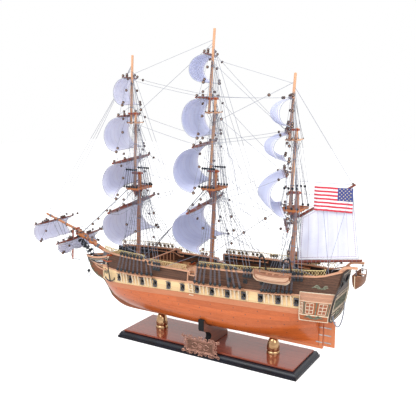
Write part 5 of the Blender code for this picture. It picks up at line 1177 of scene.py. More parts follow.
def make_mast(mast):
    deck = deck_top(MAST_X[mast]) + 0.0008
    top_z, head = KEEL_Z + TOP_HEIGHT[mast], KEEL_Z + LOWER_HEAD[mast]
    tree_z, topmast_head = KEEL_Z + CROSSTREE_HEIGHT[mast], KEEL_Z + TOPMAST_HEAD[mast]
    truck = KEEL_Z + TRUCK_HEIGHT[mast]
    flat = ((1, 0, 0), (0, 1, 0), (0, 0, 1))

    def spar_between(step, low, high, radius, tip):
        return tube([mast_axis(mast, step, low).lerp(mast_axis(mast, step, high), t) for t in (0, 0.35, 0.7, 1)],
                    [radius * (1 - (1 - tip) * t) for t in (0, 0.35, 0.7, 1)], 20)

    lower = spar_between(0, deck, head, LOWER_RADIUS, MAST_TAPER)
    coat = turned([(LOWER_RADIUS, 0.0), (LOWER_RADIUS * 1.45, 0.0), (LOWER_RADIUS * 1.4, 0.003), (LOWER_RADIUS, 0.005)],
                  mast_axis(mast, 0, deck), mast_way(mast, 0), 20)
    # the lower mast's beech carries painted shade
    piece(f"{mast}_lower_spar", [lower, coat], MAST_PAINTED_SHADE_WOOD, smooth=60, stands_for=(f"{mast}_lower_mast",))

    # rope wooldings round the mast
    bands = []
    for step, low, high in ((0, deck + 0.018, top_z - 0.022), (1, head + 0.012, tree_z - 0.012), (2, topmast_head + 0.012, truck - 0.030)):
        for z in np.arange(low, high, 0.036 if step == 0 else 0.060):
            centre, radius = mast_face(mast, z, step)
            for turn in (-0.0007, 0.0, 0.0007):
                bands.append(ring(centre + mast_way(mast, step) * turn, mast_way(mast, step), radius, 0.0004, 18))
    piece(f"{mast}_mast_bands", bands, ROPE_GRAY)

    # the top: planked platform with a raised rim, trestle trees, knees and the cap above
    centre = top_centre(mast)
    rim = [centre + Vector((x, y, TOP_THICKNESS / 2 - 0.0016)) for x, y in top_outline(-0.0009)]
    square = [(-0.0009, -0.0017), (0.0009, -0.0017), (0.0009, 0.0017), (-0.0009, 0.0017)]
    platform = [board(top_outline(-0.0004), TOP_THICKNESS - 0.0022, centre - Vector((0, 0, 0.0011)), flat),
                moulding(rim, square, closed=True)]
    for y in np.linspace(-0.026, 0.026, 7):
        platform.append(bar(centre + Vector((-0.014, y, 0.0015)), centre + Vector((0.022, y, 0.0015)), 0.0022, 0.0012))
    piece(f"{mast}_top_platform", platform, TOP_WOOD, bevel=0.0003)
    under = []
    for y in (-0.0075, 0.0075):
        under.append(bar(centre + Vector((-0.022, y, -0.0038)), centre + Vector((0.022, y, -0.0038)), 0.0026, 0.0030))
        knee = [(-0.016, 0.0), (0.010, 0.0), (0.006, -0.008), (0.0, -0.018), (-0.004, -0.020), (-0.008, -0.008)]
        under.append(board([(x, z - 0.0052) for x, z in knee], 0.0028, centre + Vector((0, y * 0.9, 0)),
                           ((1, 0, 0), (0, 0, 1), (0, 1, 0))))
    for x in (-0.012, 0.0, 0.014):
        under.append(bar(centre + Vector((x, -0.029, -0.0036)), centre + Vector((x, 0.029, -0.0036)), 0.0024, 0.0024))
    piece(f"{mast}_trestle_trees", under, RED_WOOD, bevel=0.0003)

    def cap(step, z, width):
        aft, fore = mast_axis(mast, step, z), mast_axis(mast, step + 1, z)
        front = fore.x - (TOPMAST_RADIUS if step == 0 else TOPGALLANT_RADIUS) - 0.0025
        back = aft.x + (LOWER_RADIUS if step == 0 else TOPMAST_RADIUS) + 0.0015
        return block(((front + back) / 2, 0, z), (back - front, width, CAP_HEIGHT * 1.15))

    piece(f"{mast}_mast_caps", [cap(0, head - CAP_HEIGHT, CAP_WIDTH * 1.15), cap(1, topmast_head - CAP_HEIGHT, CAP_WIDTH * 0.95)],
          RED_WOOD, bevel=0.0008)

    topmast = spar_between(1, top_z - 0.004, topmast_head, TOPMAST_RADIUS, MAST_TAPER)
    pole = spar_between(2, tree_z - 0.003, truck - 0.0015, TOPGALLANT_RADIUS, POLE_TAPER)
    size = TOPGALLANT_RADIUS * POLE_TAPER
    button = turned([(size, 0.0), (size * 0.92, 0.0008), (size * 0.6, 0.0014), (0.0, 0.0015)],
                    mast_axis(mast, 2, truck - 0.0016), mast_way(mast, 2), 20)
    piece(f"{mast}_upper_spars", [topmast, pole, button], MAST_UPPER, smooth=60,
          stands_for=(f"{mast}_upper_mast",))
    middle = tree_centre(mast)
    trees = []
    for y in (-0.0050, 0.0050):
        trees.append(bar(middle + Vector((-TREE_LENGTH / 2, y, 0)), middle + Vector((TREE_LENGTH / 2, y, 0)), 0.0022, TREE_THICKNESS))
    for x, share in ((-0.012, 0.80), (0.0, 0.9), (0.012, 1.0)):
        arm = [middle + Vector((x + 0.004 * abs(t) ** 2, t * TREE_WIDTH / 2 * share, 0.0012)) for t in np.linspace(-1, 1, 9)]
        trees.append(moulding(arm, [(-0.0011, -0.0012), (0.0011, -0.0012), (0.0011, 0.0012), (-0.0011, 0.0012)]))
    piece(f"{mast}_crosstrees", trees, MAST_PALE, bevel=0.0003)


def make_bowsprit():
    def sprit_axis(x):
        return Vector((x, 0, bowsprit_height(x)))

    def jib_axis(x):
        return Vector((x, 0, jib_boom_height(x)))

    sprit = tube([sprit_axis(BOWSPRIT_HEEL_X), sprit_axis(BOWSPRIT_CAP_X)], [BOWSPRIT_RADIUS, BOWSPRIT_RADIUS * 0.9], 24)
    heel = BOWSPRIT_CAP_X + JIB_BOOM_HEEL
    boom = tube([jib_axis(heel), jib_axis(JIB_BOOM_TIP_X)], [JIB_BOOM_RADIUS, JIB_BOOM_RADIUS * JIB_BOOM_TAPER], 18)
    # the bowsprit shares the mast beech with painted shade
    piece("bowsprit_and_jib_boom", [sprit, boom], MAST_PAINTED_SHADE_WOOD, smooth=60, stands_for=("bowsprit",))
    cap = sprit_axis(BOWSPRIT_CAP_X) + Vector((0, 0, JIB_BOOM_LIFT / 2))
    top = jib_axis(BOWSPRIT_CAP_X - STRIKER_AHEAD)
    foot = top + Vector((-STRIKER_RAKE, 0, -STRIKER_LENGTH))
    fittings = [block(cap, (0.005, 0.013, 0.021)), tube([top, top.lerp(foot, 0.5), foot], [0.0024, 0.0026, 0.0018], 12),
                turned([(0.0, -0.002), (0.0022, -0.0012), (0.0024, 0.0), (0.0018, 0.0012), (0.0, 0.0016)], foot, (0, 0, 1), 12)]
    for x in (BOW_X - 0.012, BOW_X - 0.034, BOW_X - 0.058):
        fittings += [block(sprit_axis(x) + Vector((0, side * (BOWSPRIT_RADIUS + 0.0006), 0)), (0.009, 0.0022, 0.0030),
                           ((-1, 0, BOWSPRIT_SLOPE), (0, 1, 0), (BOWSPRIT_SLOPE, 0, 1))) for side in (PORT, STARBOARD)]
    piece("bowsprit_fittings", fittings, RED_WOOD, bevel=0.0005)
    bands = []
    way = Vector((-1, 0, BOWSPRIT_SLOPE)).normalized()
    for x in (BOW_X - 0.022, BOW_X - 0.046, BOW_X - 0.070, BOW_X - 0.088):
        for turn in range(-4, 5):
            bands.append(ring(sprit_axis(x) + way * 0.0009 * turn, way, BOWSPRIT_RADIUS * 0.97, 0.0006, 20))
    boom_way = Vector((-1, 0, JIB_BOOM_SLOPE)).normalized()
    for x in (-0.470, -0.500, -0.530, -0.560):
        for turn in range(-2, 3):
            bands.append(ring(jib_axis(x) + boom_way * 0.0008 * turn, boom_way, JIB_BOOM_RADIUS * 0.86, 0.0005, 16))
    piece("bowsprit_gammoning", bands, ROPE_DARK)


def yard_shape(centre, along, length):
    radius = yard_radius(length)
    shares = (-0.5, -0.47, -0.35, -0.2, 0.0, 0.2, 0.35, 0.47, 0.5)
    sizes = (0.55, 0.62, 0.82, 1.0, 1.03, 1.0, 0.82, 0.62, 0.55)
    return tube([centre + along * length * at for at in shares], [radius * size for size in sizes], 14)


def make_yards():
    whipping = []
    for name in (*SQUARE_RIG, *SPRIT_RIG):
        centre, along, ahead, length, face = yard_place(name)
        radius = yard_radius(length)
        shapes = [yard_shape(centre, along, length)]
        if name in SQUARE_RIG:
            reach = face - GAP - centre.x
            shapes.append(block((centre.x + reach / 2, 0, centre.z), (reach, radius * 1.1, radius * 1.1)))
        else:
            shapes.append(block((centre.x, 0, centre.z + radius / 2), (0.002, 0.004, radius + 2 * SLING_ROOM)))
        piece(f"{name}_yard_spar", shapes, YARD_WOOD, smooth=60, stands_for=(f"{name}_yard",))
        # stirrup lashings, slings and the arms' bands
        for share in (-0.93, -0.62, -0.31, -0.06, 0.06, 0.31, 0.62, 0.93):
            size = radius * (1.03 - 0.42 * abs(share) ** 2)
            for turn in (-0.0008, 0.0, 0.0008):
                whipping.append(ring(centre + along * (length / 2 * share + turn), along, size, 0.0005, 12, 5))
    piece("yard_whippings", whipping, ROPE_GRAY)
    for name, axis, radius, tip in (("gaff", gaff_axis, GAFF_RADIUS, GAFF_TAPER), ("boom", boom_axis, BOOM_RADIUS, 0.8)):
        spar = tube([axis(t) for t in (0, 0.3, 0.7, 1)], [radius * (1 - (1 - tip) * t) for t in (0, 0.3, 0.7, 1)], 14)
        way = (axis(1) - axis(0)).normalized()
        throat = mast_face("mizzen", axis(0).z, 0)[0]
        jaws = []
        for side in (PORT, STARBOARD):
            bend = [axis(0.05) + Vector((0, side * radius * 0.7, 0)), axis(0) + Vector((0, side * 0.0062, 0)),
                    throat + Vector((-0.001, side * 0.0066, 0))]
            jaws.append(tube(curve_points(bend, 9), 0.0013, 8))
        tipping = turned([(radius * tip, 0.0), (radius * tip * 1.15, 0.001), (radius * tip * 0.8, 0.0024), (0.0, 0.003)],
                         axis(1) - way * 0.0005, way, 12)
        piece(f"spanker_{name}_spar", [spar, *jaws, tipping], YARD_WOOD, smooth=60,
              stands_for=(f"spanker_{name}",))


# Sails and ensign


def cotton(name, pale, shade, hem_tone, thread):
    """Bleached cotton: plain weave, cloths seamed side by side, and a turned hem with a running stitch."""
    made, tree, shader = new_finish(name, 0.85, Sheen_Weight=0.15)
    place = add(tree, "UVMap", uv_map="surface").outputs[0]
    split = add(tree, "SeparateXYZ", {"Vector": place})
    edges = add(tree, "SeparateXYZ", {"Vector": add(tree, "UVMap", uv_map="edges").outputs[0]})
    # threads are 0.4 mm apart, drawn 2 mm apart so that they show
    weave = add(tree, "TexNoise", {"Vector": place, "Scale": 500.0, "Detail": 3.0})
    cloudy = add(tree, "TexNoise", {"Vector": place, "Scale": 22.0, "Detail": 3.0})
    mixed = add(tree, "MixRGB", {"Fac": 0.4, "Color1": cloudy.outputs["Fac"], "Color2": weave.outputs["Fac"]})
    tones = add(tree, "ValToRGB", {"Fac": mixed.outputs[0]})
    tones.color_ramp.elements[0].position, tones.color_ramp.elements[1].position = 0.36, 0.62
    tones.color_ramp.elements[0].color, tones.color_ramp.elements[1].color = srgb(shade), srgb(pale)
    # cloths are 24 mm wide, sewn with a flat seam
    cloths = add(tree, "Math", {0: split.outputs[0], 1: 1000 / 24}, operation="MULTIPLY")
    cloths = add(tree, "Math", {0: cloths.outputs[0]}, operation="FRACT")
    seam = add(tree, "Math", {0: cloths.outputs[0], 1: 1.2 / 24}, operation="LESS_THAN")
    faint = add(tree, "Math", {0: seam.outputs[0], 1: 0.45}, operation="MULTIPLY")
    near = add(tree, "Math", {0: edges.outputs[0], 1: edges.outputs[1]}, operation="MINIMUM")
    # the doubled cloth by the hem is paler, and fades out over 16 mm
    fade = add(tree, "Math", {0: near.outputs[0], 1: -1 / 0.016, 2: 1.0}, operation="MULTIPLY_ADD", use_clamp=True)
    fade = add(tree, "Math", {0: fade.outputs[0], 1: cloudy.outputs["Fac"]}, operation="MULTIPLY")
    doubled = add(tree, "MixRGB", {"Fac": fade.outputs[0], "Color1": tones.outputs[0], "Color2": srgb(hem_tone)})
    sewn = add(tree, "MixRGB", {"Fac": faint.outputs[0], "Color1": doubled.outputs[0], "Color2": srgb(thread)})
    hem = add(tree, "Math", {0: near.outputs[0], 1: 0.0052}, operation="LESS_THAN")
    hemmed = add(tree, "MixRGB", {"Fac": hem.outputs[0], "Color1": sewn.outputs[0], "Color2": srgb(hem_tone)})
    along = add(tree, "Math", {0: split.outputs[0], 1: split.outputs[1]}, operation="ADD")
    wave = add(tree, "Math", {0: along.outputs[0], 1: 1000 / 5.0 * math.tau}, operation="MULTIPLY")
    wave = add(tree, "Math", {0: wave.outputs[0]}, operation="SINE")
    line = add(tree, "Math", {0: wave.outputs[0], 1: 0.0004, 2: near.outputs[0]}, operation="MULTIPLY_ADD")
    line = add(tree, "Math", {0: line.outputs[0], 1: 0.0050}, operation="SUBTRACT")
    line = add(tree, "Math", {0: line.outputs[0]}, operation="ABSOLUTE")
    stitch = add(tree, "Math", {0: line.outputs[0], 1: 0.0005}, operation="LESS_THAN")
    stitched = add(tree, "MixRGB", {"Fac": stitch.outputs[0], "Color1": hemmed.outputs[0], "Color2": srgb(thread)})
    tree.links.new(stitched.outputs[0], shader.inputs["Base Color"])
    height = add(tree, "Math", {0: weave.outputs["Fac"], 1: 0.2, 2: seam.outputs[0]}, operation="MULTIPLY_ADD")
    height = add(tree, "Math", {0: hem.outputs[0], 1: 0.8, 2: height.outputs[0]}, operation="MULTIPLY_ADD")
    relief = add(tree, "Bump", {"Height": height.outputs[0], "Strength": 0.35, "Distance": 0.0003})
    tree.links.new(relief.outputs[0], shader.inputs["Normal"])
    return made


SAIL_COTTON = cotton("bleached_sail_cotton", "#eef0ff", "#dde0f7", "#f4f5ff", "#a58fb0")
# painted shade: the sails abaft the foremast get the same cotton, a tone deeper
PAINTED_SHADE_COTTON = cotton("painted_shade_sail_cotton", "#d3d8f1", "#c0c6e6", "#e9ecfc", "#a58fb0")


def bellied(head, foot, along, ahead, half_head, half_foot, belly, slack, sweep, roach=0.0):
    """A square sail's surface: a C-shaped belly between the head on its yard and the foot."""

    def shape(across, down):
        turn = math.pi * down
        middle = (head + foot) / 2 + (head - foot) / 2 * math.cos(turn)
        width = half_head + (half_foot - half_head) * down
        depth = belly * math.sin(turn) * (1 - slack * across**2)
        aft = sweep * abs(across) ** 3 * down
        point = middle + along * across * width + ahead * (depth - aft)
        point.z += roach * (1 - across**2) * down**2
        return point

    return shape


def sheet_grid(shape, columns, rows):
    """A sail's points on a grid, with the cloth's own measures: along it, down it and to its edges."""
    grid = [[Vector(shape(across, down)) for across in np.linspace(-1, 1, columns)] for down in np.linspace(0, 1, rows)]
    spots = np.array([[tuple(p) for p in row] for row in grid])
    wide = np.concatenate([np.zeros((rows, 1)), np.cumsum(np.linalg.norm(np.diff(spots, axis=1), axis=2), axis=1)], axis=1)
    tall = np.concatenate([np.zeros((1, columns)), np.cumsum(np.linalg.norm(np.diff(spots, axis=0), axis=2), axis=0)])
    marks = []
    for r in range(rows):
        for c in range(columns):
            to_side = min(wide[r, c], wide[r, -1] - wide[r, c])
            to_end = min(tall[r, c], tall[-1, c] - tall[r, c])
            marks.append((wide[r, c] - wide[r, -1] / 2, tall[r, c], to_side, to_end))
    a, b, c = spots[:-1, :-1], spots[1:, :-1], spots[:-1, 1:]
    d = spots[1:, 1:]
    area = (np.linalg.norm(np.cross(b - a, c - a), axis=2) + np.linalg.norm(np.cross(b - d, c - d), axis=2)).sum() / 2
    flat = float(wide[:, -1].max()), float(tall[-1].max())
    return grid, marks, flat, float(area)


def make_cloth(name, shape, columns, rows, finish, node, rope=0.0007):
    """A sheet with a bolt-rope round its edge."""
    grid, marks, flat, area = sheet_grid(shape, columns, rows)
    made = piece(name, [skin(grid, uv=marks)], finish, smooth=60, stands_for=(node,))
    body = made.modifiers.new("cloth thickness", "SOLIDIFY")
    body.thickness, body.offset = SAIL_THICKNESS, 0.0
    if rope:
        edge = grid[0] + [row[-1] for row in grid[1:]] + grid[-1][-2::-1] + [row[0] for row in grid[-2::-1]]
        piece(f"{name}_boltrope", [tube(edge, rope, 6)], ROPE_PALE)
    return grid


def creased(shape, depth, ahead, seed):
    """A sail with soft folds that run in from its corners and between its seams."""

    def folded(across, down):
        point = shape(across, down)
        fold = math.sin(9 * across + 3.1 * down + seed) * math.sin(5 * down + 1.7 * seed) * 0.6
        fold += math.sin(17 * across * (0.4 + down) + seed * 2.3) * down * 0.4
        fold *= (1 - abs(across) ** 6) * math.sin(math.pi * min(down * 1.4, 1.0)) + 0.15
        return point + ahead * depth * fold

    return folded


CLEWS = {}


def make_sails():
    for number, (name, rig) in enumerate(SQUARE_RIG.items()):
        if not rig[-1]:
            continue
        foot_height, foot_width, belly, foot_ahead, sweep, roach = rig[-1]
        centre, along, ahead, length, _ = yard_place(name)
        head = centre - Vector((0, 0, yard_radius(length) + GAP + SAIL_THICKNESS / 2))
        foot = centre + ahead * foot_ahead
        foot.z = KEEL_Z + foot_height
        slack = LEECH_SLACK[name.split("_")[0]]
        shape = bellied(head, foot, along, ahead, length * HEAD_SHARE / 2, foot_width / 2, belly, slack, sweep, roach)
        # the sails abaft the foremast take the cotton with painted shade
        grid = make_cloth(f"{name}_canvas", creased(shape, 0.0018, ahead, number), 57, 49,
                          SAIL_COTTON if name.startswith("fore") else PAINTED_SHADE_COTTON,
                          f"{name}_sail")
        CLEWS[name] = {STARBOARD: grid[-1][0], PORT: grid[-1][-1]}
    for name, (_, length, _, drop, belly, sag) in SPRIT_RIG.items():
        centre, along, ahead, _, _ = yard_place(name)
        head = centre - Vector((0, 0, yard_radius(length) + GAP + SAIL_THICKNESS / 2))
        foot = head - Vector((0, 0, drop))
        half = length * HEAD_SHARE / 2
        base = bellied(head, foot, along, ahead, half, half * 0.95, belly, LEECH_SLACK["fore"], SPRIT_SWEEP)

        pleats, depth = (30, 0.0020) if name == "spritsail" else (9, 0.0014)

        def gathered(across, down, base=base, sag=sag, ahead=ahead, pleats=pleats, depth=depth):
            """The cloth hangs in three swags, pleated towards its lashings."""
            point = base(across, down)
            swag = abs(math.sin(1.5 * math.pi * (across + 1)))
            point.z -= sag * swag * down
            pleat = math.sin(down * pleats + 2.2 * swag + 3 * across) * (0.35 + 0.65 * swag)
            return point + ahead * depth * pleat * math.sin(math.pi / 2 * min(down * 2, 1.0))

        grid = make_cloth(f"{name}_canvas", gathered, 73, 41, SAIL_COTTON, f"{name}_sail")
        CLEWS[name] = {STARBOARD: grid[-1][0], PORT: grid[-1][-1]}

    def spanker(across, down):
        along = 0.06 + 0.90 * (across + 1) / 2
        upper, lower = gaff_axis(along), boom_axis(along)
        upper.z -= (GAFF_RADIUS + 0.0006) * 1.2
        lower.z += (BOOM_RADIUS + 0.0006) * 1.05
        point = upper.lerp(lower, down)
        point.y = 0.006 * math.sin(math.pi * down) * math.sin(math.pi * (across + 1) / 2)
        point.y += 0.0009 * math.sin(15 * across + 2 * down) * math.sin(math.pi * down)
        return point

    make_cloth("spanker_canvas", spanker, 57, 57, SAIL_COTTON, "spanker_sail")


def make_ensign():
    """A striped flag laid against the gaff's port side, its hoist at the peak."""
    made, tree, shader = new_finish("dyed_bunting", 0.8, Sheen_Weight=0.1)
    split = add(tree, "SeparateXYZ", {"Vector": add(tree, "UVMap", uv_map="surface").outputs[0]})
    bands = add(tree, "Math", {0: split.outputs[1], 1: 13 / ENSIGN_HOIST / 2}, operation="MULTIPLY")
    bands = add(tree, "Math", {0: bands.outputs[0]}, operation="FRACT")
    pale = add(tree, "Math", {0: bands.outputs[0], 1: 0.5}, operation="GREATER_THAN")
    thread = add(tree, "TexNoise", {"Vector": add(tree, "TexCoord").outputs["Object"], "Scale": 420.0, "Detail": 3.0})
    red = add(tree, "MixRGB", {"Fac": thread.outputs["Fac"], "Color1": srgb("#c8283a"), "Color2": srgb("#e0485a")})
    white = add(tree, "MixRGB", {"Fac": thread.outputs["Fac"], "Color1": srgb("#eceaf2"), "Color2": srgb("#fafafc")})
    blue = add(tree, "MixRGB", {"Fac": thread.outputs["Fac"], "Color1": srgb("#303a78"), "Color2": srgb("#4a5698")})
    striped = add(tree, "MixRGB", {"Fac": pale.outputs[0], "Color1": red.outputs[0], "Color2": white.outputs[0]})
    high = add(tree, "Math", {0: split.outputs[1], 1: ENSIGN_HOIST * 7 / 13}, operation="LESS_THAN")
    aft = add(tree, "Math", {0: split.outputs[0], 1: ENSIGN_LENGTH * (0.5 - 0.38)}, operation="GREATER_THAN")
    union = add(tree, "Math", {0: high.outputs[0], 1: aft.outputs[0]}, operation="MULTIPLY")
    colours = add(tree, "MixRGB", {"Fac": union.outputs[0], "Color1": striped.outputs[0], "Color2": blue.outputs[0]})
    tree.links.new(colours.outputs[0], shader.inputs["Base Color"])
    relief = add(tree, "Bump", {"Height": thread.outputs["Fac"], "Strength": 0.3, "Distance": 0.0002})
    tree.links.new(relief.outputs[0], shader.inputs["Normal"])

    hoist = gaff_axis(0.985)
    side = GAFF_RADIUS * GAFF_TAPER + GAP + SAIL_THICKNESS / 2
    swell = GAFF_RADIUS - GAFF_RADIUS * GAFF_TAPER

    def shape(across, down):
        x = hoist.x - ENSIGN_LENGTH * (1 - across) / 2
        ripple = ENSIGN_RIPPLE * (1 + math.sin(7 * across + 0.8 * down)) + swell * 1.6
        y = side + ripple * (1 - across) / 2 + 0.0006 * math.sin(19 * across + 5 * down) * down
        return Vector((x, PORT * y, hoist.z - ENSIGN_DROP - ENSIGN_HOIST * down))

    make_cloth("ensign_bunting", shape, 61, 33, made, "ensign", rope=0.0)
    stars = []
    for row in range(7):
        for column in range(4 - row % 2):
            across = 1 - 0.76 * (column + 0.55 + 0.5 * (row % 2)) / 4.1
            down = (row + 0.6) / 7.2 * 7 / 13
            centre = shape(across, down)
            for way in (PORT, STARBOARD):
                outline = [(r * math.sin(a), r * math.cos(a)) for k in range(10)
                           for r, a in [(0.0019 if k % 2 == 0 else 0.0008, math.pi * k / 5)]]
                stars.append(board(outline, 0.0003, centre + Vector((0, way * (SAIL_THICKNESS / 2 + 0.0002), 0)),
                                   ((1, 0, 0), (0, 0, 1), (0, 1, 0))))
    piece("ensign_stars", stars, WHITE_TRIM)


# Head of the ship


def scroll(centre, across, up, size, turns=1.5, start=0.0, count=26):
    """Points of a scroll that winds in to its eye, in the plane of two directions."""
    centre, across, up = Vector(centre), Vector(across), Vector(up)
    points = []
    for t in np.linspace(0, 1, count):
        turn, reach = start + math.tau * turns * t, size * (1 - 0.82 * t)
        points.append(centre + across * reach * math.cos(turn) + up * reach * math.sin(turn))
    return points


def thinned(points, thick, thin=0.4):
    """A carved tendril that thins towards its end."""
    return tube(points, [thick * (1 - (1 - thin) * t) for t in np.linspace(0, 1, len(points))], 6)


def hull_side(x, z, side, off=0.0):
    """A point on the ship's outside at a height: bottom, band or topside."""
    y = section(x, z) if z < strake_foot(x) else topside(x, z)
    return Vector((x, side * (max(y, KEEL_THICKNESS / 2) + off), z))


HEAD_RAILS = (  # knee end and its height, hull end and its height, how far the rail sags between them
    (-0.4175, 0.1870, -0.306, 0.2090, 0.004),
    (-0.4020, 0.1770, -0.304, 0.1850, 0.005),
    (-0.3900, 0.1680, -0.310, 0.1700, 0.004),
)


def head_rail_path(rail, side, count=17):
    knee_x, knee_z, hull_x, hull_z, sag = rail
    near, far = KEEL_THICKNESS / 2 + 0.0006, topside(hull_x, hull_z) + 0.0006
    path = []
    for t in np.linspace(0, 1, count):
        x = knee_x + (hull_x - knee_x) * t
        clear = topside(x, hull_z) + 0.0012 if x > BOW_X + 0.001 else 0.0
        y = max(near + (far - near) * t**0.8, clear)
        path.append(Vector((x, side * y, knee_z + (hull_z - knee_z) * t - sag * math.sin(math.pi * t))))
    return path


def make_head():
    """Rails from the knee to the bow, a grating between them, carved scrolls and the beakhead."""
    rails, grating, beads, carving, strips, panels = [], [], [], [], [], []
    tall = [(-0.0011, -0.0026), (0.0011, -0.0026), (0.0014, 0.0), (0.0011, 0.0026), (-0.0011, 0.0026), (-0.0014, 0.0)]
    low = [(a, b * 0.62) for a, b in tall]
    for side in (PORT, STARBOARD):
        paths = [head_rail_path(rail, side) for rail in HEAD_RAILS]
        rails += [moulding(paths[0], tall), moulding(paths[1], low), moulding(paths[2], low)]
        drop = Vector((0, 0, -0.0058))
        grating.append(moulding([p + drop for p in paths[0][1:]], [(-0.0005, -0.0034), (0.0005, -0.0034), (0.0005, 0.0034), (-0.0005, 0.0034)]))
        for a, b in zip(paths[0][2:], paths[1][2:]):
            grating.append(tube([a + drop, b], 0.0008, 6))
        for t in np.linspace(0.12, 0.94, 15):
            spot = paths[0][1].lerp(paths[0][-1], t) + drop
            spot.y = np.interp(spot.x, [p.x for p in paths[0]], [p.y for p in paths[0]])
            beads.append(turned([(0.0, -0.001), (0.0011, -0.0005), (0.0013, 0.0), (0.0011, 0.0005), (0.0, 0.001)],
                                (spot.x, spot.y + side * 0.0006, spot.z - 0.0004 - 0.003 * math.sin(math.pi * t)), (0, 1, 0), 8))
        # carved border down the knee's front edge, with scrolls inside it
        face = side * (KEEL_THICKNESS / 2 + 0.0003)
        knee = [(BOW_X - ahead, KEEL_Z + height) for ahead, height in KNEE_OUTLINE[2:10]]
        edge = [(x + 0.0026, face, z - 0.0004) for x, z in curve_points(knee, 40)]
        carving.append(tube(edge, [0.0007 + 0.0010 * math.sin(math.pi * t) for t in np.linspace(0, 1, 40)], 6))
        for i in range(4, 38, 4):
            spot = Vector(edge[i]) + Vector((0.0042, 0, 0.0016))
            carving.append(thinned(scroll(spot, (1, 0, 0), (0, 0, 1 if i % 8 else -1), 0.0034, 1.4, 0.6 * i, 18), 0.0009))
        upper = [(-0.4090, face, 0.1760), (-0.3960, face, 0.1700), (-0.3780, face, 0.1640), (-0.3600, face, 0.1600)]
        strips.append(tube(curve_points(upper, 14), 0.0009, 6))
        # beakhead: an ivory strip down the bulwark's fore end, slate panels ahead of it, a scroll on the band
        strip = [hull_side(x, z, side, 0.0010) for x, z in ((-0.2975, 0.2165), (-0.3035, 0.208), (-0.3105, 0.197), (-0.3155, 0.186))]
        strips.append(moulding(curve_points(strip, 14), [(-0.0010, -0.0016), (0.0010, -0.0016), (0.0010, 0.0016), (-0.0010, 0.0016)],
                               ups=[(1, 0, 0.5)] * 14))
        rows = []
        for x in np.linspace(BOW_X + 0.0030, -0.3135, 12):
            bottom, top = strake_head(x) + 0.004, rail_foot(x) - 0.001
            rows.append([hull_side(x, bottom, side, 0.0005), hull_side(x, top, side, 0.0005), hull_side(x, top, side, -0.0006),
                         hull_side(x, bottom, side, -0.0006)])
        panels.append(skin(rows, wrap=True, caps=True))
        curl = [hull_side(p.x, p.z, side, 0.0008) for p in scroll((-0.3135, 0, 0.1665), (1, 0, 0), (0, 0, 1), 0.0078, 1.6, 2.4, 34)]
        carving.append(thinned(curl, 0.0016))
        tail = [hull_side(x, z, side, 0.0008) for x, z in ((-0.3195, 0.1715), (-0.3255, 0.1640), (-0.3300, 0.1540), (-0.3330, 0.1450))]
        carving.append(thinned(curve_points(tail, 12), 0.0014))
    piece("head_rails", rails, RAIL_WOOD, bevel=0.0003)
    piece("head_grating", grating, BLACK_PAINT)
    piece("head_beads", beads, WHITE_TRIM)
    piece("bow_carving", carving, BRONZE_GREEN)
    piece("beakhead_strips", strips, WHITE_TRIM)
    piece("beakhead_panels", panels, PORT_GRAY)


def make_anchors():
    """An anchor hung at each bow from a cathead, with a wooden stock and its cable's ring."""
    iron, timber = [], []
    for side in (PORT, STARBOARD):
        root = hull_side(-0.288, 0.2145, side, -0.002)
        tip = root + Vector((-0.006, side * 0.015, 0.003))
        timber.append(bar(root, tip, 0.0042, 0.0042))
        high, crown = tip + Vector((-0.001, side * 0.0005, -0.012)), hull_side(-0.291, 0.146, side, 0.0052)
        iron.append(tube([tip - Vector((0, 0, 0.001)), high], 0.0005, 6))
        iron.append(ring(high + Vector((0, 0, 0.0026)), (0, 1, 0), 0.0024, 0.0005, 14))
        iron.append(tube([high, high.lerp(crown, 0.5), crown], [0.0011, 0.0014, 0.0018], 8))
        stock = high.lerp(crown, 0.10)
        timber.append(tube([stock + Vector((t * 0.017, 0, 0.004 * abs(t))) for t in (-1, -0.5, 0, 0.5, 1)],
                           [0.0011, 0.0017, 0.0021, 0.0017, 0.0011], 8))
        arm = [crown + Vector((x, side * 0.0006, z)) for x, z in ((-0.0150, 0.0105), (-0.0120, 0.0040), (-0.0060, 0.0005), (0, -0.0010),
                                                                (0.0060, 0.0005), (0.0120, 0.0040), (0.0150, 0.0105))]
        iron.append(tube(curve_points(arm, 19), [0.0008 + 0.0009 * math.sin(math.pi * t) for t in np.linspace(0, 1, 19)], 8))
        for end, lean in ((arm[0], 1), (arm[-1], -1)):
            palm = [(-0.0028, -0.0030), (0.0028, -0.0030), (0.0, 0.0046)]
            iron.append(board(palm, 0.0008, end - Vector((0, 0, 0.0030)), ((0, 1, 0), (lean * 0.25, 0, 0.97), (0.97, 0, -lean * 0.25))))
    piece("anchors", iron, GUN_IRON, smooth=50)
    piece("anchor_stocks_and_catheads", timber, RED_WOOD, bevel=0.0004)


# Sides and deck


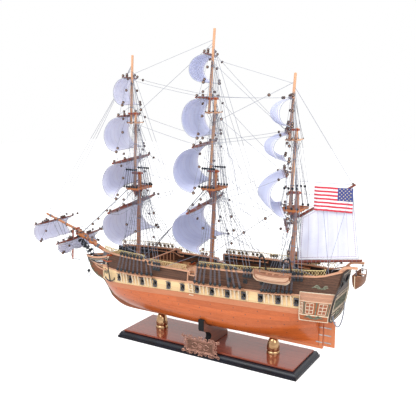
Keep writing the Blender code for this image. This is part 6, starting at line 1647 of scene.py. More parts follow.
def make_gun_ports():
    """A slate frame, a raised lid and a gun's muzzle at each port, two small ports aft and the boarding steps."""
    frames, guns, lids, bores, treads = [], [], [], [], []
    half = PORT_SIZE / 2
    for side in (PORT, STARBOARD):
        for n in range(PORT_COUNT):
            x = PORT_FORE_X + PORT_PITCH * n
            z = (strake_foot(x) + strake_head(x)) / 2
            slope = (half_beam(x + 0.002) - half_beam(x - 0.002)) / 0.004
            along = Vector((1, side * slope, 0)).normalized()
            out = Vector((-side * slope * side, side, 0)).normalized()
            wall = Vector((x, side * half_beam(x), z)) + out * 0.0003
            reach = half + 0.0008
            for u, w in ((0, 1), (0, -1), (1, 0), (-1, 0)):
                size = (0.0016, 0.0012, 2 * reach + 0.0016) if u else (2 * reach, 0.0012, 0.0016)
                frames.append(block(wall + along * u * reach + Vector((0, 0, w * reach)), size, (along, out, (0, 0, 1))))
            hinge = wall + Vector((0, 0, reach + 0.0008))
            lean = (out * 0.80 + Vector((0, 0, 0.60))).normalized()
            lids.append(block(hinge + lean * 0.0034, (2 * reach, 0.0068, 0.0011), (along, lean, along.cross(lean))))
            low = wall - Vector((0, 0, reach + 0.0008))
            down = (out * 0.80 - Vector((0, 0, 0.60))).normalized()
            lids.append(block(low + down * 0.0022, (2 * reach, 0.0044, 0.0010), (along, down, along.cross(down))))
            mouth = wall - out * (PORT_DEPTH - 0.0004)
            barrel = [(0.0, 0.0), (0.0026, 0.0), (0.0024, 0.0030), (0.0021, 0.0060), (0.0020, 0.0068), (0.0026, 0.0074), (0.0027, 0.0084),
                      (0.0021, 0.0090), (0.0013, 0.0090), (0.0013, 0.0075), (0.0, 0.0075)]
            guns.append(turned(barrel, mouth - Vector((0, 0, 0.0008)), out, 14))
            # a black disc down the bore, as painted shade
            bores.append(turned([(0.0, 0.0), (0.0012, 0.0), (0.0012, 0.0006), (0.0, 0.0006)],
                                mouth + out * 0.0078 - Vector((0, 0, 0.0008)), out, 10))
        for x, z in ((0.079, 0.2095), (0.120, 0.2115), (0.161, 0.2135)):
            spot = hull_side(x, z, side, 0.0004)
            # each small upper port is a black square on the side, as painted shade
            bores.append(block(spot, (0.0080, 0.0010, 0.0080)))
            for u, w in ((0, 1), (0, -1), (1, 0), (-1, 0)):
                size = (0.0012, 0.0016, 0.0104) if u else (0.0104, 0.0016, 0.0012)
                guns.append(block(spot + Vector((u * 0.0046, 0, w * 0.0046)), size))
        for n in range(5):
            z = 0.1835 - 0.0066 * n
            spot = hull_side(GANGWAY_X, z, side, 0.0012)
            treads.append(block(spot, (0.0130, 0.0044, 0.0018)))
    piece("gunport_frames", frames, PORT_GRAY, bevel=0.0002)
    piece("gunport_lids", lids, PORT_GRAY, bevel=0.0002)
    piece("gun_muzzles", guns, GUN_IRON, smooth=40)
    piece("gun_bores_and_upper_ports", bores, PORT_PAINTED_SHADE)
    piece("boarding_steps", treads, WHITE_TRIM, bevel=0.0003)


NET_HEIGHT, NET_PITCH = 0.0118, 0.0064
NET_RUNS = ((-0.322, -0.168), (-0.152, -0.040), (-0.004, 0.300))


def net_foot(x, side):
    return Vector((x, side * (rail_half(x) - BULWARK_THICKNESS / 2), rail_foot(x) + 2 * RAIL_RADIUS))


def make_nails():
    """Plank nails in columns along the hull's bottom, each a small domed head."""
    heads = []
    for side in (PORT, STARBOARD):
        for n, x in enumerate(np.arange(-0.275, 0.255, 0.0305)):
            for z in np.arange(strake_foot(x) - 0.020 - 0.0125 * (n % 2), rabbet(x) + 0.020, -0.025):
                spot = hull_side(x, z, side, -0.0002)
                heads.append(turned([(0.0, 0.0), (0.0013, 0.0), (0.0010, 0.0005), (0.0, 0.0007)], spot,
                                    (0, side, -0.3), 8))
    piece("hull_nail_heads", heads, GUN_IRON)


def make_bow_tackle():
    """Bees and cleats on the bowsprit, deadeyes on its shrouds and bobstays, and a block hung under the knee."""
    cheeks, slope = [], Vector((-1, 0, BOWSPRIT_SLOPE)).normalized()
    up = Vector((BOWSPRIT_SLOPE, 0, 1)).normalized()
    for side in (PORT, STARBOARD):
        for x, length in ((-0.434, 0.024), (-0.400, 0.014)):
            cheeks.append(block(Vector((x, side * (BOWSPRIT_RADIUS + 0.0022), bowsprit_height(x) + 0.0014)), (length, 0.0046, 0.0066),
                                (slope, (0, 1, 0), up)))
        for n, x in enumerate((-0.446, -0.436, -0.426, -0.416)):
            spot = Vector((x, side * (BOWSPRIT_RADIUS + 0.0058), bowsprit_height(x) - 0.0060 - 0.0045 * (n % 2)))
            lashed_pair(spot, spot + Vector((0.010, side * 0.0050, -0.0110)), (0, 1, 0.2))
        for x in (-0.462, -0.452, -0.442, -0.410):
            with_block((x, side * 0.0088, bowsprit_height(x) + 0.0060), (0.5, -0.85, 0), 0.0036)
    for x, drop in ((-0.446, 0.020), (-0.430, 0.028), (-0.414, 0.030)):
        top = Vector((x, 0, bowsprit_height(x) - BOWSPRIT_RADIUS))
        low = top.lerp(Vector((BOW_X - 0.040, 0, KEEL_Z + 0.092)), drop / 0.1)
        for way in (-0.0042, 0.0042):
            deadeyes.append(deadeye(low + Vector((0, way, 0)), (0.3, 1, 0), 0.0044))
            deadeyes.append(deadeye(low + Vector((0.006, way, -0.012)), (0.3, 1, 0), 0.0040))
    piece("bowsprit_bees", cheeks, TOP_WOOD, bevel=0.0008)
    hang = Vector((-0.4100, -0.0100, 0.1440))
    rope(standing, (-0.4175, -0.0035, 0.1850), hang, 0.0005)
    deadeyes.append(deadeye(hang, (0.5, -0.85, 0), 0.0046))
    standing.append(ring(hang - Vector((0, 0, 0.0105)), (0.5, -0.85, 0), 0.0044, 0.0007, 18))
    rope(standing, hang - Vector((0, 0, 0.004)), hang - Vector((0, 0, 0.0070)), 0.0006)


def make_nettings():
    """Hammock nettings of gold cord on the rails, crossed between the rail and a ridge rope."""
    cords, posts = [], []
    lift = Vector((0, 0, NET_HEIGHT))
    for side in (PORT, STARBOARD):
        for start, end in NET_RUNS:
            count = round((end - start) / NET_PITCH)
            feet = [net_foot(x, side) for x in np.linspace(start, end, count + 1)]
            for phase in (0, 1):
                cords.append(tube([foot + lift * ((i + phase) % 2) for i, foot in enumerate(feet)], 0.00075, 5))
            cords.append(tube([foot + lift for foot in feet], 0.0009, 6))
            for foot in feet[::5]:
                posts.append(tube([foot - Vector((0, 0, 0.0012)), foot + lift * 1.06], 0.0007, 6))
    piece("hammock_nettings", cords, NET_GOLD)
    piece("netting_stanchions", posts, GOLD_PAINT)


def make_gangways():
    """The entry's posts and frame, and the stepped rail at the fore end of the waist."""
    frames = []
    for side in (PORT, STARBOARD):
        for x in (GANGWAY_X - GANGWAY_WIDTH / 2 - 0.0010, GANGWAY_X + GANGWAY_WIDTH / 2 + 0.0010):
            foot = hull_side(x, strake_head(GANGWAY_X) + 0.003, side, 0.0008)
            frames.append(bar(foot, hull_side(x, rail_foot(x) + 0.003, side, 0.0010), 0.0030, 0.0026, (1, 0, 0)))
        sill = [hull_side(GANGWAY_X + dx, strake_head(GANGWAY_X) + 0.0035, side, 0.0012) for dx in (-0.013, 0.0, 0.013)]
        frames.append(bar(sill[0], sill[2], 0.0030, 0.0026))
        x = WAIST_FORE_X
        y = side * (rail_half(x) - BULWARK_THICKNESS / 2)
        curve = curve_points([(x - 0.010, 0, rail_foot(x - 0.01) + 0.0045), (x - 0.003, 0, rail_foot(x - 0.01) + 0.0060),
                              (x + 0.006, 0, rail_foot(x - 0.01) + 0.0020), (x + 0.014, 0, rail_foot(x + 0.01) + 0.0042)], 14)
        frames.append(moulding([(px, y, pz) for px, _, pz in curve],
                               [(-0.0030, -0.0013), (0.0030, -0.0013), (0.0030, 0.0013), (-0.0030, 0.0013)]))
    breast = [Vector((WAIST_FORE_X - 0.004, side * (rail_half(WAIST_FORE_X) - 0.004), rail_foot(WAIST_FORE_X - 0.01) + 0.003))
              for side in (PORT, STARBOARD)]
    frames.append(bar(breast[0], breast[1], 0.0034, 0.0030))
    for t in np.linspace(0.08, 0.92, 8):
        top = breast[0].lerp(breast[1], t)
        frames.append(bar(top, (top.x, top.y, deck_top(top.x) - 0.0005), 0.0016, 0.0016, (1, 0, 0)))
    piece("gangway_frames_and_breast_rail", frames, RAIL_WOOD, bevel=0.0004)


def make_deck_gear():
    """Hatches with gratings, guns on carriages, pin rails, a capstan and the wheel."""
    coamings, gratings, guns, carriages, fittings = [], [], [], [], []
    for x, length, width in ((-0.300, 0.020, 0.030), (-0.185, 0.030, 0.034), (-0.120, 0.046, 0.036), (-0.062, 0.030, 0.034),
                             (0.050, 0.034, 0.032), (0.130, 0.026, 0.030)):
        z = deck_top(x)
        for way in (-1, 1):
            coamings.append(block((x, way * width / 2, z + 0.0022), (length + 0.004, 0.0030, 0.0056)))
            coamings.append(block((x + way * length / 2, 0, z + 0.0022), (0.0030, width, 0.0056)))
        for y in np.arange(-width / 2 + 0.004, width / 2 - 0.002, 0.0036):
            gratings.append(block((x, y, z + 0.0036), (length, 0.0013, 0.0014)))
        for dx in np.arange(-length / 2 + 0.004, length / 2 - 0.002, 0.0036):
            gratings.append(block((x + dx, 0, z + 0.0030), (0.0013, width, 0.0014)))
    barrel = [(0.0, -0.0010), (0.0011, -0.0008), (0.0009, 0.0), (0.0029, 0.0006), (0.0030, 0.0040), (0.0024, 0.0100), (0.0020, 0.0160),
              (0.0026, 0.0172), (0.0024, 0.0186), (0.0, 0.0186)]
    for side in (PORT, STARBOARD):
        for x in (-0.140, -0.098, -0.056, 0.026, 0.068, 0.110):
            z, y = deck_top(x), rail_half(x) - 0.028
            spot = Vector((x, side * y, z + 0.0070))
            guns.append(turned(barrel, spot, (0, side, 0), 14))
            cheek = [(-0.002, 0.0), (0.012, 0.0), (0.012, 0.0052), (0.006, 0.0040), (0.002, 0.0026), (-0.002, 0.0018)]
            for dx in (-0.0034, 0.0034):
                carriages.append(board(cheek, 0.0018, (x + dx, side * y, z + 0.0012), ((0, side, 0), (0, 0, 1), (1, 0, 0))))
            for dx in (-0.0056, 0.0056):
                for dy in (0.001, 0.010):
                    carriages.append(turned([(0.0, -0.0007), (0.0018, -0.0007), (0.0018, 0.0007), (0.0, 0.0007)],
                                            (x + dx, side * (y + dy), z + 0.0018), (1, 0, 0), 12))
            for dy in (0.001, 0.010):
                carriages.append(bar((x - 0.0056, side * (y + dy), z + 0.0018), (x + 0.0056, side * (y + dy), z + 0.0018), 0.0012, 0.0012))
        for mast in MAST_X:
            x0, x1 = SHROUD_FORE[mast] + 0.006, SHROUD_FORE[mast] + SHROUD_SPREAD[mast]
            if mast == "main":
                x0 = 0.004
            inner = [Vector((x, side * (rail_half(x) - BULWARK_THICKNESS - 0.0022), rail_foot(x) - 0.0060)) for x in np.linspace(x0, x1, 9)]
            coamings += [bar(a, b, 0.0036, 0.0016) for a, b in zip(inner, inner[1:])]
            for a in inner:
                fittings.append(tube([a - Vector((0, 0, 0.0040)), a, a + Vector((0, 0, 0.0012)), a + Vector((0, 0, 0.0046))],
                                     [0.0004, 0.0005, 0.0009, 0.0006], 6))
    capstan = [(0.0, 0.0), (0.0086, 0.0), (0.0086, 0.0014), (0.0056, 0.0024), (0.0046, 0.0070), (0.0054, 0.0098), (0.0078, 0.0108),
               (0.0080, 0.0136), (0.0060, 0.0146), (0.0, 0.0146)]
    fittings.append(turned(capstan, (0.092, 0, deck_top(0.092) - 0.0004), around=24))
    hub = Vector((0.168, 0, deck_top(0.168) + 0.0110))
    fittings.append(ring(hub, (1, 0, 0), 0.0082, 0.0008, 24))
    fittings += [tube([hub, hub + Vector((0, math.cos(a), math.sin(a))) * 0.0104], 0.0005, 5) for a in np.linspace(0, math.tau, 8, endpoint=False)]
    for y in (-0.0105, 0.0105):
        fittings.append(bar((hub.x + 0.003, y, hub.z + 0.002), (hub.x + 0.003, y, deck_top(hub.x) - 0.0005), 0.0026, 0.0026, (1, 0, 0)))
    fittings.append(bar((hub.x + 0.003, -0.0105, hub.z), (hub.x + 0.003, 0.0105, hub.z), 0.0020, 0.0020))
    fittings.append(tube([hub, hub + Vector((0.004, 0, 0))], 0.0014, 10))
    piece("hatch_coamings_and_pin_rails", coamings, RAIL_WOOD, bevel=0.0003)
    piece("hatch_gratings", gratings, MAST_PALE)
    piece("deck_guns", guns, GUN_IRON, smooth=40)
    piece("gun_carriages", carriages, RED_WOOD, bevel=0.0002)
    piece("capstan_wheel_and_pins", fittings, TOP_WOOD, bevel=0.0002, smooth=45)


# Nameplate


def make_nameplate():
    """A cast plate on the base's port edge: openwork scroll border round a plain panel with a rosette."""
    low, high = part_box("nameplate")
    middle = (Vector(low) + Vector(high)) / 2
    wide, tall, deep = high[0] - low[0], high[2] - low[2], high[1] - low[1]
    axes = ((1, 0, 0), (0, 0, 1), (0, 1, 0))
    w, h = wide / 2 - 0.008, tall / 2 - 0.007
    outline = curve_points([(-w, -h * 0.8), (-w * 0.88, -h), (-w * 0.3, -h * 0.92), (0, -h), (w * 0.3, -h * 0.92), (w * 0.88, -h),
                            (w, -h * 0.8), (w * 0.95, 0), (w, h * 0.8), (w * 0.88, h), (w * 0.3, h * 0.92), (0, h), (-w * 0.3, h * 0.92),
                            (-w * 0.88, h), (-w, h * 0.8), (-w * 0.95, 0), (-w, -h * 0.8)], 97)[:-1]
    front = low[1] + 0.0008
    ground = [board(outline, deep * 0.6, (middle.x, high[1] - deep * 0.3, middle.z), axes)]
    relief = []

    def on_plate(u, v, off=0.0):
        return Vector((middle.x + u, front + off, middle.z + v))

    for inset, size in ((0.0, 0.0014), (0.0034, 0.0007)):
        loop = [on_plate(u * (1 - inset / w), v * (1 - inset / h), 0.0006) for u, v in outline]
        relief.append(tube(loop + loop[:1], size, 6))
    curls = ((w + 0.0042, h - 0.0020, 0.0064, 0.4), (w - 0.0046, h + 0.0040, 0.0056, 2.2), (w * 0.66, h + 0.0030, 0.0048, 0.0),
             (w + 0.0040, h * 0.34, 0.0048, 1.2), (w * 0.36, h + 0.0036, 0.0046, 3.0), (w + 0.0100, h + 0.0040, 0.0044, 3.6),
             (w * 0.10, h + 0.0046, 0.0040, 1.0))
    for su in (-1, 1):
        for sv in (-1, 1):
            for u, v, size, start in curls:
                if sv < 0:
                    v = min(v, tall / 2 - 0.0010)
                curl = scroll((0, 0, 0), (su, 0, 0), (0, 0, sv), size, 1.35, start, 20)
                relief.append(thinned([on_plate(su * u + p.x, sv * v + p.z, 0.0008) for p in curl], 0.0015))
            leaf = [(w * 0.60, h * 0.15), (w * 0.42, h * 0.42), (w * 0.22, h * 0.26), (w * 0.34, h * 0.06)]
            relief.append(thinned([on_plate(su * u, sv * v, 0.0005) for u, v in curve_points(leaf, 14)], 0.0012))
    for n in range(8):
        turn = math.tau * n / 8
        petal = [on_plate(r * math.cos(turn), r * math.sin(turn), 0.0004) for r in (0.0018, 0.0040, 0.0062)]
        relief.append(tube(petal, [0.0007, 0.0017, 0.0006], 6))
    relief.append(turned([(0.0, 0.0), (0.0021, 0.0), (0.0017, 0.0007), (0.0, 0.0010)], on_plate(0, 0, 0.0004), (0, -1, 0), 12))
    relief.append(ring(on_plate(0, 0, 0.0005), (0, 1, 0), 0.0080, 0.0006, 28))
    piece("nameplate_ground", ground, PLATE_DARK, bevel=0.0003, stands_for=("nameplate",))
    piece("nameplate_casting", relief, COPPER_CAST, smooth=45)


# Standing and running rigging


def shroud_head(mast):
    return mast_axis(mast, 0, KEEL_Z + TOP_HEIGHT[mast] - TOP_THICKNESS / 2 - COLLAR_DROP)


def channel_top(x):
    return strake_head(x) + GAP + 0.003


def shroud_foot(mast, x):
    """How far out and how high a shroud ends, so that it passes outside the cap rail."""
    low, high = channel_top(x) + GAP + ROPE_WIDTH, shroud_head(mast).z
    up = (rail_foot(x) + GAP + RAIL_RADIUS - low) / (high - low)
    inner = LOWER_RADIUS + GAP + COLLAR_RADIUS
    outside = rail_half(x) - BULWARK_THICKNESS / 2 + RAIL_RADIUS + ROPE_WIDTH + 0.0015
    return (outside - inner * up) / (1 - up), low


def deadeye(centre, axis, radius=0.0040):
    """A round grooved disc of hardwood."""
    profile = [(0.0, -0.42), (0.72, -0.42), (0.98, -0.24), (0.90, 0.0), (0.98, 0.24), (0.72, 0.42), (0.0, 0.42)]
    return turned([(r * radius, h * radius) for r, h in profile], centre, axis, 12)


SHROUD_SHARES = {"fore": [n / 8 for n in range(9)], "main": [0.0, 0.10, 0.20, 0.36, 0.46, 0.57, 0.76, 0.88, 1.0],
                 "mizzen": [n / 4 for n in range(5)]}
MIZZEN_FORE_PAIRS = (0.1665, 0.1745, 0.1825, 0.1905)
deadeyes, lanyards, blocks, sheaves = [], [], [], []


def lashed_pair(low, high, axis, radius=0.0040):
    """Two deadeyes joined by three turns of lanyard."""
    deadeyes.extend([deadeye(low, axis, radius), deadeye(high, axis, radius)])
    side = (high - low).cross(Vector(axis)).normalized()
    for spread in (-0.45, 0.0, 0.45):
        lanyards.append(tube([low + side * spread * radius, high + side * spread * radius], 0.00036, 5))


def make_shrouds(mast):
    head = shroud_head(mast)
    inner = LOWER_RADIUS + GAP + COLLAR_RADIUS
    ropes, ratlines = [], []
    for side in (PORT, STARBOARD):
        lines = []
        for across in SHROUD_SHARES[mast]:
            x = SHROUD_FORE[mast] + SHROUD_SPREAD[mast] * across
            y, z = shroud_foot(mast, x)
            foot = Vector((x, side * y, z))
            top = Vector((head.x + 0.016 * (across - 0.35), side * inner, head.z))
            rise = (top.z - foot.z)
            low = foot.lerp(top, 0.0042 / rise)
            high = foot.lerp(top, (rail_foot(max(x, GANGWAY_X + 0.012) if mast == "main" else x) + 0.0085 - foot.z) / rise)
            lashed_pair(low, high, (0, 1, 0.25 * side))
            ropes.append(tube([high, top], 0.0005, 6))
            lines.append((high, top))
        levels = np.arange(max(a.z for a, _ in lines) + 0.006, head.z - 0.014, 0.0088)
        for level in levels:
            row = [a.lerp(b, (level - a.z) / (b.z - a.z)) for a, b in lines]
            path = []
            for a, b in zip(row, row[1:]):
                path += [a, (a + b) / 2 - Vector((0, 0, 0.0005))]
            ratlines.append(tube(path + [row[-1]], 0.00026, 4))
        # the sheer pole above the deadeyes
        ends = [lines[0][0].lerp(lines[0][1], 0.035), lines[-1][0].lerp(lines[-1][1], 0.035)]
        ropes.append(tube([a.lerp(b, 0.035) for a, b in lines], 0.0006, 5))
    ropes.append(ring(head, mast_way(mast, 0), inner, COLLAR_RADIUS, 20, 8))
    for turn in (1, 2):
        ropes.append(ring(head + Vector((0, 0, 0.0016 * turn)), mast_way(mast, 0), inner - 0.0003, 0.0009, 20, 6))
    piece(f"{mast}_lower_shrouds", ropes, ROPE_DARK, stands_for=(f"{mast}_shrouds",))

    # topmast and topgallant shrouds, and the futtocks under the top
    upper = []
    centre, trees = top_centre(mast), tree_centre(mast)
    number = 4 if mast == "mizzen" else 6
    for side in (PORT, STARBOARD):
        lines = []
        for n in range(number):
            x = 0.021 * (n / (number - 1) * 1.9 - 0.90)
            rim = centre + Vector((x, side * (TOP_WIDTH / 2 + 0.0006), TOP_THICKNESS / 2 + 0.0028))
            top = mast_axis(mast, 1, trees.z - 0.004) + Vector((0.002 * n - 0.004, side * (TOPMAST_RADIUS + 0.0006), 0))
            high = rim.lerp(top, 0.044 / (top.z - rim.z))
            lashed_pair(rim, high, (0, 1, 0.25 * side), 0.0031)
            upper.append(tube([high, top], 0.00042, 5))
            lines.append((high, top))
            below = shroud_head(mast) + Vector((x * 0.5, side * (inner + 0.010), -0.026))
            upper.append(tube([rim - Vector((0, 0, TOP_THICKNESS + 0.003)), below], 0.0005, 5))
        for level in np.arange(lines[0][0].z + 0.006, trees.z - 0.012, 0.0088):
            row = [a.lerp(b, (level - a.z) / (b.z - a.z)) for a, b in lines]
            ratlines.append(tube(row, 0.00024, 4))
        stay_z = KEEL_Z + CROSSTREE_HEIGHT[mast] + (TRUCK_HEIGHT[mast] - CROSSTREE_HEIGHT[mast]) * 0.62
        for n, x in enumerate((-0.012, 0.0, 0.012)):
            arm = trees + Vector((x + 0.004, side * TREE_WIDTH / 2 * (0.80 + 0.10 * n), 0.0030))
            hold = mast_axis(mast, 2, stay_z) + Vector((0.001 * n, side * TOPGALLANT_RADIUS * 0.8, 0))
            upper.append(tube([arm, hold], 0.00042, 5))
            deadeyes.append(deadeye(arm, (0, 1, 0), 0.0017))
            upper.append(tube([arm, mast_axis(mast, 1, trees.z - 0.030) + Vector((0, side * TOPMAST_RADIUS, 0))], 0.0004, 5))
    piece(f"{mast}_upper_shrouds", upper, ROPE_DARK)
    piece(f"{mast}_ratlines", ratlines, ROPE_GRAY)


def make_channels():
    boards, knees, irons = [], [], []
    for mast in MAST_X:
        for side in (PORT, STARBOARD):
            places = [SHROUD_FORE[mast] - 0.002 + (SHROUD_SPREAD[mast] + 0.004) * i / 12 for i in range(13)]
            feet = [SHROUD_FORE[mast] + SHROUD_SPREAD[mast] * share for share in SHROUD_SHARES[mast]]
            runs = [places]
            if mast == "mizzen":
                runs.append([MIZZEN_FORE_PAIRS[0] - 0.004 + 0.0310 * i / 6 for i in range(7)])
                feet += MIZZEN_FORE_PAIRS
            for run in runs:
                rows = []
                for x in run:
                    near = side * (half_beam(x) - BULWARK_THICKNESS / 2)
                    far = side * (shroud_foot(mast, x)[0] + 0.002)
                    high = channel_top(x)
                    rows.append([Vector((x, far, high - 0.002)), Vector((x, far, high)), Vector((x, near, high)),
                                 Vector((x, near, high - 0.002))])
                boards.append(skin(rows, wrap=True, caps=True))
            for x in feet:
                y = shroud_foot(mast, x)[0]
                irons.append(bar((x, side * (y + 0.0006), channel_top(x) + 0.001),
                                 (x, side * (half_beam(x) + 0.0010), strake_head(x) - 0.006), 0.0011, 0.0007, (1, 0, 0)))
            # curved brackets under the board, in groups of three between the gunports
            for port in range(PORT_COUNT):
                for slot in (0.25, 0.5, 0.75):
                    x = PORT_FORE_X + PORT_PITCH * (port + slot)
                    if not places[0] - 0.030 < x < places[-1] + 0.012:
                        continue
                    high, low, wall = strake_head(x) - 0.0006, strake_foot(x) + 0.004, half_beam(x)
                    drop = (high - low)
                    curve = [(wall - 0.0005, high), (wall + 0.0072, high), (wall + 0.0066, high - drop * 0.22),
                             (wall + 0.0040, high - drop * 0.52), (wall + 0.0026, high - drop * 0.80), (wall + 0.0020, low),
                             (wall - 0.0005, low)]
                    knees.append(board(curve, 0.0030, (x, 0, 0), ((0, side, 0), (0, 0, 1), (1, 0, 0))))
    piece("channel_boards", boards, RAIL_WOOD, bevel=0.0003)
    piece("channel_knees", knees, WHITE_TRIM, bevel=0.0003)
    piece("chain_plates", irons, BLACK_PAINT)


standing, running, thin = [], [], []


def rope(kind, start, end, radius, sag=0.0):
    """A rope between two points, with a little sag where it isn't hauled taut."""
    start, end = Vector(start), Vector(end)
    count = 9 if sag else 2
    path = [start.lerp(end, t) - Vector((0, 0, sag * 4 * t * (1 - t))) for t in np.linspace(0, 1, count)]
    kind.append(tube(path, radius, 5))


def with_block(point, axis=(0, 1, 0), size=0.0038):
    shell, pin = pulley(point, axis, size)
    blocks.append(shell)
    sheaves.append(pin)


def make_rigging():
    def head(mast, share, step):
        low = (deck_top(MAST_X[mast]), KEEL_Z + TOP_HEIGHT[mast], KEEL_Z + CROSSTREE_HEIGHT[mast])[step]
        high = (KEEL_Z + LOWER_HEAD[mast], KEEL_Z + TOPMAST_HEAD[mast], KEEL_Z + TRUCK_HEIGHT[mast])[step]
        return mast_axis(mast, step, low + (high - low) * share)

    def jib(x):
        return Vector((x, 0, jib_boom_height(x) + JIB_BOOM_RADIUS * 0.8))

    def collar(mast, above):
        """Where the upper stays hold the pole: over the royal yard, so that they clear the sails."""
        return mast_axis(mast, 2, yard_place(f"{mast}_royal")[0].z + above)

    # stays, forward of each mast
    rope(standing, head("fore", 0.93, 0), (-0.440, 0, bowsprit_height(-0.440) + BOWSPRIT_RADIUS), 0.0011)
    rope(standing, head("fore", 0.88, 0), (-0.405, 0, bowsprit_height(-0.405) + BOWSPRIT_RADIUS), 0.0008)
    for x, above in ((-0.571, 0.028), (-0.553, 0.032), (-0.532, 0.036)):
        rope(running, collar("fore", above), jib(x), 0.00048)
    rope(standing, head("main", 0.93, 0), (-0.228, 0.012, deck_top(-0.228) + 0.012), 0.0011)
    rope(standing, head("main", 0.88, 0), (-0.228, -0.012, deck_top(-0.228) + 0.012), 0.0008)
    rope(running, collar("main", 0.028), head("fore", 0.97, 1), 0.00048)
    rope(running, collar("main", 0.034), collar("fore", 0.008), 0.0004)
    rope(standing, head("mizzen", 0.93, 0), mast_axis("main", 0, deck_top(0.0) + 0.050), 0.0006)
    rope(running, collar("mizzen", 0.030), collar("main", -0.010), 0.0004)
    rope(running, collar("mizzen", 0.034), head("main", 0.72, 1), 0.00048)
    # blocks and hearts along the stays
    for start, end, places in ((head("fore", 0.93, 0), (-0.440, 0, bowsprit_height(-0.440)), (0.55, 0.70, 0.80)),
                               (head("fore", 0.88, 0), (-0.405, 0, bowsprit_height(-0.405)), (0.62, 0.78)),
                               (head("main", 0.93, 0), (-0.228, 0.012, deck_top(-0.228)), (0.30, 0.55)),
                               (head("main", 0.88, 0), (-0.228, -0.012, deck_top(-0.228)), (0.42, 0.72)),
                               (head("mizzen", 0.93, 0), mast_axis("main", 0, deck_top(0.0) + 0.050), (0.35, 0.60)),
                               (collar("main", 0.028), head("fore", 0.97, 1), (0.93,)),
                               (collar("mizzen", 0.034), head("main", 0.72, 1), (0.30, 0.90))):
        for t in places:
            with_block(Vector(start).lerp(Vector(end), t), (0.5, -0.85, 0), 0.0040)
    # bobstays, martingale and the sprit's side stays
    striker = Vector((BOWSPRIT_CAP_X - STRIKER_AHEAD - STRIKER_RAKE, 0, jib_boom_height(BOWSPRIT_CAP_X - STRIKER_AHEAD) - STRIKER_LENGTH))
    for x in (-0.400, -0.425, -0.448):
        rope(standing, (x, 0, bowsprit_height(x) - BOWSPRIT_RADIUS), (BOW_X - 0.040, 0, KEEL_Z + 0.092), 0.0008)
    for x in (-0.490, -0.515, -0.535):
        rope(standing, (x, 0, jib_boom_height(x) - JIB_BOOM_RADIUS * 0.8), striker, 0.0006)
    for side in (PORT, STARBOARD):
        rope(standing, striker, (BOW_X + 0.004, side * 0.020, KEEL_Z + 0.118), 0.0006)
        rope(standing, (-0.448, side * 0.005, bowsprit_height(-0.448)), (BOW_X + 0.012, side * half_beam(BOW_X + 0.012), KEEL_Z + 0.128), 0.0007)
        rope(standing, (-0.560, side * 0.003, jib_boom_height(-0.560)), yard_point("spritsail", -side * 0.72), 0.0005)
        rope(standing, yard_point("spritsail", -side * 0.72), (BOW_X + 0.014, side * half_beam(BOW_X + 0.014), KEEL_Z + 0.140), 0.0005)
    # backstays, from the mastheads to the channels' after ends
    for mast in MAST_X:
        for side in (PORT, STARBOARD):
            for n, (share, step) in enumerate(((0.96, 1), (0.62, 2), (0.80, 2))):
                x = SHROUD_FORE[mast] + SHROUD_SPREAD[mast] + 0.0035 + 0.0078 * n
                y = rail_half(x) + 0.006
                foot = Vector((x, side * y, rail_foot(x) + 0.010))
                rope(running, head(mast, share, step), foot, 0.00045)
                lashed_pair(Vector((x, side * (y + 0.002), rail_foot(x) - 0.004)), foot, (0, 1, 0))
    for side in (PORT, STARBOARD):
        for n, x in enumerate(MIZZEN_FORE_PAIRS):
            y, z = shroud_foot("mizzen", x)
            foot, top = Vector((x, side * y, z)), shroud_head("mizzen") + Vector((0.001 * n - 0.006, side * 0.0045, 0.002))
            rise = top.z - foot.z
            high = foot.lerp(top, (rail_foot(x) + 0.0085 - foot.z) / rise)
            lashed_pair(foot.lerp(top, 0.0042 / rise), high, (0, 1, 0.25 * side))
            rope(standing, high, top, 0.0005)
    # lifts, braces, halyards, clew lines and bunt lines of every yard
    for name in (*SQUARE_RIG, *SPRIT_RIG):
        mast = name.split("_")[0]
        centre, along, ahead, length, face = yard_place(name)
        radius = yard_radius(length)
        if name in SPRIT_RIG:
            lift = Vector((centre.x + 0.020, 0, centre.z + 0.026))
        else:
            lift = mast_axis(mast, (centre.z >= KEEL_Z + TOP_HEIGHT[mast]) + (centre.z >= KEEL_Z + CROSSTREE_HEIGHT[mast]),
                             centre.z + length * 0.17)
        for side in (PORT, STARBOARD):
            share = -side * 0.95
            arm = yard_point(name, share)
            rope(running, arm + Vector((0, 0, radius * 0.6)), lift, 0.00042)
            with_block(arm + Vector((0.002, 0, radius * 0.6 + 0.003)), along, 0.0034)
            with_block(arm.lerp(lift, 0.45), along, 0.0034)
            # foot rope that the hands stand on
            inner_end = yard_point(name, -side * 0.08) - Vector((0, 0, radius))
            rope(running, arm - Vector((0, 0, radius * 0.5)), inner_end + ahead * -0.004, 0.0004, length * 0.035)
            for s in (0.35, 0.66):
                hang = yard_point(name, -side * s)
                rope(running, hang, hang - Vector((0, 0, radius + length * 0.03)) - ahead * 0.003, 0.0003)
            # clew line, up the sail's after side to the yard
            if name in CLEWS:
                clew = CLEWS[name][side]
                with_block(clew + Vector((0.0025, 0, 0)), along, 0.0040)
                hauled = yard_point(name, -side * 0.30) - Vector((0, 0, radius)) - ahead * 0.002
                rope(thin, clew, hauled, 0.0003)
                for t in (0.10, 0.55):
                    with_block(clew.lerp(hauled, t) - ahead * 0.003, along, 0.0036)
        for share in (-0.42, 0.42):
            for n in (-1, 0, 1) if name in SPRIT_RIG else (0,):
                with_block(yard_point(name, share) + along * 0.0072 * n + Vector((0, 0, radius + 0.0024)) - ahead * 0.001, along, 0.0036)
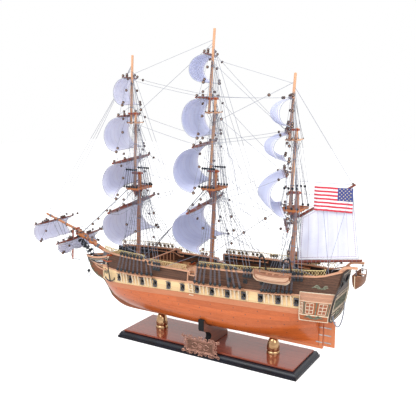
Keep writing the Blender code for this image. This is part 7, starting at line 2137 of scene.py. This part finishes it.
    # braces run aft from each yardarm to the next mast, or to the rail
    leads = {
        "fore_course": ("main", 0.92, 0), "fore_topsail": ("main", 0.80, 0), "fore_topgallant": "main_topsail",
        "fore_royal": "main_topgallant", "main_course": None, "main_topsail": "mizzen_crossjack",
        "main_topgallant": "mizzen_topsail", "main_royal": "mizzen_topgallant", "mizzen_crossjack": ("main", 0.75, 0),
        "mizzen_topsail": "main_course", "mizzen_topgallant": "main_topsail", "mizzen_royal": "main_topgallant",
        "spritsail": ("fore", 0.86, 0), "sprit_topsail": ("fore", 0.92, 0),
    }
    make_bow_tackle()
    for name, lead in leads.items():
        for side in (PORT, STARBOARD):
            arm = yard_point(name, -side * 0.97)
            if isinstance(lead, str):
                end = yard_point(lead, -side * 0.72) + Vector((0, 0, 0.003))
            elif lead:
                end = head(*lead) + Vector((0, side * 0.004, 0))
            else:
                end = Vector((0.275, side * (rail_half(0.275) - 0.001), rail_foot(0.275) + 0.004))
            rope(thin, arm, end, 0.00042, (arm - end).length * 0.010)
            with_block(arm.lerp(end, 0.08) - Vector((0, 0, (arm - end).length * 0.0029)), end - arm, 0.0036)
    # sheets and tacks of the courses, and topsail sheets to the yard below
    below = {"fore_topsail": "fore_course", "fore_topgallant": "fore_topsail", "fore_royal": "fore_topgallant",
             "main_topsail": "main_course", "main_topgallant": "main_topsail", "main_royal": "main_topgallant",
             "mizzen_topsail": "mizzen_crossjack", "mizzen_topgallant": "mizzen_topsail", "mizzen_royal": "mizzen_topgallant"}
    for name, yard in below.items():
        for side in (PORT, STARBOARD):
            share = min(SQUARE_RIG[name][-1][1] / SQUARE_RIG[yard][1] * 0.97, 0.94)
            rope(running, CLEWS[name][side], yard_point(yard, -side * share) + Vector((0, 0, yard_radius(SQUARE_RIG[yard][1]))), 0.0004)
    for name, tack_x, sheet_x in (("fore_course", -0.335, -0.110), ("main_course", -0.105, 0.120)):
        for side in (PORT, STARBOARD):
            clew = CLEWS[name][side]
            for x in (tack_x, sheet_x):
                rope(running, clew, (x, side * (rail_half(x) - 0.001), rail_foot(x) + 0.003), 0.00045)
    # halyards and spare lines from the tops down to the pin rails
    for mast in MAST_X:
        for side in (PORT, STARBOARD):
            for n, (share, step) in enumerate(((0.55, 2), (0.80, 1), (0.60, 1), (0.97, 0), (0.35, 2), (0.90, 1))):
                x = SHROUD_FORE[mast] + SHROUD_SPREAD[mast] * (0.10 + 0.15 * n)
                rope(thin, head(mast, share, step), (x, side * (rail_half(x) - 0.006), rail_foot(x) + 0.002), 0.00042)
            for n, z in enumerate((0.32, 0.5, 0.68)):
                x = SHROUD_FORE[mast] + SHROUD_SPREAD[mast] * (0.2 + 0.3 * n)
                foot_y, foot_z = shroud_foot(mast, x)
                spot = Vector((x, side * foot_y, foot_z)).lerp(shroud_head(mast), z)
                with_block(spot + Vector((0, side * 0.003, 0)), (0.5, -0.85, 0), 0.0038)
    # spanker: peak halyards, vangs, topping lifts and sheet
    for t, share in ((0.35, 0.80), (0.65, 0.90), (0.97, 0.98)):
        rope(running, gaff_axis(t) + Vector((0, 0, GAFF_RADIUS)), mast_axis("mizzen", 0, KEEL_Z + LOWER_HEAD["mizzen"] * share + 0.03), 0.0005)
        with_block(gaff_axis(t) + Vector((0, 0, GAFF_RADIUS + 0.002)), (0, 1, 0), 0.0026)
    rope(thin, head("mizzen", 0.80, 2), gaff_axis(0.98), 0.0005)
    for side in (PORT, STARBOARD):
        rope(running, gaff_axis(0.97), (0.300, side * (rail_half(0.300) - 0.001), rail_foot(0.300) + 0.003), 0.0004)
        rope(running, gaff_axis(0.45), (0.306, side * (rail_half(0.306) - 0.001), rail_foot(0.306) + 0.003), 0.0005)
        rope(running, boom_axis(0.72), (0.308, side * 0.020, rail_foot(0.308) + 0.003), 0.0005)
    with_block(boom_axis(0.72) - Vector((0, 0, BOOM_RADIUS + 0.002)), (0, 1, 0), 0.0028)
    # hoops and lacing that hold the spanker
    for t in np.linspace(0.08, 0.94, 14):
        running.append(ring(gaff_axis(t), gaff_axis(1) - gaff_axis(0), GAFF_RADIUS * (1 - 0.25 * t) + 0.0002, 0.0004, 12, 5))
        running.append(ring(boom_axis(t), boom_axis(1) - boom_axis(0), BOOM_RADIUS * (1 - 0.2 * t) + 0.0002, 0.0004, 12, 5))
    piece("stays_and_backstays", standing, ROPE_DARK)
    piece("lifts_sheets_and_footropes", running, ROPE_GRAY)
    piece("braces_and_halyards", thin, ROPE_GRAY)


def finish_fittings():
    piece("deadeyes", deadeyes, DEADEYE_BLACK, smooth=40)
    piece("deadeye_lanyards", lanyards, ROPE_DARK)
    piece("rigging_blocks", blocks, BLOCK_WOOD, smooth=40)
    piece("block_sheaves", sheaves, SHEAVE_WOOD, smooth=40)


# Camera, light and floor


def make_camera():
    """The photograph's view: 416 x 416, from the port quarter, a little above."""
    view = bpy.data.cameras.new("photo_view")
    view.lens, view.sensor_width = 51.923, 36.0
    camera = bpy.data.objects.new("photo_view", view)
    camera.location = (0.7233, -1.2632, 0.6275)
    camera.rotation_euler = (math.radians(79.66), 0, math.radians(30.5))
    bpy.context.scene.collection.objects.link(camera)
    bpy.context.scene.camera = camera


def make_rudder_rope():
    face = TRANSOM_THICKNESS * TRANSOM_LEAN + PREVENTER_RADIUS
    route = []
    for y, height, stand_off in PREVENTER_ROUTE:
        z = KEEL_Z + height
        route.append((transom_front(z) + face + stand_off, y, z))
    points = curve_points(route, PREVENTER_POINTS)
    curve = bpy.data.curves.new("rudder_preventer_rope", "CURVE")
    curve.dimensions = "3D"
    curve.bevel_depth, curve.bevel_resolution, curve.use_fill_caps = PREVENTER_RADIUS, 3, True
    line = curve.splines.new("POLY")
    line.points.add(len(points) - 1)
    for spot, point in zip(line.points, points):
        spot.co = (*point, 1.0)
    curve.materials.append(ROPE_GRAY)
    made = bpy.data.objects.new("rudder_preventer_rope", curve)
    bpy.context.scene.collection.objects.link(made)
    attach(made, "ship")
    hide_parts("rudder_rope")


def make_stage():
    scene = bpy.context.scene
    scene.view_settings.view_transform = "Standard"
    world = bpy.data.worlds.new("white_studio")
    scene.world = world
    world.use_nodes = True
    tree = world.node_tree
    sky = tree.nodes["Background"]
    sky.inputs["Color"].default_value = srgb("#ffffff")
    seen = add(tree, "LightPath")
    rays = add(tree, "Math", {0: seen.outputs["Is Camera Ray"], 1: seen.outputs["Is Glossy Ray"]}, operation="MAXIMUM")
    rays = add(tree, "Math", {0: rays.outputs[0], 1: seen.outputs["Is Transmission Ray"]}, operation="MAXIMUM")
    level = add(tree, "MapRange", {"Value": rays.outputs[0], "To Min": 0.72, "To Max": 1.0})
    tree.links.new(level.outputs[0], sky.inputs["Strength"])

    mesh = bpy.data.meshes.new("studio_floor")
    size = 6.0
    mesh.from_pydata([(-size, -size, -0.0006), (size, -size, -0.0006), (size, size, -0.0006), (-size, size, -0.0006)], [],
                     [(0, 1, 2, 3)])
    floor = bpy.data.objects.new("studio_floor", mesh)
    scene.collection.objects.link(floor)
    paper = bpy.data.materials.new("matt_white_paper")
    paper.use_nodes = True
    tree = paper.node_tree
    shader = tree.nodes["Principled BSDF"]
    shader.inputs["Base Color"].default_value = srgb("#f0f0f0")
    shader.inputs["Roughness"].default_value = 0.9
    shader.inputs["Emission Color"].default_value = srgb("#ffffff")
    seen = add(tree, "LightPath")
    glow = add(tree, "Math", {0: seen.outputs["Is Camera Ray"], 1: 0.55}, operation="MULTIPLY")
    tree.links.new(glow.outputs[0], shader.inputs["Emission Strength"])
    mesh.materials.append(paper)

    for name, place, size, power in (("key_softbox", (-0.5, -1.9, 1.9), 1.6, 32.0), ("fill_softbox", (1.8, -0.7, 1.2), 1.4, 16.0),
                                     ("top_softbox", (0.2, 0.6, 2.2), 1.8, 12.0)):
        lamp = bpy.data.lights.new(name, "AREA")
        lamp.shape, lamp.size, lamp.energy = "SQUARE", size, power
        light = bpy.data.objects.new(name, lamp)
        light.location = place
        light.rotation_euler = (Vector((0, 0, 0.35)) - Vector(place)).to_track_quat("-Z", "Y").to_euler()
        scene.collection.objects.link(light)


def dress_ship():
    make_camera()
    make_rudder_rope()
    make_base()
    make_cradle()
    make_hull()
    make_keel()
    make_gun_strake()
    make_bulwark()
    make_rails()
    make_transom()
    make_galleries()
    make_rudder_irons()
    make_boats()
    make_head()
    make_anchors()
    make_gun_ports()
    make_nails()
    make_nettings()
    make_gangways()
    make_deck_gear()
    make_nameplate()
    for mast in MAST_X:
        make_mast(mast)
    make_bowsprit()
    make_yards()
    make_sails()
    make_ensign()
    for mast in MAST_X:
        make_shrouds(mast)
    make_channels()
    make_rigging()
    finish_fittings()
    make_stage()


dress_ship()
